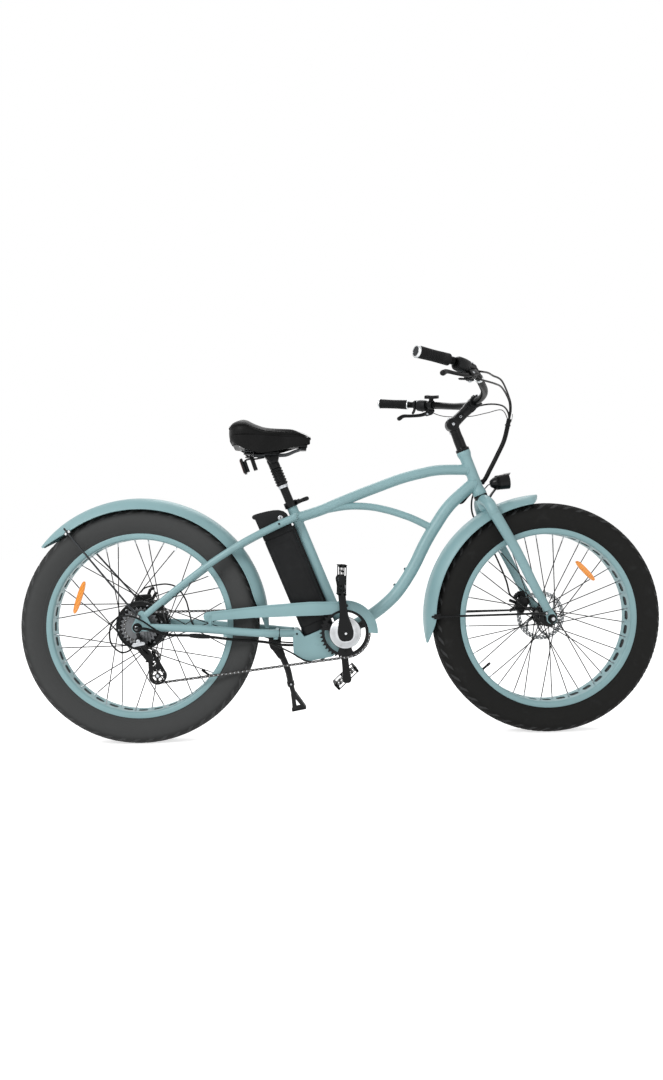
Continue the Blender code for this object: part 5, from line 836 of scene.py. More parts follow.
def make_seat_clamp():
    low, high = 0.427, 0.4455
    collar = hoop([(0.0168, low), (0.0212, low), (0.0212, high), (0.015, high), (0.015, high - 0.0012),
        (0.0168, high - 0.0012)], 0.0006, BRACKET, SEAT, 48)
    ahead = -SEAT_BACK
    ears = [block(BRACKET + SEAT * 0.4358 + ahead * 0.0255 + Y * y * 0.0052, (0.0066, 0.0036, 0.0075),
        ahead, Y, SEAT, 0.0008, 0.002) for y in (-1, 1)]
    pivot = BRACKET + SEAT * 0.4345 + ahead * 0.0255
    nut = [turned([(0.0056, 0.0088), (0.0056, 0.0125), (0.0048, 0.0135)], pivot, Y, 24),
        rod(pivot - Y * 0.0185, pivot + Y * 0.0095, 0.0026, 16)]
    piece("seat_collar", {BLACK_SATIN: [collar, *ears], STEEL: nut}, "frame", ["seat_clamp"])
    cam = pivot - Y * 0.0162
    handle = spline([cam + X * 0.001, cam + (0.016, -0.002, 0.006), cam + (0.033, 0.001, 0.012)], 10)
    share = np.linspace(0, 1, len(handle))
    radii = np.linspace(0.0058, 0.0072, len(handle)) * np.sqrt(np.clip(1.02 - share ** 12, 0.1, 1))
    paddle = tube(handle, radii, 20, 0.45)
    piece("seat_quick_lever", {BLACK_SATIN: [rod(cam - SEAT * 0.0064, cam + SEAT * 0.0064, 0.0068, 28,
        edge=0.0009), paddle]}, "clamp_lever", ["seat_clamp_lever"])


# Wheels


def tread(angle, y):
    """Depth of the tread's grooves: slanted bars over the crown, their phase led by the distance from the
    middle, four grooves that run round, at 13.5 and 29 mm from it, and side cuts at the shoulder."""
    pitch = 64
    off = np.abs(y)
    slant = angle * pitch + off * 190 + np.where(y > 0, np.pi, 0)
    bars = limited((np.cos(slant) - 0.55) * 4.0) * limited((0.031 - off) / 0.002)
    rings = limited(1.6 - np.abs(off - 0.0135) / 0.0012) + limited(1.6 - np.abs(off - 0.029) / 0.0012)
    shoulder = limited((np.cos(angle * pitch * 2 + 1.0) - 0.62) * 4.0) * limited((off - 0.03) / 0.002)
    fade = limited((0.0455 - off) / 0.003)
    return 0.0026 * limited(np.maximum(np.maximum(bars, rings), shoulder)) * fade


def make_tyre(name, axle, rubber, body):
    """The section is a smooth closed curve through crown, shoulder, side wall and bead, swept round the
    axle, with the tread's grooves taken off its radius."""
    half = [(0.368, 0.0), (0.3676, 0.014), (0.3656, 0.027), (0.36, 0.0385), (0.35, 0.0465), (0.333, 0.05),
        (0.316, 0.048), (0.301, 0.043), (0.2885, 0.037)]
    curve = spline(half, 6)
    section = np.vstack([curve[::-1] * (1, -1), curve[1:]])
    count = 960
    a = angles(count)[:, None]
    y = np.broadcast_to(section[:, 1], (count, len(section)))
    crown = limited((section[:, 0] - 0.352) / 0.008)
    r = section[None, :, 0] - tread(a, y) * crown
    inner = np.array([(0.276, 0.0355), (0.276, -0.0355)])
    r = np.hstack([r, np.broadcast_to(inner[:, 0], (count, 2))])
    y = np.hstack([y, np.broadcast_to(inner[:, 1], (count, 2))])
    grid = np.stack([axle[0] + r * np.cos(a), y, axle[2] + r * np.sin(a)], -1)
    piece(name + "_tyre_treaded", {rubber: [skin(grid, loop=True)]}, body, [name + "_tyre"],
        sharp=50)


def slotted_bed(axle, radius, half, slot_angle, slot_y, count, turn):
    """The rim's bed as cells, each a skin between a rounded slot and the edge of its cell:
    (1 - t) slot(a) + t cell(a), both taken at the same angle a about the slot's middle."""
    cell = np.pi / count
    a = angles(32)
    c, s = np.cos(a), np.sin(a)
    reach = 1 / np.maximum(np.abs(c), np.abs(s))
    slot = np.stack([bent(c, 0.6) * slot_angle, bent(s, 0.6) * slot_y], 1)
    edge = np.stack([c * reach * cell, s * reach * half], 1)
    t = np.array([0.0, 0.12, 1.0])[:, None, None]
    flat = (1 - t) * slot + t * edge
    wall = np.stack([slot, slot])
    rows = np.vstack([wall[:1], flat])
    depth = np.array([0.0022, 0, 0, 0])[:, None]
    shapes = []
    for number in range(count):
        angle = rows[..., 0] + 2 * np.pi * number / count + turn
        r = radius + depth
        grid = np.stack([axle[0] + r * np.cos(angle), rows[..., 1], axle[2] + r * np.sin(angle)], -1)
        shapes.append(skin(grid, caps=False))
    return shapes


def make_rim(name, axle, body, valve_angle):
    half = 0.04
    lip = [(RIM_BED, half - 0.0068), (0.2705, half - 0.002), (0.2735, half - 0.0003), (0.284, half),
        (0.2862, half - 0.0006), (0.2868, half - 0.002), (0.2855, half - 0.0036), (0.28, half - 0.0038),
        (0.2735, half - 0.0046), (0.2712, half - 0.0064), (0.2708, half - 0.007)]
    walls = [turned(lip, axle, side * Y, 192, caps=False) for side in (1, -1)]
    tape = turned([(0.2706, -0.034), (0.2706, 0.034), (0.2716, 0.034), (0.2716, -0.034)], axle, Y, 128,
        closed=True)
    piece(name + "_rim_slotted", {TEAL: walls + slotted_bed(axle, RIM_BED, half - 0.0068, math.radians(3.1),
        0.0135, SPOKES, 0.0)}, body, [name + "_rim"])
    piece(name + "_rim_tape", {NYLON: [tape]}, body)
    a = math.radians(valve_angle)
    way = -ray(a)
    foot = axle - way * RIM_BED
    stem = [rod(foot - way * 0.002, foot + way * 0.004, 0.0062, 20, edge=0.0008),
        rod(foot, foot + way * 0.026, 0.0036, 18), rod(foot + way * 0.022, foot + way * 0.034, 0.0044, 18,
        0.0038, 0.0008)]
    piece(name + "_valve", {NYLON: stem}, body)


def lace(axle, flange_radius, flange_y):
    """Ends of the spokes: they leave the two faces of each flange in turn, lean forwards or back by 52
    degrees and end in the rim's bed between its slots."""
    number = np.arange(SPOKES)
    side = np.where(number % 2, 1, -1)
    outer = (number // 2) % 2
    rim_angle = 2 * np.pi * (number + 0.5) / SPOKES
    hub_angle = rim_angle + np.radians(52) * np.where(outer, 1, -1)
    flange = side * (flange_y + np.where(outer, 0.0022, -0.0022))
    start = np.stack([axle[0] + flange_radius * np.cos(hub_angle), flange,
        axle[2] + flange_radius * np.sin(hub_angle)], 1)
    end = np.stack([axle[0] + 0.2672 * np.cos(rim_angle), side * 0.014,
        axle[2] + 0.2672 * np.sin(rim_angle)], 1)
    return start, end, side, outer


def make_spokes(name, axle, flange_radius, flange_y, body):
    start, end, side, outer = lace(axle, flange_radius, flange_y)
    wires, nipples = [], []
    for a, b, s, o in zip(start, end, side, outer):
        way = unit(b - a)
        head = a - Y * s * (1 if o else -1) * 0.0042
        bend = spline([head, a - Y * s * (1 if o else -1) * 0.0012, a + way * 0.003, b], 5)
        wires.append(tube(bend, 0.0016, 8, across=(0.3, 1, 0.2)))
        wires.append(ball(head, 0.0021, 5, 8))
        nipples.append(rod(b - way * 0.0125, b + way * 0.002, 0.0019, 8, 0.0023))
    piece(name + "_spokes", {BLACK_GLOSS: wires, STEEL: nipples}, body)


def make_front_hub():
    half, f = 0.06, 0.034
    profile = soft([(0.0075, -half), (0.012, -half), (0.0165, -half + 0.01), (0.017, -half + 0.017),
        (0.029, -f - 0.0032), (0.0292, -f + 0.0032), (0.017, -f + 0.011), (0.016, 0.0), (0.017, f - 0.011),
        (0.0292, f - 0.0032), (0.029, f + 0.0032), (0.0235, 0.0472), (0.0168, 0.0474), (0.0168, 0.05),
        (0.012, half), (0.0075, half)], 0.0012)
    piece("front_hub_shell", {BLACK_GLOSS: [turned(profile, FRONT, Y, 64, closed=True)]}, "front_wheel",
        ["front_hub"])
    make_spokes("front", FRONT, 0.0265, f, "front_wheel")


def make_motor():
    """The drum's covers have cooling ribs, a ring of screws and a raised rim for the spokes."""
    half, r = 0.044, 0.076
    profile = [(0.0075, -half - 0.0055), (0.021, -half - 0.0055), (0.026, -half - 0.0035),
        (0.05, -half - 0.001), (0.0525, -half + 0.001), (0.06, -half + 0.0012), (0.0625, -half - 0.0002),
        (r - 0.008, -half + 0.004), (r - 0.001, -half + 0.01), (r, -half + 0.013), (r, -0.0285),
        (r + 0.0015, -0.0275), (r + 0.0015, -0.0225), (r, -0.021), (r - 0.0035, -0.019),
        (r - 0.0035, 0.019), (r, 0.021), (r + 0.0015, 0.0225), (r + 0.0015, 0.0275), (r, 0.0285),
        (r, half - 0.013), (r - 0.001, half - 0.01), (r - 0.008, half - 0.004), (0.0625, half + 0.0002),
        (0.06, half - 0.0012), (0.0525, half - 0.001), (0.05, half + 0.001), (0.038, 0.0562),
        (0.0275, 0.0564), (0.0275, 0.0588), (0.02, 0.0588), (0.02, 0.06), (0.0075, 0.06)]
    drum = lathe(np.array(profile), 0.0009, REAR, Y, 96)
    ribs, screws = [], []
    for number in range(18):
        a = 2 * math.pi * (number + 0.5) / 18
        out = ray(a)
        for side in (-1, 1):
            if number % 3:
                ribs.append(rod(REAR + out * 0.0535 + Y * side * 0.0425,
                    REAR + out * 0.066 + Y * side * 0.0415, 0.0016, 8, edge=0.0006, across=Y))
            else:
                screws += [bolt_head(REAR + out * 0.0655 + Y * side * 0.04, Y * side, 0.003, 0.003)]
    piece("motor_drum", {BLACK_GLOSS: [drum, *ribs], STEEL: screws}, "rear_wheel", ["rear_hub_motor"])
    make_spokes("rear", REAR, 0.074, 0.025, "rear_wheel")


def pierced(at, r0, r1, count, hole, turn, half, lean=0.0):
    """A ring of cells, each with a round hole: the skin between the hole and the edge of its cell,
    leaning by lean over the ring's width, given a thickness."""
    a = angles(16)
    c, s = np.cos(a), np.sin(a)
    reach = 1 / np.maximum(np.abs(c), np.abs(s))
    cell, wide, middle = np.pi / count, (r1 - r0) / 2, (r0 + r1) / 2
    near = np.stack([c * hole / middle, s * hole], 1)
    far = np.stack([c * reach * cell, s * reach * wide], 1)
    shapes = []
    for number in range(count):
        rings = []
        for flat, y in ((near, -half), (far, -half), (far, half), (near, half)):
            angle = flat[:, 0] + 2 * np.pi * number / count + turn + lean * flat[:, 1] / wide
            r = middle + flat[:, 1]
            rings.append(np.stack([at[0] + r * np.cos(angle), np.full(len(a), at[1] + y),
                at[2] + r * np.sin(angle)], 1))
        grid = np.array(rings)
        shapes += [skin(grid[rows], caps=False) for rows in ([0, 1], [2, 3], [3, 0])]
    return shapes


def make_disc(name, axle, y, hub, steel, body, turn):
    """Two rings of holes on six arms; an arm's middle runs along angle = start + 0.62 t^1.4 as its radius
    grows evenly with t."""
    half, at = 0.0009, axle + Y * y
    ring = pierced(at, 0.0655, 0.0728, 36, 0.0022, turn, half, 0.05)
    ring += pierced(at, 0.0728, 0.0798, 36, 0.002, turn + 0.09, half, 0.05)
    rims = [turned([(r, -half), (r, half)], at, Y, 144, caps=False) for r in (0.0798, 0.0655)]
    arms = []
    for number in range(6):
        a = 2 * np.pi * number / 6 + turn
        t = np.linspace(0, 1, 14)[:, None]
        r, angle = hub + 0.008 + (0.0665 - hub - 0.008) * t, a + 0.62 * t**1.4
        line = r * np.hstack([np.cos(angle), np.sin(angle)])
        width = 0.0052 - 0.0022 * np.sin(t * np.pi)
        side = unit(np.gradient(line, axis=0))[:, ::-1] * (1, -1)
        arms.append(plate(np.vstack([line + side * width, (line - side * width)[::-1]]), -half, half,
            at=at))
    middle = plate([circle((0, 0), hub + 0.0125, 48), circle((0, 0), hub - 0.001, 40)], -half, half, at=at)
    bolts = [bolt_head(at + (hub + 0.0065) * ray(1.047 * k + turn) + Y * half, Y, 0.004, 0.002)
        for k in range(6)]
    piece(name + "_disc_pierced", {steel: ring + rims + arms + [middle], BLACK_SATIN: bolts}, body,
        [name + "_brake_disc"])


def make_reflector(name, a, b, y, body):
    """A spoke reflector: a long amber lens with tapering ends on a clip."""
    a, b = np.array([a[0], y, a[1]]), np.array([b[0], y, b[1]])
    u = unit(b - a)
    v = np.cross(Y, u)
    reach, wide, thick = np.linalg.norm(b - a) / 2, 0.0088, 0.0045
    t = angles(56)
    c, s = np.cos(t), np.sin(t)
    outline = np.stack([bent(c, 0.55) * reach, bent(s, 0.75) * wide * (1 - 0.16 * np.abs(c))], 1)
    lens = slab(outline, (-thick, thick), u, v, Y, (a + b) / 2, 0.0016)
    rims = [tube((a + b) / 2 + outline[:, :1] * 0.93 * u + outline[:, 1:] * 0.8 * v + Y * side * thick,
        0.0005, 6, across=Y, closed=True) for side in (-1, 1)]
    piece(name + "_spoke_reflector", {AMBER: [lens, *rims]}, body)


def make_wheels():
    make_tyre("rear", REAR, REAR_RUBBER_PAINTED_LIT, "rear_wheel")
    make_tyre("front", FRONT, FRONT_RUBBER, "front_wheel")
    make_rim("rear", REAR, "rear_wheel", -38.5)
    make_rim("front", FRONT, "front_wheel", -141.5)
    make_front_hub()
    make_motor()
    make_disc("front", FRONT, DISC_Y["front"], 0.0176, FRONT_DISC_STEEL_SHADED, "front_wheel", 0.2)
    make_disc("rear", REAR, DISC_Y["rear"], 0.029, REAR_DISC_STEEL_LIT, "rear_wheel", 0.4)
    for name, axle, seat_half, reach, body in (("front", FRONT, 0.0685, 0.082, "steering"),
            ("rear", REAR, 0.0935, 0.1095, "frame")):
        parts, nuts = [rod(axle - Y * reach, axle + Y * reach, 0.0058, 24, edge=0.0008)], []
        for side in (LEFT, RIGHT):
            at = axle + Y * side * (seat_half + 0.0003)
            nuts += [turned([(0.0142, 0), (0.0145, 0.0003), (0.0145, 0.0016), (0.014, 0.002)], at, Y * side,
                40), hexagon(at + Y * side * 0.002, Y * side, 0.0105, 0.008)]
            t = np.linspace(0, 1, 120)
            spin = t * 2 * np.pi * 8
            along = side * (seat_half + 0.0105 + t[:, None] * (reach - seat_half - 0.012))
            thread = axle + Y * along + 0.0057 * (np.cos(spin)[:, None] * X + np.sin(spin)[:, None] * Z)
            parts.append(tube(thread, 0.0004, 5, across=Y))
        piece(name + "_axle_threaded", {STEEL: parts, BLACK_GLOSS: nuts}, body, [name + "_axle"])


# Mudguards


def fender_sheet(axle, start, end, tip_start, tip_end, depth, tip_share=0.12):
    """radius(y) = GUARD - depth |y / half|^3.2, rolled round the axle from start to end. The width
    shrinks to a tongue near each end, by 1 - tip (1 - d / tip_share)^1.5 (0.12 at the far end), and the
    inside lies a wall further in."""
    half, wall = 0.061, 0.002
    share = np.linspace(0, 1, 160)
    angle = np.radians(start + (end - start) * share)
    near = 1 - tip_start * limited(1 - share / tip_share) ** 1.5
    narrow = near * (1 - tip_end * limited(1 - (1 - share) / 0.12) ** 1.5)
    s = bent(np.linspace(-1, 1, 41), 0.85)
    drop = depth * np.abs(s) ** 3.2
    outer = np.stack([half * s, GUARD - drop], 1)
    inner = np.stack([half * s * (1 - wall / half * np.abs(s) ** 2), GUARD - wall - drop], 1)[::-1]
    ring = np.vstack([outer, inner])
    y, r = ring[:, 0][None] * narrow[:, None], GUARD - (GUARD - ring[:, 1])[None] * narrow[:, None]
    r = np.where(np.arange(len(ring))[None] >= len(s),
        GUARD - wall - (GUARD - wall - ring[:, 1])[None] * narrow[:, None], r)
    grid = np.stack([axle[0] + r * np.cos(angle)[:, None], axle[1] + y,
        axle[2] + r * np.sin(angle)[:, None]], -1)
    edges = [tube(grid[2:-2, column], 0.0016, 8, across=Y) for column in (0, len(s) - 1)]
    return [skin(grid)] + edges


def guard_stay(axle, degrees, foot, depth, eye_y, radius, wide):
    """A stay on each side, from the dropout to the mudguard's lip, with its foot's eye and bolt."""
    out = ray(math.radians(degrees))
    lines, eyes, bolts = [], [], []
    for side in (-1, 1):
        start = np.array(foot) * (1, -side, 1)
        end = axle + out * (GUARD - depth - 0.004) + Y * side * 0.065
        lines.append(spline([start, start + (end - start) * 0.5 + Y * side * 0.001, end, end + out * 0.016],
            12))
        at = np.array([foot[0], side * eye_y, foot[2]])
        eyes.append(turned([(radius, 0), (radius, wide), (radius * 0.9, wide + 0.0004),
            (0.003, wide + 0.0004)], at, Y * side, 24))
        bolts.append(bolt_head(at + Y * side * wide, Y * side, radius * 0.62, 0.0032))
    return lines, eyes, bolts


def make_fenders():
    way = unit(np.array([-0.3005, 0, 0.6325]) - REAR)
    strut = rod(REAR + way * 0.394, (-0.3005, 0, 0.6325), 0.0058, 20)
    boss = turned([(0.0085, 0), (0.0085, 0.0018), (0.006, 0.0022)], REAR + way * 0.3965, way, 24)
    piece("rear_mudguard", {TEAL: [*fender_sheet(REAR, -2.6, 141, 0.75, 0.82, 0.034), strut, boss]},
        "frame", ["rear_fender"])
    lines, eyes, bolts = guard_stay(REAR, 126, (REAR[0] + 0.004, -0.1008, REAR[2] + 0.0335), 0.034, 0.0974,
        0.0066, 0.0052)
    a = math.radians(126)
    out, along = ray(a), np.array([-math.sin(a), 0, math.cos(a)])
    for y in (-1, 1):
        at = REAR + out * 0.36 + Y * y * 0.064
        for shift in (-0.0075, 0.0075):
            bolts.append(bolt_head(at + along * shift * 0.8 + Y * y * 0.002, Y * y, 0.004, 0.0026, False))
        eyes.append(block(at, (0.0105, 0.0055, 0.0013), along, out, Y, 0.0004, 0.003))
    rods = [tube(line, 0.003, 14, 1.0, across=(0.6, 0, 0.8)) for line in lines]
    piece("rear_guard_stay", {DARK_STEEL: rods + eyes, BRIGHT: bolts}, "frame")
    way = unit(CROWN - FRONT)
    strap = [rod(FRONT + way * 0.394, CROWN, 0.007, 20), bolt_head(FRONT + way * 0.3965 + X * 0.01, way,
        0.004, 0.003)]
    piece("front_mudguard", {TEAL: fender_sheet(FRONT, 93.6, 191, 0.8, 0.88, 0.028, 0.05),
        BLACK_SATIN: strap}, "steering", ["front_fender"])
    lines, eyes, bolts = guard_stay(FRONT, 178, (FRONT[0] - 0.02, -0.0725, FRONT[2] + 0.018), 0.028, 0.0689,
        0.006, 0.0056)
    for y in (-1, 1):
        at = FRONT + ray(math.radians(178)) * 0.366 + Y * y * 0.062
        eyes.append(block(at, (0.008, 0.009, 0.0014), Z, X, Y, 0.0004, 0.003))
        bolts.append(bolt_head(at + Y * y * 0.0014, Y * y, 0.0034, 0.0026))
    rods = [tube(line, 0.0034, 14, across=(0.1, 0, 1)) for line in lines]
    piece("front_guard_stay", {BLACK_SATIN: rods + eyes, STEEL: bolts}, "steering")


# Steering


def make_fork():
    arch = [(0.459, -0.0785, 0.708), (0.4515, -0.068, 0.729), (0.445, -0.038, 0.744)]
    arch = spline([*arch, tuple(CROWN), *[(x, -y, z) for x, y, z in arch[::-1]]], 8)
    t = np.linspace(-1, 1, len(arch))
    parts = [tube(arch, 0.0178 - 0.0006 * np.abs(t) ** 4, 36, across=(1, 0, 0.3))]
    for side in (LEFT, RIGHT):
        line = spline([(0.459, side * 0.0785, 0.708), (0.5, side * 0.0795, 0.638),
            (0.5415, side * 0.079, 0.5625), (0.588, side * 0.0765, 0.47), (0.618, side * 0.0725, 0.418),
            (0.63, side * 0.069, 0.396)], 10)
        share = np.linspace(0, 1, len(line))
        parts.append(tube(line, 0.0178 - 0.0055 * share, 36, 0.72 - 0.08 * share))
        parts.append(ball(line[0], 0.0178, 12, 28, (1.0, 0.86, 1.0)))
        x, z = FRONT[0], FRONT[2]
        outline = np.vstack([[(0.64, 0.406), (0.624, 0.409), (0.616, 0.396), (0.629, 0.37)],
            arc((x, z), 0.0165, 190, 258, 5), [(x - 0.0066, z - 0.016), (x - 0.0066, z)],
            arc((x, z), 0.0066, 180, 0, 8), [(x + 0.0066, z), (x + 0.0066, z - 0.016)],
            arc((x, z), 0.0165, 282, 400, 8)])
        low, high = sorted((side * 0.0625, side * 0.0685))
        parts.append(plate(outline, low, high))
    mount = soft([(0.608, 0.452), (0.575, 0.446), (0.566, 0.434), (0.572, 0.425), (0.612, 0.428)], 0.003)
    bracket = plate([mount], 0.0662, 0.0722)
    stub = lathe([(0.012, 0.008), (0.0192, 0.01), (0.02, 0.022), (0.019, 0.046), (0.015, 0.056),
        (0.008, 0.057)], 0.003, HEAD_FOOT, -STEER, 48)
    parts += [stub, rod(HEAD_FOOT - STEER * 0.012, HEAD_FOOT + STEER * 0.162, 0.0125, 28)]
    race = lathe([(0.017, -0.016), (0.0205, -0.013), (0.0222, -0.006), (0.0222, -0.0008), (0.015, -0.0008)],
        0.001, HEAD_FOOT, STEER, 48)
    parts.append(weld(HEAD_FOOT - STEER * 0.0005, -STEER, 0.016, CROWN, Y, 0.0176, 0.002))
    piece("fork_and_crown", {TEAL: parts, BLACK_SATIN: [race, bracket]}, "steering", ["fork"], bevel=0.0006)


BAR = [(0.421, 0.0, 1.061), (0.421, 0.034, 1.061), (0.4275, 0.072, 1.065), (0.4265, 0.11, 1.071),
    (0.4165, 0.152, 1.0765), (0.398, 0.2, 1.083), (0.378, 0.245, 1.0925), (0.357, 0.288, 1.102),
    (0.3465, 0.302, 1.105), (0.283, 0.361, 1.1153), (0.268, 0.3715, 1.1175), (0.168, 0.42, 1.13)]
BAR_CLAMP = np.array(BAR[0])
JOINT = np.array([0.3485, 0.0, 0.9905])


def bar_point(number, side):
    x, y, z = BAR[number]
    return np.array([x, side * y, z])


def control_seat(side, distance):
    start, end = bar_point(8, side), bar_point(9, side)
    way = unit(end - start)
    return start + way * distance, way


def make_bar():
    half = [bar_point(n, LEFT) for n in range(1, 12)]
    line = spline([p * (1, -1, 1) for p in half[::-1]] + half, 8)
    knurl = [turned([(0.0113, y - 0.0001), (0.01145, y), (0.0113, y + 0.0001)], BAR_CLAMP, Y, 20)
        for y in (-0.029, 0.029)]
    seat, way = bar_point(6, RIGHT), unit(bar_point(7, RIGHT) - bar_point(5, RIGHT))
    mark = hoop(corners(0.0112, 0.0128, -0.007, 0.007), 0.0008, seat, way, 36)
    piece("swept_handlebar", {BAR_BLACK: [tube(line, 0.0111, 28, across=(0.3, 0, 1)), *knurl],
        BRIGHT: [mark]}, "steering", ["handlebar"])


def make_grips():
    """Closed sleeves with raised rings and a collar at each end: radius = 0.016 + 0.0005 clip(2.2
    cos(2 pi d / 5.6 mm), -1, 1) + 0.0004 cos(2 pi d / length), d from the inner end."""
    for name, side in (("right", RIGHT), ("left", LEFT)):
        start, end = bar_point(10, side), bar_point(11, side)
        way = unit(end - start)
        start = start + way * 0.006
        length = np.linalg.norm(end - start)
        d = np.linspace(0.01, length - 0.01, 200)
        r = 0.016 + 0.0005 * np.clip(np.cos(2 * np.pi * d / 0.0056) * 2.2, -1,
            1) + 0.0004 * np.cos(d / length * 2 * np.pi)
        profile = [(0.0118, 0), (0.0155, 0.0001), (0.0168, 0.0012), (0.017, 0.003), (0.0168, 0.0065),
            (0.016, 0.0085), *zip(r, d), (0.016, length - 0.0085), (0.0169, length - 0.006),
            (0.0172, length - 0.001), (0.0168, length + 0.0025), (0.015, length + 0.0042),
            (0.011, length + 0.0045)]
        cap = turned([(0.0132, length + 0.004), (0.0134, length + 0.005), (0.01, length + 0.0054),
            (0.0098, length + 0.005), (0.0062, length + 0.005), (0.006, length + 0.0056)], start, way, 36)
        ring = turned([(0.012, -0.0042), (0.0162, -0.004), (0.0166, -0.003), (0.0166, -0.0012),
            (0.016, -0.0002), (0.012, 0)], start, way, 40)
        outer = hoop([(0.0132, length + 0.001), (0.0176, length - 0.0016), (0.0181, length - 0.0008),
            (0.018, length + 0.003), (0.0168, length + 0.0052), (0.0134, length + 0.0054)], 0.0008, start,
            way, 40)
        piece(name + "_ribbed_grip", {GRIP: [turned(profile, start, way, 40)], BRIGHT: [ring, outer]
            if side == LEFT else [outer], DARK_STEEL: [cap]}, "steering", [name + "_grip"])


def make_stem():
    arm = unit(BAR_CLAMP - JOINT)
    other = np.cross(arm, Y)
    collar = lathe([(0.0145, 0.1506), (0.0222, 0.1506), (0.0222, 0.1575), (0.0212, 0.159), (0.0182, 0.16),
        (0.0172, 0.164), (0.0172, 0.19), (0.0164, 0.2), (0.0162, 0.228), (0.01, 0.228)], 0.001, HEAD_FOOT,
        STEER, 48)
    headset = lathe(corners(0.015, 0.0222, 0.1502, 0.1532), 0.0006, HEAD_FOOT, STEER, 48)
    swell = lathe([(0.015, 0.205), (0.0166, 0.214), (0.0172, 0.232), (0.015, 0.238)], 0.002, HEAD_FOOT,
        STEER, 40)
    drum = lathe(mirror((0.002, 0.0195), (0.0175, 0.0195), (0.0205, 0.0172), (0.0215, 0.012)), 0.001, JOINT,
        Y, 56)
    lines = [turned([(0.0216, y - 0.0004), (0.0211, y), (0.0216, y + 0.0004)], JOINT, Y, 56)
        for y in (-0.0065, 0.0065)]
    link = tube(np.array([JOINT + arm * s for s in np.linspace(0.006, 0.088, 12)]),
        np.array([0.0185, 0.0182, 0.0176, 0.0172, 0.017, 0.0168, 0.0168, 0.017, 0.0174, 0.018, 0.0186,
        0.019]), 36, power=0.75)
    clamp = lathe(mirror((0.0113, 0.023), (0.0178, 0.023), (0.0195, 0.021)), 0.0016, BAR_CLAMP, Y, 56)
    cap = slab(soft(corners(-0.015, 0.015, -0.017, 0.017), 0.004, 4), (0.0165, 0.0212), other, Y, arm,
        BAR_CLAMP, 0.0012)
    bolts = [bolt_head(BAR_CLAMP + arm * 0.021 + other * a + Y * b, arm, 0.0034, 0.0026)
        for a in (-0.0112, 0.0112) for b in (-0.0125, 0.0125)]
    bolts += [bolt_head(JOINT + Y * y * 0.0195, Y * y, 0.0052, 0.0042) for y in (-1, 1)]
    bolts += [bolt_head(JOINT + arm * 0.034 + Y * y * 0.015, Y * y, 0.0058, 0.0046) for y in (-1, 1)]
    knuckle = [block(JOINT + arm * 0.03, (0.015, 0.0195, 0.016), other, Y, arm, 0.003, 0.005),
        block(BAR_CLAMP - arm * 0.021, (0.0185, 0.02, 0.009), other, Y, arm, 0.003, 0.005)]
    seams = [block(BAR_CLAMP + arm * 0.012, (0.0205, 0.0215, 0.0006), other, Y, arm, 0.0002, 0.004)]
    bolts += [bolt_head(JOINT + other * 0.0205 + arm * 0.006, other, 0.004, 0.0034)]
    bolts += [bolt_head(JOINT - other * 0.0198 + arm * 0.004, -other, 0.004, 0.0034)]
    bolts += [bolt_head(HEAD_FOOT + STEER * 0.219 - STEER_AHEAD * 0.0162, -STEER_AHEAD, 0.0038, 0.0034)]
    piece("hinged_stem", {BLACK_GLOSS: [collar, swell, drum, link, clamp, cap, *knuckle],
        BLACK_SATIN: [headset, *lines, *seams], STEEL: bolts}, "steering", ["stem"])


def lever_frame(side):
    seat, _ = control_seat(side, LEVER_SEAT)
    pivot = np.array([0.334, side * 0.344, 1.083])
    out = unit(np.array([0.242, side * 0.41, 1.077]) - pivot)
    towards = seat - pivot
    towards = unit(towards - out * np.dot(towards, out))
    return pivot, out, towards, unit(np.cross(out, towards))


def hose_outlet(side):
    pivot, out, towards, _ = lever_frame(side)
    return pivot + towards * 0.0175 - out * 0.01


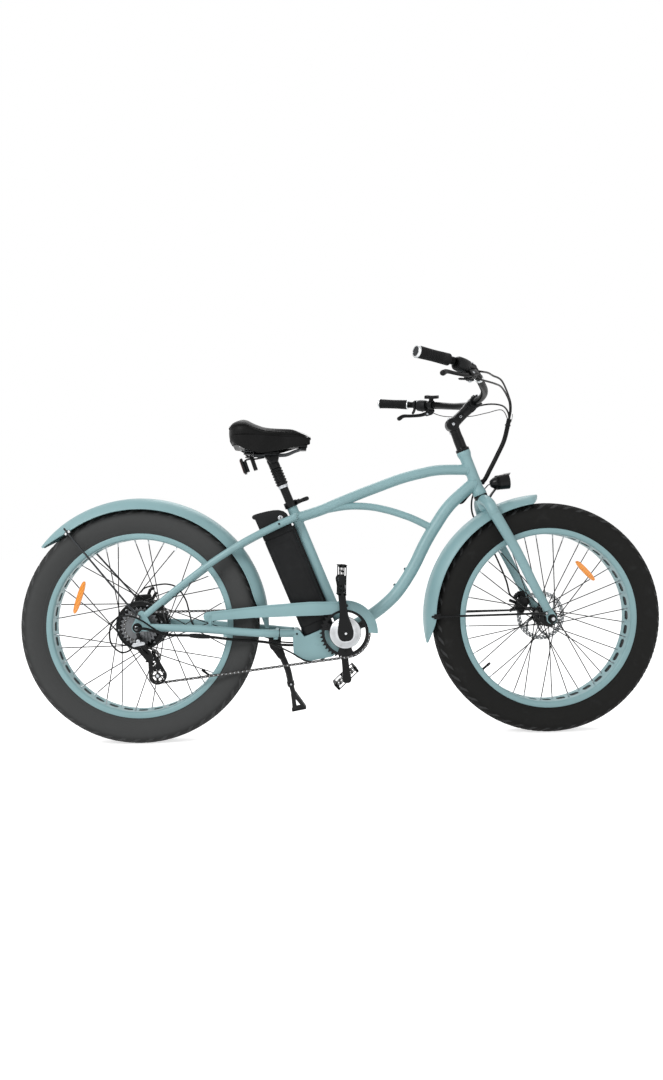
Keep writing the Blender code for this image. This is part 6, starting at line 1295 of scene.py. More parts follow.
def make_brake_controls():
    for name, side in (("right", RIGHT), ("left", LEFT)):
        seat, way = control_seat(side, LEVER_SEAT)
        pivot, out, towards, pin = lever_frame(side)
        band = hoop(mirror((0.0112, 0.0072), (0.0158, 0.0072), (0.0165, 0.0058)), 0.0008, seat, way, 40)
        drop = pivot - seat
        body = tube(np.array([seat + drop * s for s in (0.2, 0.34, 0.42, 0.5, 0.6)]),
            [0.012, 0.0136, 0.0136, 0.0126, 0.0106], 28, across=way, power=0.8)
        shroud = tube(np.array([seat + way * d + drop * 0.1 for d in (-0.025, -0.0235, -0.019, 0.0,
            *((0.024, 0.03) if side == RIGHT else (0.01, 0.012)))]), [0.013, 0.0175, 0.0196, 0.0204, 0.0192,
            0.015], 32, across=Z, power=0.85)
        cheeks = [slab(capsule((0.004, 0), (-0.013, 0.004), 0.0086, 0.0105),
            sorted((s * 0.0054, s * 0.0088)), out, towards, pin, pivot, 0.0006) for s in (1, -1)]
        reservoir = block(pivot + towards * 0.02 - out * 0.004, (0.015, 0.0052, 0.0098), out, towards, pin,
            0.0016, 0.0035)
        lid = block(pivot + towards * 0.02 - out * 0.004 - pin * 0.0104 * np.sign(pin[2]) * -1,
            (0.0132, 0.0044, 0.001), out, towards, pin, 0.0004, 0.003)
        outlet = rod(pivot + towards * 0.0175 + out * 0.008, hose_outlet(side), 0.0045, 20, edge=0.0006)
        ferrule = rod(hose_outlet(side) - out * 0.0004, hose_outlet(side) - out * 0.011, 0.0036, 18, 0.003,
            0.0005)
        bolts = [bolt_head(pivot + pin * 0.0086, pin, 0.004, 0.0016),
            bolt_head(pivot - pin * 0.0086, -pin, 0.004, 0.0016)]
        bolts += [bolt_head(seat - drop / np.linalg.norm(drop) * 0.0158, -drop, 0.0036, 0.003)]
        piece(name + "_lever_mount", {BLACK_GLOSS: [band, body, *cheeks, reservoir, outlet],
            NYLON: [lid, shroud], STEEL: bolts + [ferrule]}, "steering", [name + "_brake_bracket"])
        line = spline([pivot + out * 0.002, pivot + out * 0.032 - towards * 0.004,
            pivot + out * 0.07 - towards * 0.001, pivot + out * 0.1 + towards * 0.003,
            pivot + out * 0.12 - towards * 0.004], 10)
        share = np.linspace(0, 1, len(line))
        blade = tube(line, 0.0074 - 0.0016 * np.sin(np.pi * share) + 0.0008 * share, 24, 0.62, across=pin,
            power=0.85)
        root = rod(pivot - pin * 0.005, pivot + pin * 0.005, 0.0084, 28, edge=0.0007)
        tip = ball(line[-1], 0.0088, 10, 16, (1, 1, 0.9))
        piece(name + "_lever_blade", {BLACK_GLOSS: [root, blade, tip],
            STEEL: [rod(pivot - pin * 0.0052, pivot + pin * 0.0052, 0.003, 16)]}, name + "_lever",
            [name + "_brake_lever"])


def clamp_band(side, half):
    """The band that holds a pod or pad on the bar."""
    seat, way = control_seat(side, POD_SEAT)
    r = 0.0165
    return hoop(mirror((0.0113, half), (r - 0.0008, half), (r, half - 0.001)), 0.0006, seat, way, 40)


def make_shifter():
    seat, way = control_seat(RIGHT, POD_SEAT)
    down = unit(-Z + way * way[2])
    back = unit(np.cross(way, down))
    pod = lathe([(0.004, 0.0135), (0.0178, 0.014), (0.0188, 0.018), (0.0184, 0.024), (0.0166, 0.0268),
        (0.004, 0.0272)], 0.0014, seat, down, 48)
    window = slab(circle((0, 0), 0.0075, 28), (0, 0.0007), way, unit(np.cross(way, back)), back,
        seat + down * 0.02 + back * 0.016, 0.0002)
    outlet = turned([(0.0052, 0.0095), (0.0052, 0.014), (0.0042, 0.016), (0.0042, 0.023), (0.0036, 0.024)],
        seat + down * 0.02, -way, 20)
    pin = rod(seat + down * 0.024, seat + down * 0.0362, 0.0038, 18)
    bolts = [bolt_head(seat + down * 0.0364, down, 0.0056, 0.0018),
        bolt_head(seat - down * 0.0155 + back * 0.004, -down, 0.0036, 0.003)]
    piece("gear_pod", {NYLON: [clamp_band(RIGHT, 0.009), pod, outlet], DISPLAY: [window],
        STEEL: [pin, *bolts]}, "steering", ["shifter"])
    pivot = seat + down * 0.0275
    towards = unit(-X + down * down[0])
    hub = lathe([(0.0042, 0.0002), (0.012, 0.0002), (0.0125, 0.0012), (0.0122, 0.0056), (0.011, 0.0062),
        (0.0042, 0.0062)], 0.0006, pivot, down, 40)
    line = spline([pivot + down * 0.003 + towards * 0.006, pivot + down * 0.0034 + towards * 0.02,
        pivot + down * 0.0036 + towards * 0.034], 8)
    paddle = tube(line, np.linspace(0.0062, 0.0068,
        len(line)) * np.sqrt(np.clip(1.04 - np.linspace(0, 1, len(line)) ** 8, 0.05, 1)), 20, 0.42,
        across=down)
    ribs = [rod(line[n] + down * 0.0024 - np.cross(down, towards) * 0.0045, line[n] + down * 0.0024
        + np.cross(down, towards) * 0.0045, 0.0005, 8) for n in (10, 12, 14)]
    piece("gear_thumb_lever", {NYLON: [hub, paddle, *ribs]}, "gear_lever", ["shifter_lever"])


def make_pad_and_throttle():
    seat, way = control_seat(LEFT, POD_SEAT)
    up = np.array([-0.25, 0, 1.0])
    up = unit(up - way * np.dot(up, way))
    fore = unit(np.cross(way, up))
    foot = rod(seat + up * 0.014, seat + up * 0.0235, 0.0082, 24)
    outline = soft([(-0.024, -0.016), (0.02, -0.016), (0.024, 0.0), (0.02, 0.016), (-0.024, 0.016),
        (-0.028, 0.0)], 0.005, 4)
    case = slab(outline, (0.0222, 0.0338), way, fore, up, seat, 0.0022)
    screen = slab(soft(corners(-0.0215, 0.009, -0.0112, 0.0112), 0.002), (0.0334, 0.0341), way, fore, up,
        seat, 0.0003)
    keys = [slab(circle((0.0155, v), 0.0036, 24), (0.0334, 0.0347), way, fore, up, seat, 0.0006)
        for v in (-0.0085, 0.0, 0.0085)]
    bolt = [bolt_head(seat + fore * 0.016, fore, 0.0034, 0.0028)]
    piece("display_and_keys", {NYLON: [clamp_band(LEFT, 0.008), foot, case], DISPLAY: [screen], GRIP: keys,
        STEEL: bolt}, "steering", ["control_pad"])
    seat, way = control_seat(LEFT, THROTTLE_SEAT)
    band = hoop(mirror((0.0118, 0.005), (0.0156, 0.005), (0.0162, 0.004)), 0.0006, seat, way, 40)
    down = np.array([-0.55, 0, -1.0])
    down = unit(down - way * np.dot(down, way))
    line = spline([seat + down * 0.014, seat + down * 0.026, seat + down * 0.037 + way * 0.003], 8)
    share = np.linspace(0, 1, len(line))
    paddle = tube(line, (0.0054 + 0.0008 * share) * np.sqrt(np.clip(1.04 - share**8, 0.05, 1)), 20, 0.5,
        across=np.cross(way, down))
    piece("thumb_throttle", {NYLON: [band, paddle]}, "throttle", ["throttle_lever"])


def make_headlight():
    """The hood is a sheet round the lens's upper half, whose reach falls to nothing at both sides as the
    sine of the angle."""
    back, front = np.array([0.48, 0, 0.801]), np.array([0.53, 0, 0.808])
    axis = unit(front - back)
    reach = np.linalg.norm(front - back)
    case = [(0.003, -0.01), (0.009, -0.0098), (0.0125, -0.007), (0.0168, 0.0), (0.0195, 0.006),
        (0.0232, 0.018), (0.024, 0.024), (0.0252, reach - 0.004), (0.0255, reach - 0.001), (0.025, reach),
        (0.0235, reach - 0.0005), (0.0228, reach - 0.004)]
    fins = [turned([(0.0222, d - 0.0009), (0.0238, d), (0.0222, d + 0.0009)], back, axis, 48)
        for d in (0.01, 0.0135, 0.017)]
    lens = turned([(0.0229, reach - 0.0042), (0.02, reach - 0.0022), (0.012, reach - 0.0006),
        (0.0005, reach - 0.0002)], back, axis, 48, caps=False)
    bowl = turned([(0.0225, reach - 0.005), (0.018, reach - 0.013), (0.01, reach - 0.019),
        (0.0005, reach - 0.0205)], back, axis, 48, caps=False)
    a = np.radians(np.linspace(15, 165, 24))
    ring = unit(np.cross(axis, Y))
    ring = ring * np.sign(ring[2])
    rows = []
    for r, d in ((0.0257, reach - 0.012), (0.0262, reach), (0.0264, reach + 0.01), (0.0252, reach + 0.0102),
            (0.025, reach), (0.0246, reach - 0.012)):
        pull = np.sin((a - a[0]) / (a[-1] - a[0]) * np.pi)[:, None]
        rows.append(back + axis * (reach - 0.012 + (d - reach + 0.012) * pull)
            + r * (np.cos(a)[:, None] * Y + np.sin(a)[:, None] * ring))
    hood = skin(np.array(rows).transpose(1, 0, 2))
    foot = CROWN + STEER_AHEAD * 0.0176
    line = spline([foot, foot + STEER_AHEAD * 0.007, foot + (0.0165, 0, 0.017), (0.493, 0, 0.79)], 8)
    strap = tube(line, 0.003, 16, 4.2, across=Y, power=0.6)
    bolts = [bolt_head(foot + STEER_AHEAD * 0.0085, STEER_AHEAD, 0.0044, 0.003),
        hexagon((0.4915, 0, 0.7865), -Z, 0.005, 0.004)]
    lead = tube(spline([back - axis * 0.009, back - axis * 0.018 - Z * 0.004, (0.456, 0.01, 0.786),
        (0.444, 0.0225, 0.776)], 8), 0.0018, 10)
    piece("lamp_case", {BLACK_GLOSS: [turned(case, back, axis, 56), *fins, hood, strap], BRIGHT: [bowl],
        LENS: [lens], STEEL: bolts, CABLE: [lead]}, "steering", ["headlight"])


# Brakes


def make_calipers():
    """Each is two halves on the sides of its disc, with the bridge, pads and rods that hold it."""
    brakes = [("front", FRONT, 150, 0.0362, 0.0605, ((0.586, 0.052, 0.4345), (0.586, 0.066, 0.4345)),
        "steering", 0.056, [(0.5658, 0.4187, 0.5627, 0.4369), (0.5627, 0.4369, 0.5761, 0.4367),
        (0.5756, 0.4057, 0.543, 0.419), (0.5723, 0.399, 0.543, 0.383)]),
        ("rear", REAR, 94, 0.045, 0.07, ((-0.656, 0.064, 0.4455), (-0.656, 0.0872, 0.4455)), "frame", 0.066,
        [(-0.6412, 0.4433, -0.6295, 0.4754), (-0.6295, 0.4754, -0.6167, 0.4784),
        (-0.6269, 0.4366, -0.6105, 0.4654), (-0.6635, 0.4405, -0.6729, 0.452)])]
    for name, axle, degrees, inner, outer, ear, body, arm_y, arm_ends in brakes:
        disc = DISC_Y[name]
        a = math.radians(degrees)
        way, round_ = ray(a), np.array([-math.sin(a), 0, math.cos(a)])
        at = axle + way * 0.0745
        outline = soft([(-0.029, -0.012), (-0.0232, 0.017), (0.0232, 0.017), (0.029, -0.012),
            (0.0203, -0.018), (-0.0203, -0.018)], 0.004, 4)
        halves = [slab(outline, (inner - disc, -0.0022), round_, way, Y, at + Y * disc, 0.0022),
            slab(outline, (0.0022, outer - disc), round_, way, Y, at + Y * disc, 0.0022)]
        bridge = block(at + way * 0.014 + Y * disc, (0.021, 0.0028, 0.004), round_, way, Y, 0.0006, 0.002)
        pads = [block(at - way * 0.002 + Y * (disc + s * 0.0017), (0.014, 0.011, 0.0006), round_, way, Y,
            0.0002, 0.003) for s in (-1, 1)]
        piston = lathe([(0.0115, 0), (0.0115, 0.0016), (0.01, 0.0026), (0.004, 0.0026)], 0.0006,
            at - way * 0.002 + Y * (outer - 0.0012), Y, 36)
        bolts = [bolt_head(at + round_ * r + way * 0.0085 + Y * (outer - 0.0006), Y, 0.0042, 0.0026)
            for r in (-0.0175, 0.0175)]
        arms = [rod((x0, arm_y, z0), (x1, arm_y, z1), 0.0052, 20, edge=0.0014)
            for x0, z0, x1, z1 in arm_ends]
        piece(name + "_caliper_halves", {BLACK_SATIN: [*halves, *arms, bridge, piston,
            rod(*ear, 0.0078, 24)], STEEL: bolts + pads}, body, [name + "_brake_caliper"])


# Drive

PITCH = 0.0127


def pitch_radius(teeth):
    return PITCH / 2 / math.sin(math.pi / teeth)


def cog_outline(teeth, turn=0.0, points=10, sharp=1.5):
    """Radius of a sprocket's edge: pitch radius - 0.004 + 0.0078 share(a)^0.8, with share a trapezium
    over each pitch."""
    a = angles(teeth * points)
    wave = np.abs(((a * teeth / (2 * np.pi)) % 1) - 0.5) * 2
    r = pitch_radius(teeth) - 0.004 + 0.0078 * limited(wave * sharp - (sharp - 1.0)) ** 0.8
    return np.stack([r * np.cos(a + turn), r * np.sin(a + turn)], 1)


def make_chainring():
    half = 0.0009
    windows = [soft(sector(0.0502, 0.0642, start, end), 0.0022) for start, end in ((-68, 14), (36, 82),
        (98, 150), (172, 248))]
    ring = plate([cog_outline(RING_TEETH), *windows], -half, half, at=BRACKET + Y * CHAIN_Y)
    boss = hoop([(0.0098, -0.0512), (0.019, -0.0512), (0.0455, CHAIN_Y + 0.0028), (0.0475, CHAIN_Y + 0.001),
        (0.0475, CHAIN_Y - 0.0035), (0.046, CHAIN_Y - 0.0048), (0.0205, -0.0772), (0.0098, -0.0772)], 0.001,
        BRACKET, Y, 72)
    face = hoop([(0.0212, -0.0772), (0.0224, -0.0781), (0.03, -0.0752), (0.044, -0.0697), (0.0486, -0.0676),
        (0.049, -0.066), (0.048, -0.0652), (0.03, -0.072)], 0.0008, BRACKET, Y, 72)
    groove = [turned([(r, y), (r + 0.0008, y - 0.0005), (r + 0.0016, y)], BRACKET, Y, 72, caps=False)
        for r, y in ((0.033, -0.0742), (0.0375, -0.0724), (0.042, -0.0706))]
    bolts = [bolt_head(BRACKET + 0.057 * ray(math.radians(n)) + Y * (CHAIN_Y - half), -Y, 0.0046, 0.0026)
        for n in (-90, 25, 161)]
    piece("chainring_38_teeth", {BLACK_GLOSS: [ring, boss], FACE_ALLOY: [face, *groove],
        BLACK_SATIN: bolts}, "crank", ["chainring"])


def make_cranks():
    """Each arm is a stack of sections along its length, each a rounded box whose width follows the outline
    and whose outside is crowned."""
    outline = np.array([(-0.024, 0.008), (-0.0215, 0.015), (-0.014, 0.0215), (0.0, 0.0248), (0.012, 0.024),
        (0.026, 0.021), (0.042, 0.0168), (0.058, 0.0136), (0.08, 0.0118), (0.11, 0.0115), (0.14, 0.0122),
        (0.158, 0.0138), (0.168, 0.0149), (0.176, 0.014), (0.181, 0.0105), (0.1832, 0.006)])
    for name, side in (("right", RIGHT), ("left", LEFT)):
        lean = math.radians(4.9) + (0 if side == RIGHT else math.pi)
        up = np.array([-math.sin(lean), 0, math.cos(lean)])
        wide = np.array([up[2], 0, -up[0]])
        a = angles(36)
        c, s = (bent(f, 0.5) for f in (np.cos(a), np.sin(a)))
        rows = []
        for along, half in spline(outline, 5):
            thick = 0.0066 * min(1.0, 0.72 + half * 18)
            y = 0.0775 + 0.007 + s * thick - 0.0006 * (1 - np.abs(c))
            rows.append(BRACKET + up * along + c[:, None] * half * wide + (side * y)[:, None] * Y)
        arm = skin(np.array(rows))
        pin = BRACKET + up * 0.17
        parts = [arm, lathe([(0.007, 0), (0.0122, 0), (0.0122, 0.0012), (0.008, 0.0016)], 0.0004,
            pin + Y * side * 0.0908, Y * side, 32)]
        bolt = [lathe([(0.006, -0.0006), (0.0108, -0.0006), (0.0112, 0.0008), (0.01, 0.0014),
            (0.0064, 0.0012), (0.006, -0.0008)], 0.0002, BRACKET + Y * side * 0.0908, Y * side, 40),
            hexagon(BRACKET + Y * side * 0.085, Y * side, 0.0046, 0.007)]
        rim = bolt.pop(0)
        if side == LEFT:
            parts.append(rod(BRACKET - Y * 0.0855, BRACKET + Y * 0.0815, 0.0095, 32))
        piece(name + "_crank_forged", {BLACK_GLOSS: parts + [rim], BRIGHT: bolt}, "crank",
            ["crank_arm_" + name])
        turn = math.radians(88 if side == RIGHT else 42.6)
        way = ray(turn)
        out = np.array([-way[2], 0, way[0]])
        middle = pin + Y * side * 0.1405
        half, broad, thick = 0.046, 0.043, 0.0115
        side_line = soft(corners(-half, half, -thick, thick), 0.0045, 4)
        gaps = [soft(corners(u0, u1, w0, w1), 0.0015) for u0, u1 in ((-half + 0.0085, -0.0135),
            (0.0135, half - 0.0085)) for w0, w1 in ((-thick + 0.0028, -0.0014), (0.0014, thick - 0.0028))]
        cheeks = [plate([side_line, *gaps], low, low + 0.0034, at=middle, u=way, v=out, w=Y)
            for low in (-broad, broad - 0.0034)]
        walls = [block(middle + way * u * (half - 0.0036) + out * w * (thick - 0.0042),
            (broad, 0.0042, 0.0036), Y, out, way, 0.0007, 0.0012) for u in (-1, 1) for w in (-1, 1)]
        struts = [rod(middle + way * u - Y * broad * 0.95, middle + way * u + Y * broad * 0.95, 0.0034, 12)
            for u in (-0.026, 0.026)]
        studs = []
        for u in (-1, 1):
            for v in np.linspace(-0.85, 0.85, 7):
                for w in (-1, 1):
                    at = middle + way * u * (half - 0.0022) + Y * broad * v
                    studs.append(rod(at + out * w * thick * 0.8, at + out * w * (thick + 0.0022), 0.002, 8,
                        0.001))
        barrel = lathe([(0.0051, -broad + 0.002), (0.0112, -broad + 0.002), (0.01, -broad + 0.012),
            (0.0092, 0), (0.01, broad - 0.012), (0.011, broad - 0.002), (0.0051, broad - 0.002)], 0.001,
            middle, Y, 32)
        shaft = rod(pin + Y * side * 0.0805, pin + Y * side * 0.128, 0.0049, 24)
        flats = hexagon(pin + Y * side * 0.0922, Y * side, 0.0084, 0.0075)
        dust = turned([(0.011, 0), (0.011, 0.0012), (0.009, 0.0018)], middle + Y * side * (broad - 0.002),
            Y * side, 32)
        piece(name + "_pedal_cage", {NYLON: [*cheeks, *walls, *struts, barrel, *studs, dust],
            STEEL: [shaft, flats]}, name + "_pedal", ["pedal_" + name], bevel=0.0007)


def tangent(c0, r0, c1, r1, turn0, turn1):
    dx, dz = c1[0] - c0[0], c1[2] - c0[2]
    angle = math.atan2(dz, dx) - math.acos((turn0 * r0 - turn1 * r1) / math.hypot(dx, dz))
    way = np.array([math.cos(angle), math.sin(angle)])
    return np.array([c0[0], c0[2]]) + turn0 * r0 * way, np.array([c1[0], c1[2]]) + turn1 * r1 * way


def chain_pins():
    """Pins at one pitch from each other along arcs and straight runs round the four wheels."""
    wheels = [(BRACKET, RING_TEETH, 1), (REAR, COG_TEETH, 1), (GUIDE, PULLEY_TEETH, -1),
        (TENSION, PULLEY_TEETH, 1)]
    runs = [tangent(c0, pitch_radius(t0), wheels[(i + 1) % 4][0], pitch_radius(wheels[(i + 1) % 4][1]), s0,
        wheels[(i + 1) % 4][2]) for i, (c0, t0, s0) in enumerate(wheels)]
    line = []
    for i, (centre, teeth, turn) in enumerate(wheels):
        middle = np.array([centre[0], centre[2]])
        start, end = runs[i - 1][1] - middle, runs[i][0] - middle
        a0, a1 = math.atan2(start[1], start[0]), math.atan2(end[1], end[0])
        a = a0 + turn * np.linspace(0, (turn * (a1 - a0)) % (2 * math.pi), 200)
        line.append(middle + pitch_radius(teeth) * np.stack([np.cos(a), np.sin(a)], 1))
        line.append(runs[i][0] + (runs[i][1] - runs[i][0]) * np.linspace(0, 1, 200)[:, None])
    line = np.vstack(line)
    steps = np.linalg.norm(np.diff(np.vstack([line, line[:1]]), axis=0), axis=1)
    travel = np.concatenate([[0], np.cumsum(steps)])
    count = 2 * round(travel[-1] / PITCH / 2)
    at = travel[-1] * np.arange(count) / count
    closed = np.vstack([line, line[:1]])
    return np.stack([np.interp(at, travel, closed[:, 0]), np.full(count, CHAIN_Y),
        np.interp(at, travel, closed[:, 1])], 1)


def link_outline(reach):
    """A link plate: two round ends and a narrower waist."""
    high, waist = 0.0039, 0.003
    a = angles(20)
    x, z = np.cos(a), np.sin(a)
    return np.stack([reach / 2 * np.sign(x) * np.minimum(1, np.abs(x) * 2.2) + high * x * 0.98,
        np.where(np.abs(x) < 0.3, waist, high) * bent(z, 0.8)], 1)


def make_chain():
    pins = chain_pins()
    after = np.roll(pins, -1, 0)
    outer, inner, rollers = [], [], []
    for number, (a, b) in enumerate(zip(pins, after)):
        way = unit(b - a)
        (outer if number % 2 else inner).append(placing((a + b) / 2, way))
        rollers.append(placing(a, way))
    shape = link_outline(PITCH)

    def pair(y):
        return gather([plate(shape, y, y + 0.0008), plate(shape, -y - 0.0008, -y)])

    roller = turned([(0.0038, -0.0016), (0.0038, 0.0016)], (0, 0, 0), Y, 14)
    pin = turned(mirror((0.0016, 0.0036), (0.0018, 0.0034)), (0, 0, 0), Y, 10)
    piece("chain_of_links", {OILED: [copies(pair(0.0024), outer), copies(pair(0.0016), inner),
        copies(roller, rollers)], STEEL: [copies(pin, rollers)]}, "frame", ["chain"])


def make_cogs():
    cogs = []
    for index, teeth in enumerate((14, 16, 18, 20, 22, 24, 28)):
        y = CHAIN_Y + (index - 4) * COG_STEP
        outline = [cog_outline(teeth, 0.1 * index, 8)]
        r = pitch_radius(teeth) - 0.0105
        if teeth > 18:
            outline += [circle((r * math.cos(a), r * math.sin(a)), 0.0036, 14) for a in angles(8)]
        cogs.append(plate(outline, -0.0009, 0.0009, at=REAR + Y * y))
    low, high = CHAIN_Y - 4 * COG_STEP - 0.001, CHAIN_Y + 2 * COG_STEP + 0.001
    body = lathe([(0.0072, low), (0.015, low), (0.0225, low + 0.0012), (0.0225, high), (0.0072, high)],
        0.0008, REAR, Y, 48)
    splines = [rod(REAR + 0.0158 * ray(a) + Y * (low - 0.0002), REAR + 0.0158 * ray(a) + Y * (low + 0.0008),
        0.0012, 8) for a in angles(12)]
    piece("freewheel_cogs", {COG_STEEL: cogs, STEEL: [body, *splines]}, "cogs", ["freewheel"], bevel=0.0003,
        segments=1)
    for name, at in (("guide", GUIDE), ("tension", TENSION)):
        holes = [soft(sector(0.0092, 0.016, 90 * n + 8, 90 * n + 82), 0.0015) for n in range(4)]
        rim = plate([cog_outline(PULLEY_TEETH, 0.3, 12, 1.3), *holes], -0.0012, 0.0012, at=at)
        hub = lathe(corners(0.0034, 0.0082, -0.003, 0.003), 0.0005, at, Y, 28)
        piece(name + "_pulley_toothed", {NYLON: [rim, hub]}, ("upper" if name == "guide" else "lower")
            + "_pulley", [name + "_pulley"], bevel=0.0004)


def make_derailleur():
    way = unit(TENSION - GUIDE)
    flat = np.array([way[0], way[2]])
    wide = np.array([-flat[1], flat[0]])
    g, t = np.array([GUIDE[0], GUIDE[2]]), np.array([TENSION[0], TENSION[2]])
    line = soft(capsule(g, t, 0.0128, 0.0272, 12), 0.002, 2)
    holes = [soft(sector(0.009, 0.0212, 90 * n + 8, 90 * n + 82, t), 0.0018) for n in range(4)]
    slot = soft(np.array([g + flat * 0.0115 + wide * 0.005, g + flat * 0.0115 - wide * 0.005,
        t - flat * 0.0315 - wide * 0.007, t - flat * 0.0315 + wide * 0.007]), 0.002, 4)
    plates = [plate([line, *holes, slot], CHAIN_Y + side * 0.00405 + (-0.0016 if side < 0 else 0),
        CHAIN_Y + side * 0.00405 + (0 if side < 0 else 0.0016)) for side in (1, -1)]
    bolts = []
    for at in (GUIDE, TENSION):
        bolts += [bolt_head(at - Y * 0.0058, -Y, 0.0052, 0.0022)]
        bolts.append(rod(at - Y * 0.0056, at + Y * 0.0056, 0.0031, 16))
    hanger = np.array([-0.641, -0.0905, 0.32722])
    knuckle = lathe([(0.002, -0.016), (0.009, -0.016), (0.0105, -0.0145), (0.0105, 0.004), (0.002, 0.0045)],
        0.001, hanger, Y, 40)
    low = np.array([GUIDE[0] - 0.006, CHAIN_Y - 0.00395 - 0.008, GUIDE[2] + 0.004])
    top, bottom = np.array([hanger[0], hanger[2]]), np.array([low[0], low[2]])
    outer = slab(capsule((-0.6525, 0.3165), (-0.625, 0.321), 0.0056, 0.005), (-0.003, 0.003), X, Z, Y,
        (0, -0.108, 0), 0.0012)
    arm = plate([capsule(top + (0.0, -0.01), bottom + (0.004, 0.002), 0.012, 0.0112),
        capsule(top + (0.006, -0.02), bottom + (0.0, 0.012), 0.0034, 0.0034)], -0.003, 0.003,
        at=np.array([0, -0.0995, 0]))
    link = tube(spline([hanger + (0, -0.002, 0), hanger + (0.014, -0.002, -0.022), low], 8), 0.0068, 28,
        0.8)
    pivot = lathe([(0.002, -0.0062), (0.0082, -0.0062), (0.0094, -0.005), (0.0094, 0.0072),
        (0.002, 0.0074)], 0.0008, low, Y, 36)
    stalk = tube(spline([hanger, hanger + (-0.001, 0, 0.01), (REAR[0], hanger[1], REAR[2] - 0.0168)], 6),
        0.0052, 24, 0.6)
    heads = [bolt_head(hanger - Y * 0.016, -Y, 0.0062, 0.0022),
        bolt_head(low - Y * 0.0062, -Y, 0.005, 0.002)]
    barrel = turned([(0.003, 0), (0.004, 0.001), (0.004, 0.007), (0.003, 0.008), (0.0026, 0.013)],
        (-0.648, -0.105, 0.321), unit((-0.8, -0.05, -0.55)), 20)
    piece("changer_and_cage", {BLACK_SATIN: [knuckle, link, arm, pivot, stalk], NYLON: plates,
        STEEL: [outer, *bolts, *heads, barrel]}, "frame", ["rear_derailleur"])


def make_guard():
    cx, cz = BRACKET[0], BRACKET[2]
    outline = np.vstack([arc((-0.433, 0.3955), 0.0145, 100, 270, 14),
        [(-0.3, 0.3885), (-0.15, 0.3915), (-0.084, 0.3925)], arc((cx, cz), 0.0725, 125, 0, 36),
        arc((cx, cz), 0.1015, -2, 106, 40), [(-0.06, 0.4345), (-0.119, 0.435), (-0.243, 0.428)]])
    y = CHAIN_Y - 0.0095
    blade = slab(outline, (-0.0024, 0.0), X, Z, Y, (0, y, 0), 0.0006)
    rim = []
    band = np.vstack([arc((cx, cz), 0.0972, -1, 106, 40),
        [(-0.06, 0.4305), (-0.119, 0.4308), (-0.243, 0.424), (-0.425, 0.4062)]])
    rim.append(tube(np.stack([band[:, 0], np.full(len(band), y - 0.0024), band[:, 1]], 1), 0.0012, 8,
        across=Y))
    bosses, bolts = [], []
    for x, z in ((-0.433, 0.3955), (-0.006, 0.4215)):
        bosses.append(lathe([(0.0025, 0), (0.0098, 0), (0.0098, 0.0012), (0.0078, 0.002), (0.0025, 0.002)],
            0.0004, (x, y - 0.0022, z), -Y, 36))
        (bolts if x > -0.1 else bosses).extend([bolt_head((x, y - 0.004, z), -Y, 0.0048, 0.0024)])
    stay = tube(spline([(-0.426, y, 0.39), (-0.426, y - 0.0002, 0.376), (-0.426, y - 0.0008, 0.3708),
        (-0.426, -0.0778, 0.3698)], 8), 0.0034, 16, across=X)
    tab = block((-0.426, y + 0.0004, 0.379), (0.006, 0.011, 0.0012), X, Z, Y, 0.0004, 0.002)
    piece("chain_guard_blade", {TEAL: [blade, *rim, *bosses, stay, tab], BLACK_SATIN: bolts}, "frame",
        ["chain_guard"])


def make_kickstand():
    x, y0, z = -0.23, 0.0606, 0.287
    barrel = lathe([(0.002, 0), (0.0168, 0), (0.0185, 0.0018), (0.0185, 0.0242), (0.017, 0.026),
        (0.002, 0.026)], 0.0008, (x, y0, z), Y, 48)
    body = slab(capsule((x, z), (-0.211, 0.252), 0.018, 0.013), (0.003, 0.023), X, Z, Y, (0, y0, 0), 0.002)
    upper = spline([(-0.212, y0 + 0.013, 0.256), (-0.201, 0.082, 0.23), (-0.189, 0.094, 0.196),
        (-0.181, 0.116, 0.152)], 10)
    lower = spline([(-0.183, 0.111, 0.162), (-0.176, 0.131, 0.13), (-0.17, 0.148, 0.105)], 8)
    collar = rod((-0.1822, 0.113, 0.158), (-0.1796, 0.12, 0.144), 0.0122, 28, edge=0.001)
    top, end = np.array([-0.171, 0.144, 0.11]), np.array([-0.153, 0.186, 0.052])
    way = unit(end - top)
    reach = np.linalg.norm(end - top)
    across = unit(X - way * way[0])
    out = np.cross(across, way)
    outline = soft([(-0.0085, -0.008), (0.0085, -0.008), (0.012, 0.01), (0.0245, reach - 0.006),
        (0.023, reach), (-0.02, reach), (-0.0215, reach - 0.006), (-0.011, 0.01)], 0.003, 4)
    window = soft([(0.001, 0.018), (0.0135, reach - 0.011), (-0.006, reach - 0.011)], 0.002)
    foot = plate([outline, window], -0.0065, 0.0065, at=top, u=across, v=way, w=out)
    sole = block(end - way * 0.0015, (0.025, 0.008, 0.0026), across, out, way, 0.0008, 0.003)
    pin = rod((x, 0.0468, z), (x, y0 + 0.004, z), 0.0049, 20, edge=0.0006)
    bolt = [hexagon((x, y0 + 0.026, z), Y, 0.0072, 0.0048), bolt_head((-0.18, 0.104, 0.15), -Y, 0.0034,
        0.003)]
    piece("side_stand_leg", {BLACK_SATIN: [barrel, body, tube(upper, 0.0104, 28, across=X), collar, pin],
        NYLON: [tube(lower, 0.0082, 24, across=X), foot, sole], STEEL: bolt}, "stand", ["kickstand"],
        bevel=0.0006)


# Battery


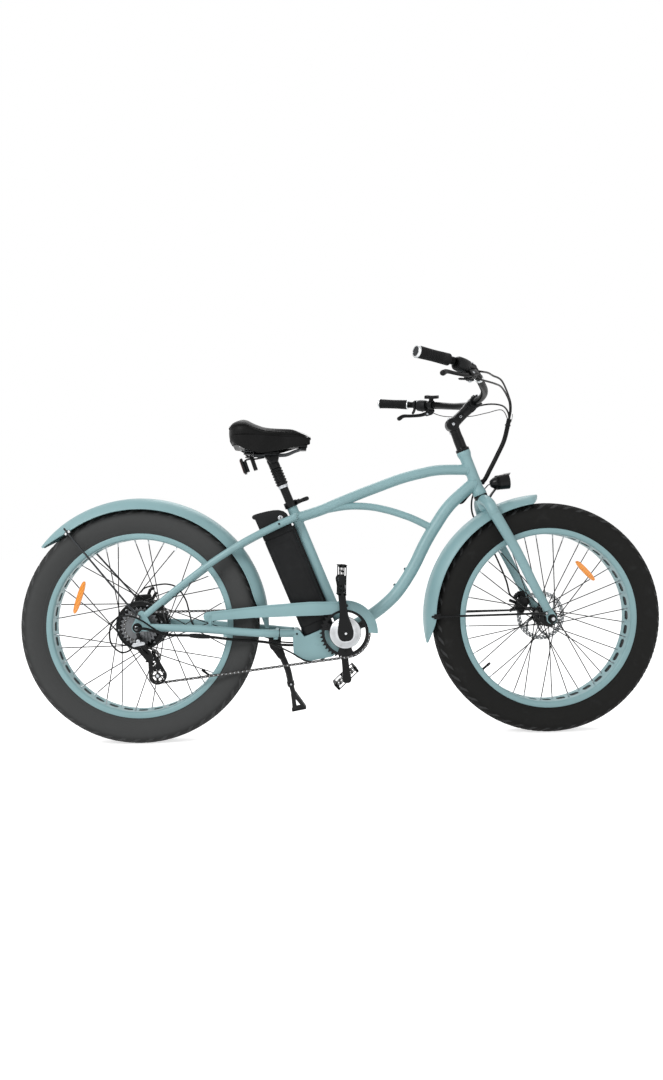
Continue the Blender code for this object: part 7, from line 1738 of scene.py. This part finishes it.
def make_battery():
    """The section is a rounded box with the rail's groove in front, drawn along the seat tube with two
    shallow panels let into each side."""
    f, b, h = 0.0225, 0.1225, 0.038
    corner = soft([(f, 0.0068), (0.0293, 0.0108), (0.0293, -0.0108), (f, -0.0068), (f, -h * 0.74),
        (f + 0.008, -h), (b - 0.012, -h), (b - 0.003, -h * 0.86), (b, -h * 0.6), (b, h * 0.6),
        (b - 0.003, h * 0.86), (b - 0.012, h), (f + 0.008, h), (f, h * 0.74)], 0.003, 4)
    rows = []
    for along, pull in ((0.036, 0.003), (0.0372, 0.0008), (0.04, 0.0), (0.062, 0.0), (0.063, 0.0014),
            (0.065, 0.0014), (0.066, 0.0), (0.356, 0.0), (0.357, 0.0014), (0.359, 0.0014), (0.36, 0.0),
            (0.381, 0.0), (0.3832, 0.0008), (0.384, 0.0024)):
        middle = np.array([0.0725, 0.0])
        ring = middle + (corner - middle) * (1 - pull / 0.038)
        ring[:, 0] = np.where(corner[:, 0] < 0.03, corner[:, 0], ring[:, 0])
        rows.append([seat_point(along, u, v) for u, v in ring])
    pack = skin(np.array(rows))
    fillets = []
    for side in (-1, 1):
        outline = soft(corners(0.085, 0.335, 0.04, 0.104), 0.008, 5)
        line = np.array([seat_point(u, v, side * 0.0381) for u, v in outline])
        fillets.append(tube(line, 0.0007, 6, across=Y, closed=True))
    strap = [block(seat_point(0.048, 0.1225, 0), (0.008, 0.018, 0.0016), SEAT, Y, SEAT_BACK, 0.0005, 0.003)]
    piece("battery_case", {CASE: [pack, *fillets, *strap]}, "battery", ["battery_pack"])
    outline = np.vstack([[(0.3846, 0.0225), (0.412, 0.0225), (0.424, 0.0295), (0.4335, 0.042),
        (0.4395, 0.058), (0.444, 0.078), (0.4472, 0.0985), (0.4488, 0.111), (0.449, 0.123),
        (0.4462, 0.1278), (0.4415, 0.1292), (0.4375, 0.1276), (0.4362, 0.1232), (0.43, 0.1224),
        (0.408, 0.1222), (0.3846, 0.1222)]])
    rows = []
    for y, shrink in ((-0.0395, 0.0052), (-0.0388, 0.0028), (-0.0372, 0.001), (-0.0345, 0.0), (0.0345, 0.0),
            (0.0372, 0.001), (0.0388, 0.0028), (0.0395, 0.0052)):
        ring = outline.copy()
        middle = np.array([0.405, 0.074])
        ring = middle + (ring - middle) * (1 - shrink / 0.05)
        ring[:, 0] = np.where(outline[:, 0] < 0.385, outline[:, 0], ring[:, 0])
        rows.append([seat_point(u, v, y) for u, v in soft(ring, 0.003)])
    seam = np.array([seat_point(0.3843, u, v) for u, v in soft(corners(0.024, 0.1205, -0.0374, 0.0374),
        0.008, 5)])
    catch = [lathe([(0.0035, 0), (0.005, 0), (0.005, 0.0012), (0.0035, 0.0016)], 0.0003,
        seat_point(0.395, 0.047, -0.0394), -Y, 28)]
    piece("battery_top", {CASE: [skin(np.array(rows))],
        NYLON: [tube(seam, 0.0011, 8, across=SEAT, closed=True)], STEEL: catch}, "battery", ["battery_cap"])
    at = seat_point(0.4085, 0.047, -0.0425)
    barrel = lathe([(0.002, 0.003), (0.002, 0.0), (0.0058, 0.0), (0.0064, 0.0008), (0.0078, 0.001),
        (0.008, 0.002), (0.008, 0.014)], 0.0003, at, Y, 40)
    slot = block(at + Y * 0.0002, (0.0044, 0.0009, 0.0003), SEAT, SEAT_BACK, Y, 0.0001, 0.0004)
    piece("key_barrel", {STEEL: [barrel], NYLON: [slot]}, "lock", ["battery_lock"])


# Saddle


def make_seatpost():
    """The boot's radius is 0.018 + 0.0014 cos(2 pi (d - 0.508) / 9.5 mm) at d along the seat tube."""
    profile = [(0.01, 0.3), (0.0136, 0.262), (0.0136, 0.5035), (0.013, 0.5041), (0.0106, 0.5041),
        (0.0106, 0.4)]
    rings = [turned([(0.01365, d - 0.0002), (0.0134, d), (0.01365, d + 0.0002)], BRACKET, SEAT, 36)
        for d in (0.466, 0.4705, 0.475, 0.4795)]
    collar = lathe(corners(0.0137, 0.016, 0.4925, 0.5025), 0.0008, BRACKET, SEAT, 40)
    piece("post_tube", {BLACK_SATIN: [turned(profile, BRACKET, SEAT, 40)], STEEL: [collar, *rings]}, "post",
        ["seatpost"])
    d = np.linspace(0.504, 0.556, 90)
    r = 0.018 + 0.0014 * np.cos((d - 0.508) / 0.0095 * 2 * np.pi)
    boot = turned([(0.014, 0.503), (0.0172, 0.5032), *zip(r, d), (0.0172, 0.559), (0.015, 0.56)], BRACKET,
        SEAT, 44)
    neck = lathe([(0.015, 0.558), (0.0176, 0.562), (0.0172, 0.576), (0.0182, 0.59), (0.014, 0.598)], 0.002,
        BRACKET, SEAT, 40)
    z = 0.897
    lower = slab(soft([(-0.256, z - 0.005), (-0.208, z - 0.001), (-0.213, 0.874), (-0.236, 0.869)], 0.005,
        4), (-0.0295, 0.0295), X, Z, Y, (0, 0, 0), 0.0015)
    upper = slab(soft([(-0.257, z + 0.0005), (-0.254, z + 0.0095), (-0.213, z + 0.0125),
        (-0.207, z + 0.003)], 0.003), (-0.0295, 0.0295), X, Z, Y, (0, 0, 0), 0.0012)
    bolts = [bolt_head((-0.231, y * 0.0295, 0.885), Y * y, 0.0075, 0.004)
        for y in (-1, 1)] + [hexagon((-0.231, y * 0.0297, 0.904), Y * y, 0.005, 0.003) for y in (-1, 1)]
    piece("sprung_head", {NYLON: [boot],
        BLACK_SATIN: [neck, lower, upper, rod(seat_point(0.545), seat_point(0.472), 0.0098, 24), *bolts]},
        "saddle", ["seatpost_head"])
    floor = 0.928 - 0.0078
    parts = [rod((-0.292, -0.056, z), (-0.292, 0.056, z), 0.0034, 20, edge=0.0008)]
    for y in (-0.022, 0.022):
        line = spline([(-0.2925, y, z), (-0.262, y, z), (-0.2, y, z), (-0.18, y, z + 0.003),
            (-0.158, y * 0.8, z + 0.012), (-0.134, y * 0.6, floor - 0.004)], 8)
        parts.append(tube(line, 0.0034, 20, across=Y))
    block_shape = block((-0.134, 0, floor - 0.0048), (0.012, 0.017, 0.0047), edge=0.0012)
    cups = []
    for side in (LEFT, RIGHT):
        turns = np.linspace(0, 1, 160)
        rise = 0.0018 + turns * (floor - 0.0018 - z - 0.0021)
        a = 2 * np.pi * 3 * turns
        coil = np.stack([-0.304 + 0.012 * np.cos(a), side * 0.052 + 0.012 * np.sin(a), z + rise], 1)
        parts.append(tube(coil, 0.0021, 14, across=Z))
        cups.append(lathe([(0.003, 0), (0.015, 0), (0.015, 0.0022), (0.0125, 0.003), (0.003, 0.003)],
            0.0005, (-0.304, side * 0.052, z + 0.0002), -Z, 36))
    piece("rails_and_springs", {DARK_STEEL: parts, BLACK_SATIN: [block_shape, *cups]}, "saddle",
        ["saddle_rails"])


SADDLE = np.array([(0.0, 0.062, 0.984), (0.03, 0.088, 0.997), (0.1, 0.104, 1.003), (0.2, 0.11, 1.003),
    (0.3, 0.106, 0.99), (0.42, 0.09, 0.98), (0.54, 0.068, 0.978), (0.66, 0.051, 0.978),
    (0.78, 0.041, 0.977), (0.88, 0.034, 0.971), (0.96, 0.024, 0.959), (1.0, 0.012, 0.948)])
SADDLE_REAR, SADDLE_NOSE, SADDLE_FLOOR = -0.362, -0.107, 0.928


def saddle_ring(share, half, top, shrink=0.0):
    """One section: across = half sgn(c) |c|^0.72 and z = rim + (top - rim) s^0.62 over the rim, drawn
    in under it, with a shallow channel along the middle, 0.005 exp(-(y / 20 mm)^2)."""
    base = SADDLE_FLOOR + 0.006 * (share < 0.02 or share > 0.98) + 0.009 * max(0.0, share - 0.6) / 0.4
    rim = base + (top - base) * 0.42
    a = angles(72)
    c, s = np.cos(a), np.sin(a)
    across = bent(c, 0.72) * (half - shrink)
    channel = 0.005 * np.exp(-((across / 0.02) ** 2)) * min(1.0, half / 0.08) * (s > 0)
    up = rim + (top - shrink - rim) * limited(s) ** 0.62 - channel
    low = rim - (rim - base - shrink) * limited(-s) ** 0.55
    across = np.where(s >= 0, across, across * (1 - 0.16 * np.abs(s)))
    return np.stack([np.full(len(a), SADDLE_REAR + (SADDLE_NOSE - SADDLE_REAR) * share), across,
        np.where(s >= 0, up, low)], 1)


def inflate(obj, voxel, pressure, most):
    """Fills a closed skin with air: remeshed, simulated as cloth for 20 frames, and no point moved
    further than most."""
    bpy.context.view_layer.objects.active = obj
    remesh = obj.modifiers.new("even", "REMESH")
    remesh.mode, remesh.voxel_size = "VOXEL", voxel
    bpy.context.view_layer.update()
    done = bpy.data.meshes.new_from_object(obj.evaluated_get(bpy.context.evaluated_depsgraph_get()))
    obj.modifiers.clear()
    obj.data = done
    before = np.array([v.co for v in done.vertices])
    cloth = obj.modifiers.new("air", "CLOTH")
    cloth.settings.use_pressure = True
    cloth.settings.uniform_pressure_force = pressure
    cloth.settings.tension_stiffness = cloth.settings.compression_stiffness = 40
    cloth.settings.effector_weights.gravity = 0
    scene = bpy.context.scene
    for number in range(1, 21):
        scene.frame_set(number)
    blown = bpy.data.meshes.new_from_object(obj.evaluated_get(bpy.context.evaluated_depsgraph_get()))
    obj.modifiers.clear()
    after = np.array([v.co for v in blown.vertices])
    move = after - before
    reach = np.linalg.norm(move, axis=1, keepdims=True)
    after = before + move * np.minimum(1, most / np.maximum(reach, 1e-9))
    blown.vertices.foreach_set("co", after.ravel())
    obj.data = blown
    scene.frame_set(1)


def make_saddle():
    """The skirt hangs from the welt to a line given along x, its sides drawn in by depth^1.6, and the
    stitches are threads along the welt."""
    table = spline(SADDLE, 6)
    rows = np.array([saddle_ring(s, h, t, 0.0022) for s, h, t in table])
    first, last = rows[0], rows[-1]
    tips = [first.mean(0) + (first - first.mean(0)) * k + (-0.002 * (1 - k) ** 0.5, 0, 0)
        for k in (0.55, 0.85)]
    ends = [last.mean(0) + (last - last.mean(0)) * k + (0.003 * (1 - k) ** 0.5, 0, 0) for k in (0.85, 0.5)]
    cushion = piece("saddle_padding", {VINYL: [skin(np.array([*tips, *rows, *ends]))]}, "saddle",
        sharp=180)
    inflate(cushion, 0.005, 3.0, 0.0045)
    cushion.data.materials.clear()
    cushion.data.materials.append(VINYL)
    cushion.data.shade_smooth()
    smooth = cushion.modifiers.new("smooth", "SMOOTH")
    smooth.factor, smooth.iterations = 0.5, 8
    fine = cushion.modifiers.new("fine", "SUBSURF")
    fine.levels = fine.render_levels = 1
    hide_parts("saddle_cushion")
    left = np.array([saddle_ring(s, h, t)[4] + (0, 0.0004, 0) for s, h, t in table[1:-1]])
    closed = ring_spline(np.vstack([left[::2], left[::-2] * (1, -1, 1)]), 3)
    welt = tube(closed, 0.0015, 10, across=Z, closed=True)
    gap = 0.0034
    steps = np.linalg.norm(np.diff(closed, axis=0), axis=1)
    travel = np.concatenate([[0], np.cumsum(steps)])
    stitches = []
    for d in np.arange(0, travel[-1] - gap, gap):
        at = np.array([np.interp(d, travel, closed[:, k]) for k in range(3)])
        to = np.array([np.interp(d + gap * 0.62, travel, closed[:, k]) for k in range(3)])
        out = unit(np.array([0, np.sign(at[1]), 0.3]))
        stitches.append(tube([at + out * 0.001 + Z * 0.0036, (at + to) / 2 + out * 0.0016 + Z * 0.0036,
            to + out * 0.001 + Z * 0.0036], 0.0004, 5, across=Z))
    piece("saddle_welt", {VINYL: [welt], GRIP: stitches}, "saddle")
    skirt = []
    for s, h, t in table[2:-2]:
        x = SADDLE_REAR + (SADDLE_NOSE - SADDLE_REAR) * s
        low = np.interp(x, (-0.357, -0.335, -0.315, -0.2727, -0.2544, -0.1932, -0.1102),
            (0.936, 0.921, 0.909, 0.8975, 0.898, 0.911, 0.933))
        skirt.append((x, h * 0.985, h * 0.88, min(low, 0.934)))
    skirt = np.array(skirt)
    around = np.vstack([skirt, (skirt * (1, -1, -1, 1))[::-1]])
    rings = []
    for depth, wall in ((0.0, 0), (0.3, 0), (0.6, 0), (0.94, 0), (1.0, 0.0006), (1.0, 0.002),
            (0.94, 0.0026), (0.5, 0.0026), (0.0, 0.0026)):
        y = around[:, 1] + (around[:, 2] - around[:, 1]) * depth**1.6
        rings.append(np.stack([around[:, 0], y - np.sign(y) * wall, 0.95 + (around[:, 3] - 0.95) * depth],
            1))
    pan = slab(np.stack([around[:, 0] * 0.93 - 0.0165, around[:, 1] * 0.86], 1), (0.9205, 0.9285), X, Y, Z,
        (0, 0, 0), 0.001)
    rivets = [bolt_head((x, y, 0.9206), -Z, 0.0036, 0.002, False)
        for x, y in ((-0.33, 0.048), (-0.33, -0.048), (-0.29, 0.03), (-0.29, -0.03))]
    piece("saddle_shell", {VINYL: [skin(np.array(rings), caps=False)], NYLON: [pan], STEEL: rivets},
        "saddle", ["saddle_base"])
    lean, rise = unit((0.9, 0, 0.3)), unit((-0.3, 0, 0.9))
    tail = [block((-0.3215, 0, 0.862), (0.004, 0.018, 0.025), lean, Y, rise, 0.001, 0.003),
        block((-0.312, 0, 0.862), (0.005, 0.012, 0.018), lean, Y, rise, 0.001, 0.003),
        block((-0.289, -0.01, 0.87), (0.0065, 0.015, 0.0215), lean, Y, rise, 0.0012, 0.003)]
    # The red lens is painted nearly black, as painted shade under the saddle.
    glass = [block((-0.3262, 0, 0.8604), (0.0016, 0.016, 0.0215), lean, Y, rise, 0.0008, 0.002)]
    arm = tube(spline([(-0.256, 0, 0.8905), (-0.282, 0, 0.886), (-0.306, 0, 0.885), (-0.318, 0, 0.88)], 8),
        0.0024, 16, 3.0, across=Y, power=0.6)
    piece("tail_reflector", {NYLON: tail + [arm], RED_SHADED: glass}, "saddle")


# Cables


HOSE, WIRE = 0.0029, 0.0014


def cable(name, points, radius, body, finish=CABLE, replaces=()):
    """A cord along a curve. Each point's section is turned as little as possible from the last one's."""
    line = spline(points, 10)
    across = [unit(np.cross(unit(line[1] - line[0]), (0.3, 0.9, 0.31)))]
    for n in range(1, len(line)):
        way = unit(line[min(n + 1, len(line) - 1)] - line[n - 1])
        across.append(unit(across[-1] - way * np.dot(across[-1], way)))
    way = unit(np.gradient(line, axis=0))
    one = np.array(across)
    two = np.cross(way, one)
    a = angles(12)
    grid = line[:, None] + radius * (np.cos(a)[None, :, None] * one[:, None]
        + np.sin(a)[None, :, None] * two[:, None])
    obj = piece(name, {finish: [skin(grid)]}, body, replaces)
    return obj, line


def make_cables():
    sleeve = [(0.541, 0.02, 1.012), (0.527, 0.03, 0.946), (0.504, 0.033, 0.896), (0.479, 0.035, 0.848),
        (0.459, 0.036, 0.813), (0.43, 0.035, 0.793), (0.4, 0.027, 0.764), (0.379, 0.012, 0.744),
        (0.362, 0.0, 0.744)]
    obj, line = cable("cable_sleeve", sleeve, 0.0074, None, SLEEVE_CASING, ["control_cables"])
    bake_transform(obj)
    right_out = hose_outlet(RIGHT) - lever_frame(RIGHT)[1] * 0.0012
    left_out = hose_outlet(LEFT) - lever_frame(LEFT)[1] * 0.0012
    seat, way = control_seat(RIGHT, POD_SEAT)
    down = unit(-Z + way * way[2])
    shift_out = seat + down * 0.02 - way * 0.0252
    cable("right_brake_hose", [right_out, (0.368, -0.316, 1.097), (0.4, -0.265, 1.104),
        (0.43, -0.205, 1.108), (0.478, -0.13, 1.106), (0.535, -0.01, 1.072), (0.545, 0.012, 1.04),
        (0.5405, 0.021, 1.005)], HOSE, "steering")
    cable("gear_casing", [shift_out, shift_out - way * 0.022 + (0.006, 0, 0), (0.438, -0.195, 1.086),
        (0.485, -0.105, 1.09), (0.531, -0.014, 1.068), (0.541, 0.009, 1.039), (0.5385, 0.018, 1.002)], HOSE,
        "steering")
    cable("left_brake_hose", [left_out, (0.368, 0.316, 1.095), (0.405, 0.285, 1.088), (0.448, 0.235, 1.08),
        (0.505, 0.16, 1.083), (0.538, 0.095, 1.068), (0.5455, 0.048, 1.038), (0.5425, 0.026, 1.003)], HOSE,
        "steering")
    cable("throttle_wire", [(0.314, 0.333, 1.098), (0.338, 0.308, 1.08), (0.375, 0.25, 1.056),
        (0.438, 0.15, 1.04), (0.485, 0.085, 1.042), (0.523, 0.04, 1.044), (0.54, 0.0235, 1.006)], WIRE,
        "steering")
    cable("front_brake_hose", [(0.456, 0.0405, 0.81), (0.436, 0.05, 0.785), (0.424, 0.058, 0.755),
        (0.425, 0.068, 0.715), (0.439, 0.0715, 0.68), (0.466, 0.0735, 0.64), (0.505, 0.0765, 0.565),
        (0.538, 0.075, 0.485), (0.548, 0.066, 0.438), (0.564, 0.0575, 0.4245)], HOSE, "steering")
    piece("sleeve_ties", {NYLON: [lathe(mirror((0.0072, 0.0026), (0.0094, 0.0022)), 0.0004, line[n],
        unit(line[n + 1] - line[n - 1]), 28) for n in (3, 42)]
        + [tube(spline([line[3] + (0.006, 0, 0.004), line[3] + (0.012, -0.004, 0.016),
        line[3] + (0.015, -0.006, 0.036)], 6), 0.0009, 8)]}, "steering")
    hose = [(-0.66, 0.058, 0.4655), (-0.645, 0.06, 0.48), (-0.61, 0.064, 0.488), (-0.575, 0.066, 0.49),
        (-0.544, 0.066, 0.478), (-0.518, 0.067, 0.44), (-0.506, 0.068, 0.395), (-0.496, 0.07, 0.36),
        (-0.47, 0.077, 0.3432), (-0.4, 0.0805, 0.3364), (-0.34, 0.0765, 0.3304), (-0.29, 0.062, 0.322),
        (-0.255, 0.045, 0.313), (-0.212, 0.033, 0.3), (-0.156, 0.031, 0.296)]
    cable("rear_hose_run", hose, 0.0025, "frame", replaces=["rear_brake_hose"])
    lead = [(-0.645, -0.1115, 0.36722), (-0.645, -0.115, 0.368), (-0.638, -0.1195, 0.368),
        (-0.615, -0.119, 0.366), (-0.585, -0.109, 0.356), (-0.55, -0.096, 0.344), (-0.487, -0.088, 0.34),
        (-0.427, -0.084, 0.334), (-0.366, -0.079, 0.325), (-0.31, -0.068, 0.318), (-0.26, -0.047, 0.31),
        (-0.212, -0.033, 0.299), (-0.156, -0.031, 0.296)]
    cable("motor_lead", lead, 0.0042, "frame", replaces=["drive_side_cables"])
    loop = [(-0.654, -0.1045, 0.318), (-0.668, -0.1045, 0.3), (-0.695, -0.103, 0.296),
        (-0.723, -0.102, 0.325), (-0.723, -0.104, 0.372), (-0.698, -0.109, 0.402), (-0.66, -0.112, 0.404),
        (-0.625, -0.11, 0.388), (-0.59, -0.103, 0.362), (-0.55, -0.0935, 0.34)]
    cable("gear_casing_loop", loop, 0.0026, "frame")
    cable("controller_lead", [(-0.26, -0.047, 0.31), (-0.2202, -0.056, 0.2966), (-0.1801, -0.056, 0.277),
        (-0.1368, -0.052, 0.2511), (-0.0959, -0.046, 0.2471), (-0.056, -0.03, 0.266)], 0.0024, "frame")
    plug = [tube(np.array([(-0.488, -0.0882, 0.34), (-0.47, -0.0874, 0.3385), (-0.45, -0.0858, 0.3365),
        (-0.428, -0.0842, 0.3342)]), [0.0058, 0.0074, 0.0074, 0.0056], 24),
        tube(np.array([(-0.461, -0.0867, 0.3376), (-0.459, -0.0865, 0.3374)]), 0.0084, 24)]
    piece("motor_lead_plug", {NYLON: plug}, "frame")


def make_reflectors():
    for name, a, b, body in (("rear", (-0.8185, 0.5077), (-0.8507, 0.408), "rear_wheel"),
            ("front", (0.7428, 0.5462), (0.8017, 0.4835), "front_wheel")):
        make_reflector(name, a, b, -0.018, body)


# Light and camera

WORLD_LIGHT = 0.42
FLOOR_GLOW = 0.68


def floor_finish():
    """White to the camera, and a plain diffuse floor to everything else, so that it keeps the shadow."""
    f = Finish("pale_floor", (0.86, 0.86, 0.86), 0.85)
    seen = f.seen()
    f.put("Emission Color", f.mix(seen, (0, 0, 0), (1, 1, 1)))
    f.shader.inputs["Emission Strength"].default_value = FLOOR_GLOW
    f.put("Roughness", f.between(f.noise(3.0), 0.8, 0.9))
    return f.material


def make_stage():
    mesh = bpy.data.meshes.new("floor")
    mesh.from_pydata([(-30, -30, 0), (30, -30, 0), (30, 30, 0), (-30, 30, 0)], [], [(0, 1, 2, 3)])
    mesh.materials.append(floor_finish())
    ground = bpy.data.objects.new("floor", mesh)
    bpy.context.scene.collection.objects.link(ground)
    for name, at, to, size, power in (("key", (-2.6, -2.9, 3.0), (0, 0, 0.6), 1.8, 105),
            ("fill", (2.4, -3.2, 1.2), (0, 0, 0.5), 2.4, 16), ("rim", (0.2, 2.2, 3.6), (0, 0, 0.7), 2.4,
            50)):
        lamp = bpy.data.lights.new(name, "AREA")
        lamp.size, lamp.energy = size, power
        obj = bpy.data.objects.new(name, lamp)
        obj.location = at
        obj.rotation_euler = (Vector(to) - Vector(at)).to_track_quat("-Z", "Y").to_euler()
        bpy.context.scene.collection.objects.link(obj)
    world = bpy.data.worlds.new("studio")
    world.use_nodes = True
    bpy.context.scene.world = world
    tree = world.node_tree
    back = tree.nodes["Background"]
    path = tree.nodes.new("ShaderNodeLightPath")
    seen = path.outputs["Is Camera Ray"]
    for name in ("Is Glossy Ray", "Is Transmission Ray"):
        either = tree.nodes.new("ShaderNodeMath")
        either.operation = "MAXIMUM"
        tree.links.new(seen, either.inputs[0])
        tree.links.new(path.outputs[name], either.inputs[1])
        seen = either.outputs[0]
    strength = tree.nodes.new("ShaderNodeMapRange")
    strength.inputs["To Min"].default_value = WORLD_LIGHT
    strength.inputs["To Max"].default_value = 1.0
    tree.links.new(seen, strength.inputs["Value"])
    tree.links.new(strength.outputs[0], back.inputs["Strength"])
    back.inputs["Color"].default_value = (1, 1, 1, 1)


def make_camera():
    """Level, turned 3.4 degrees towards the front of the object and rolled by 0.8 degrees, as the
    photograph is."""
    lens = bpy.data.cameras.new("camera")
    lens.lens, lens.sensor_width, lens.sensor_fit = 27.2, 36.0, "AUTO"
    lens.clip_start, lens.clip_end = 0.05, 60
    camera = bpy.data.objects.new("camera", lens)
    turn = Matrix.Rotation(math.radians(-3.4), 4, "Z") @ Matrix.Rotation(math.radians(90), 4, "X")
    roll = Matrix.Rotation(-0.014, 4, "Z")
    camera.matrix_world = Matrix.Translation((-0.2, -2.6, 0.6255)) @ (turn @ roll)
    bpy.context.scene.collection.objects.link(camera)
    bpy.context.scene.camera = camera
    bpy.context.scene.view_settings.view_transform = "Standard"


make_camera()
make_cables()
make_main_tubes()
make_stays()
make_controller()
make_seat_clamp()
make_wheels()
make_fenders()
make_fork()
make_bar()
make_grips()
make_stem()
make_brake_controls()
make_shifter()
make_pad_and_throttle()
make_headlight()
make_calipers()
make_chainring()
make_cranks()
make_chain()
make_cogs()
make_derailleur()
make_guard()
make_kickstand()
make_battery()
make_seatpost()
make_saddle()
make_reflectors()
make_stage()
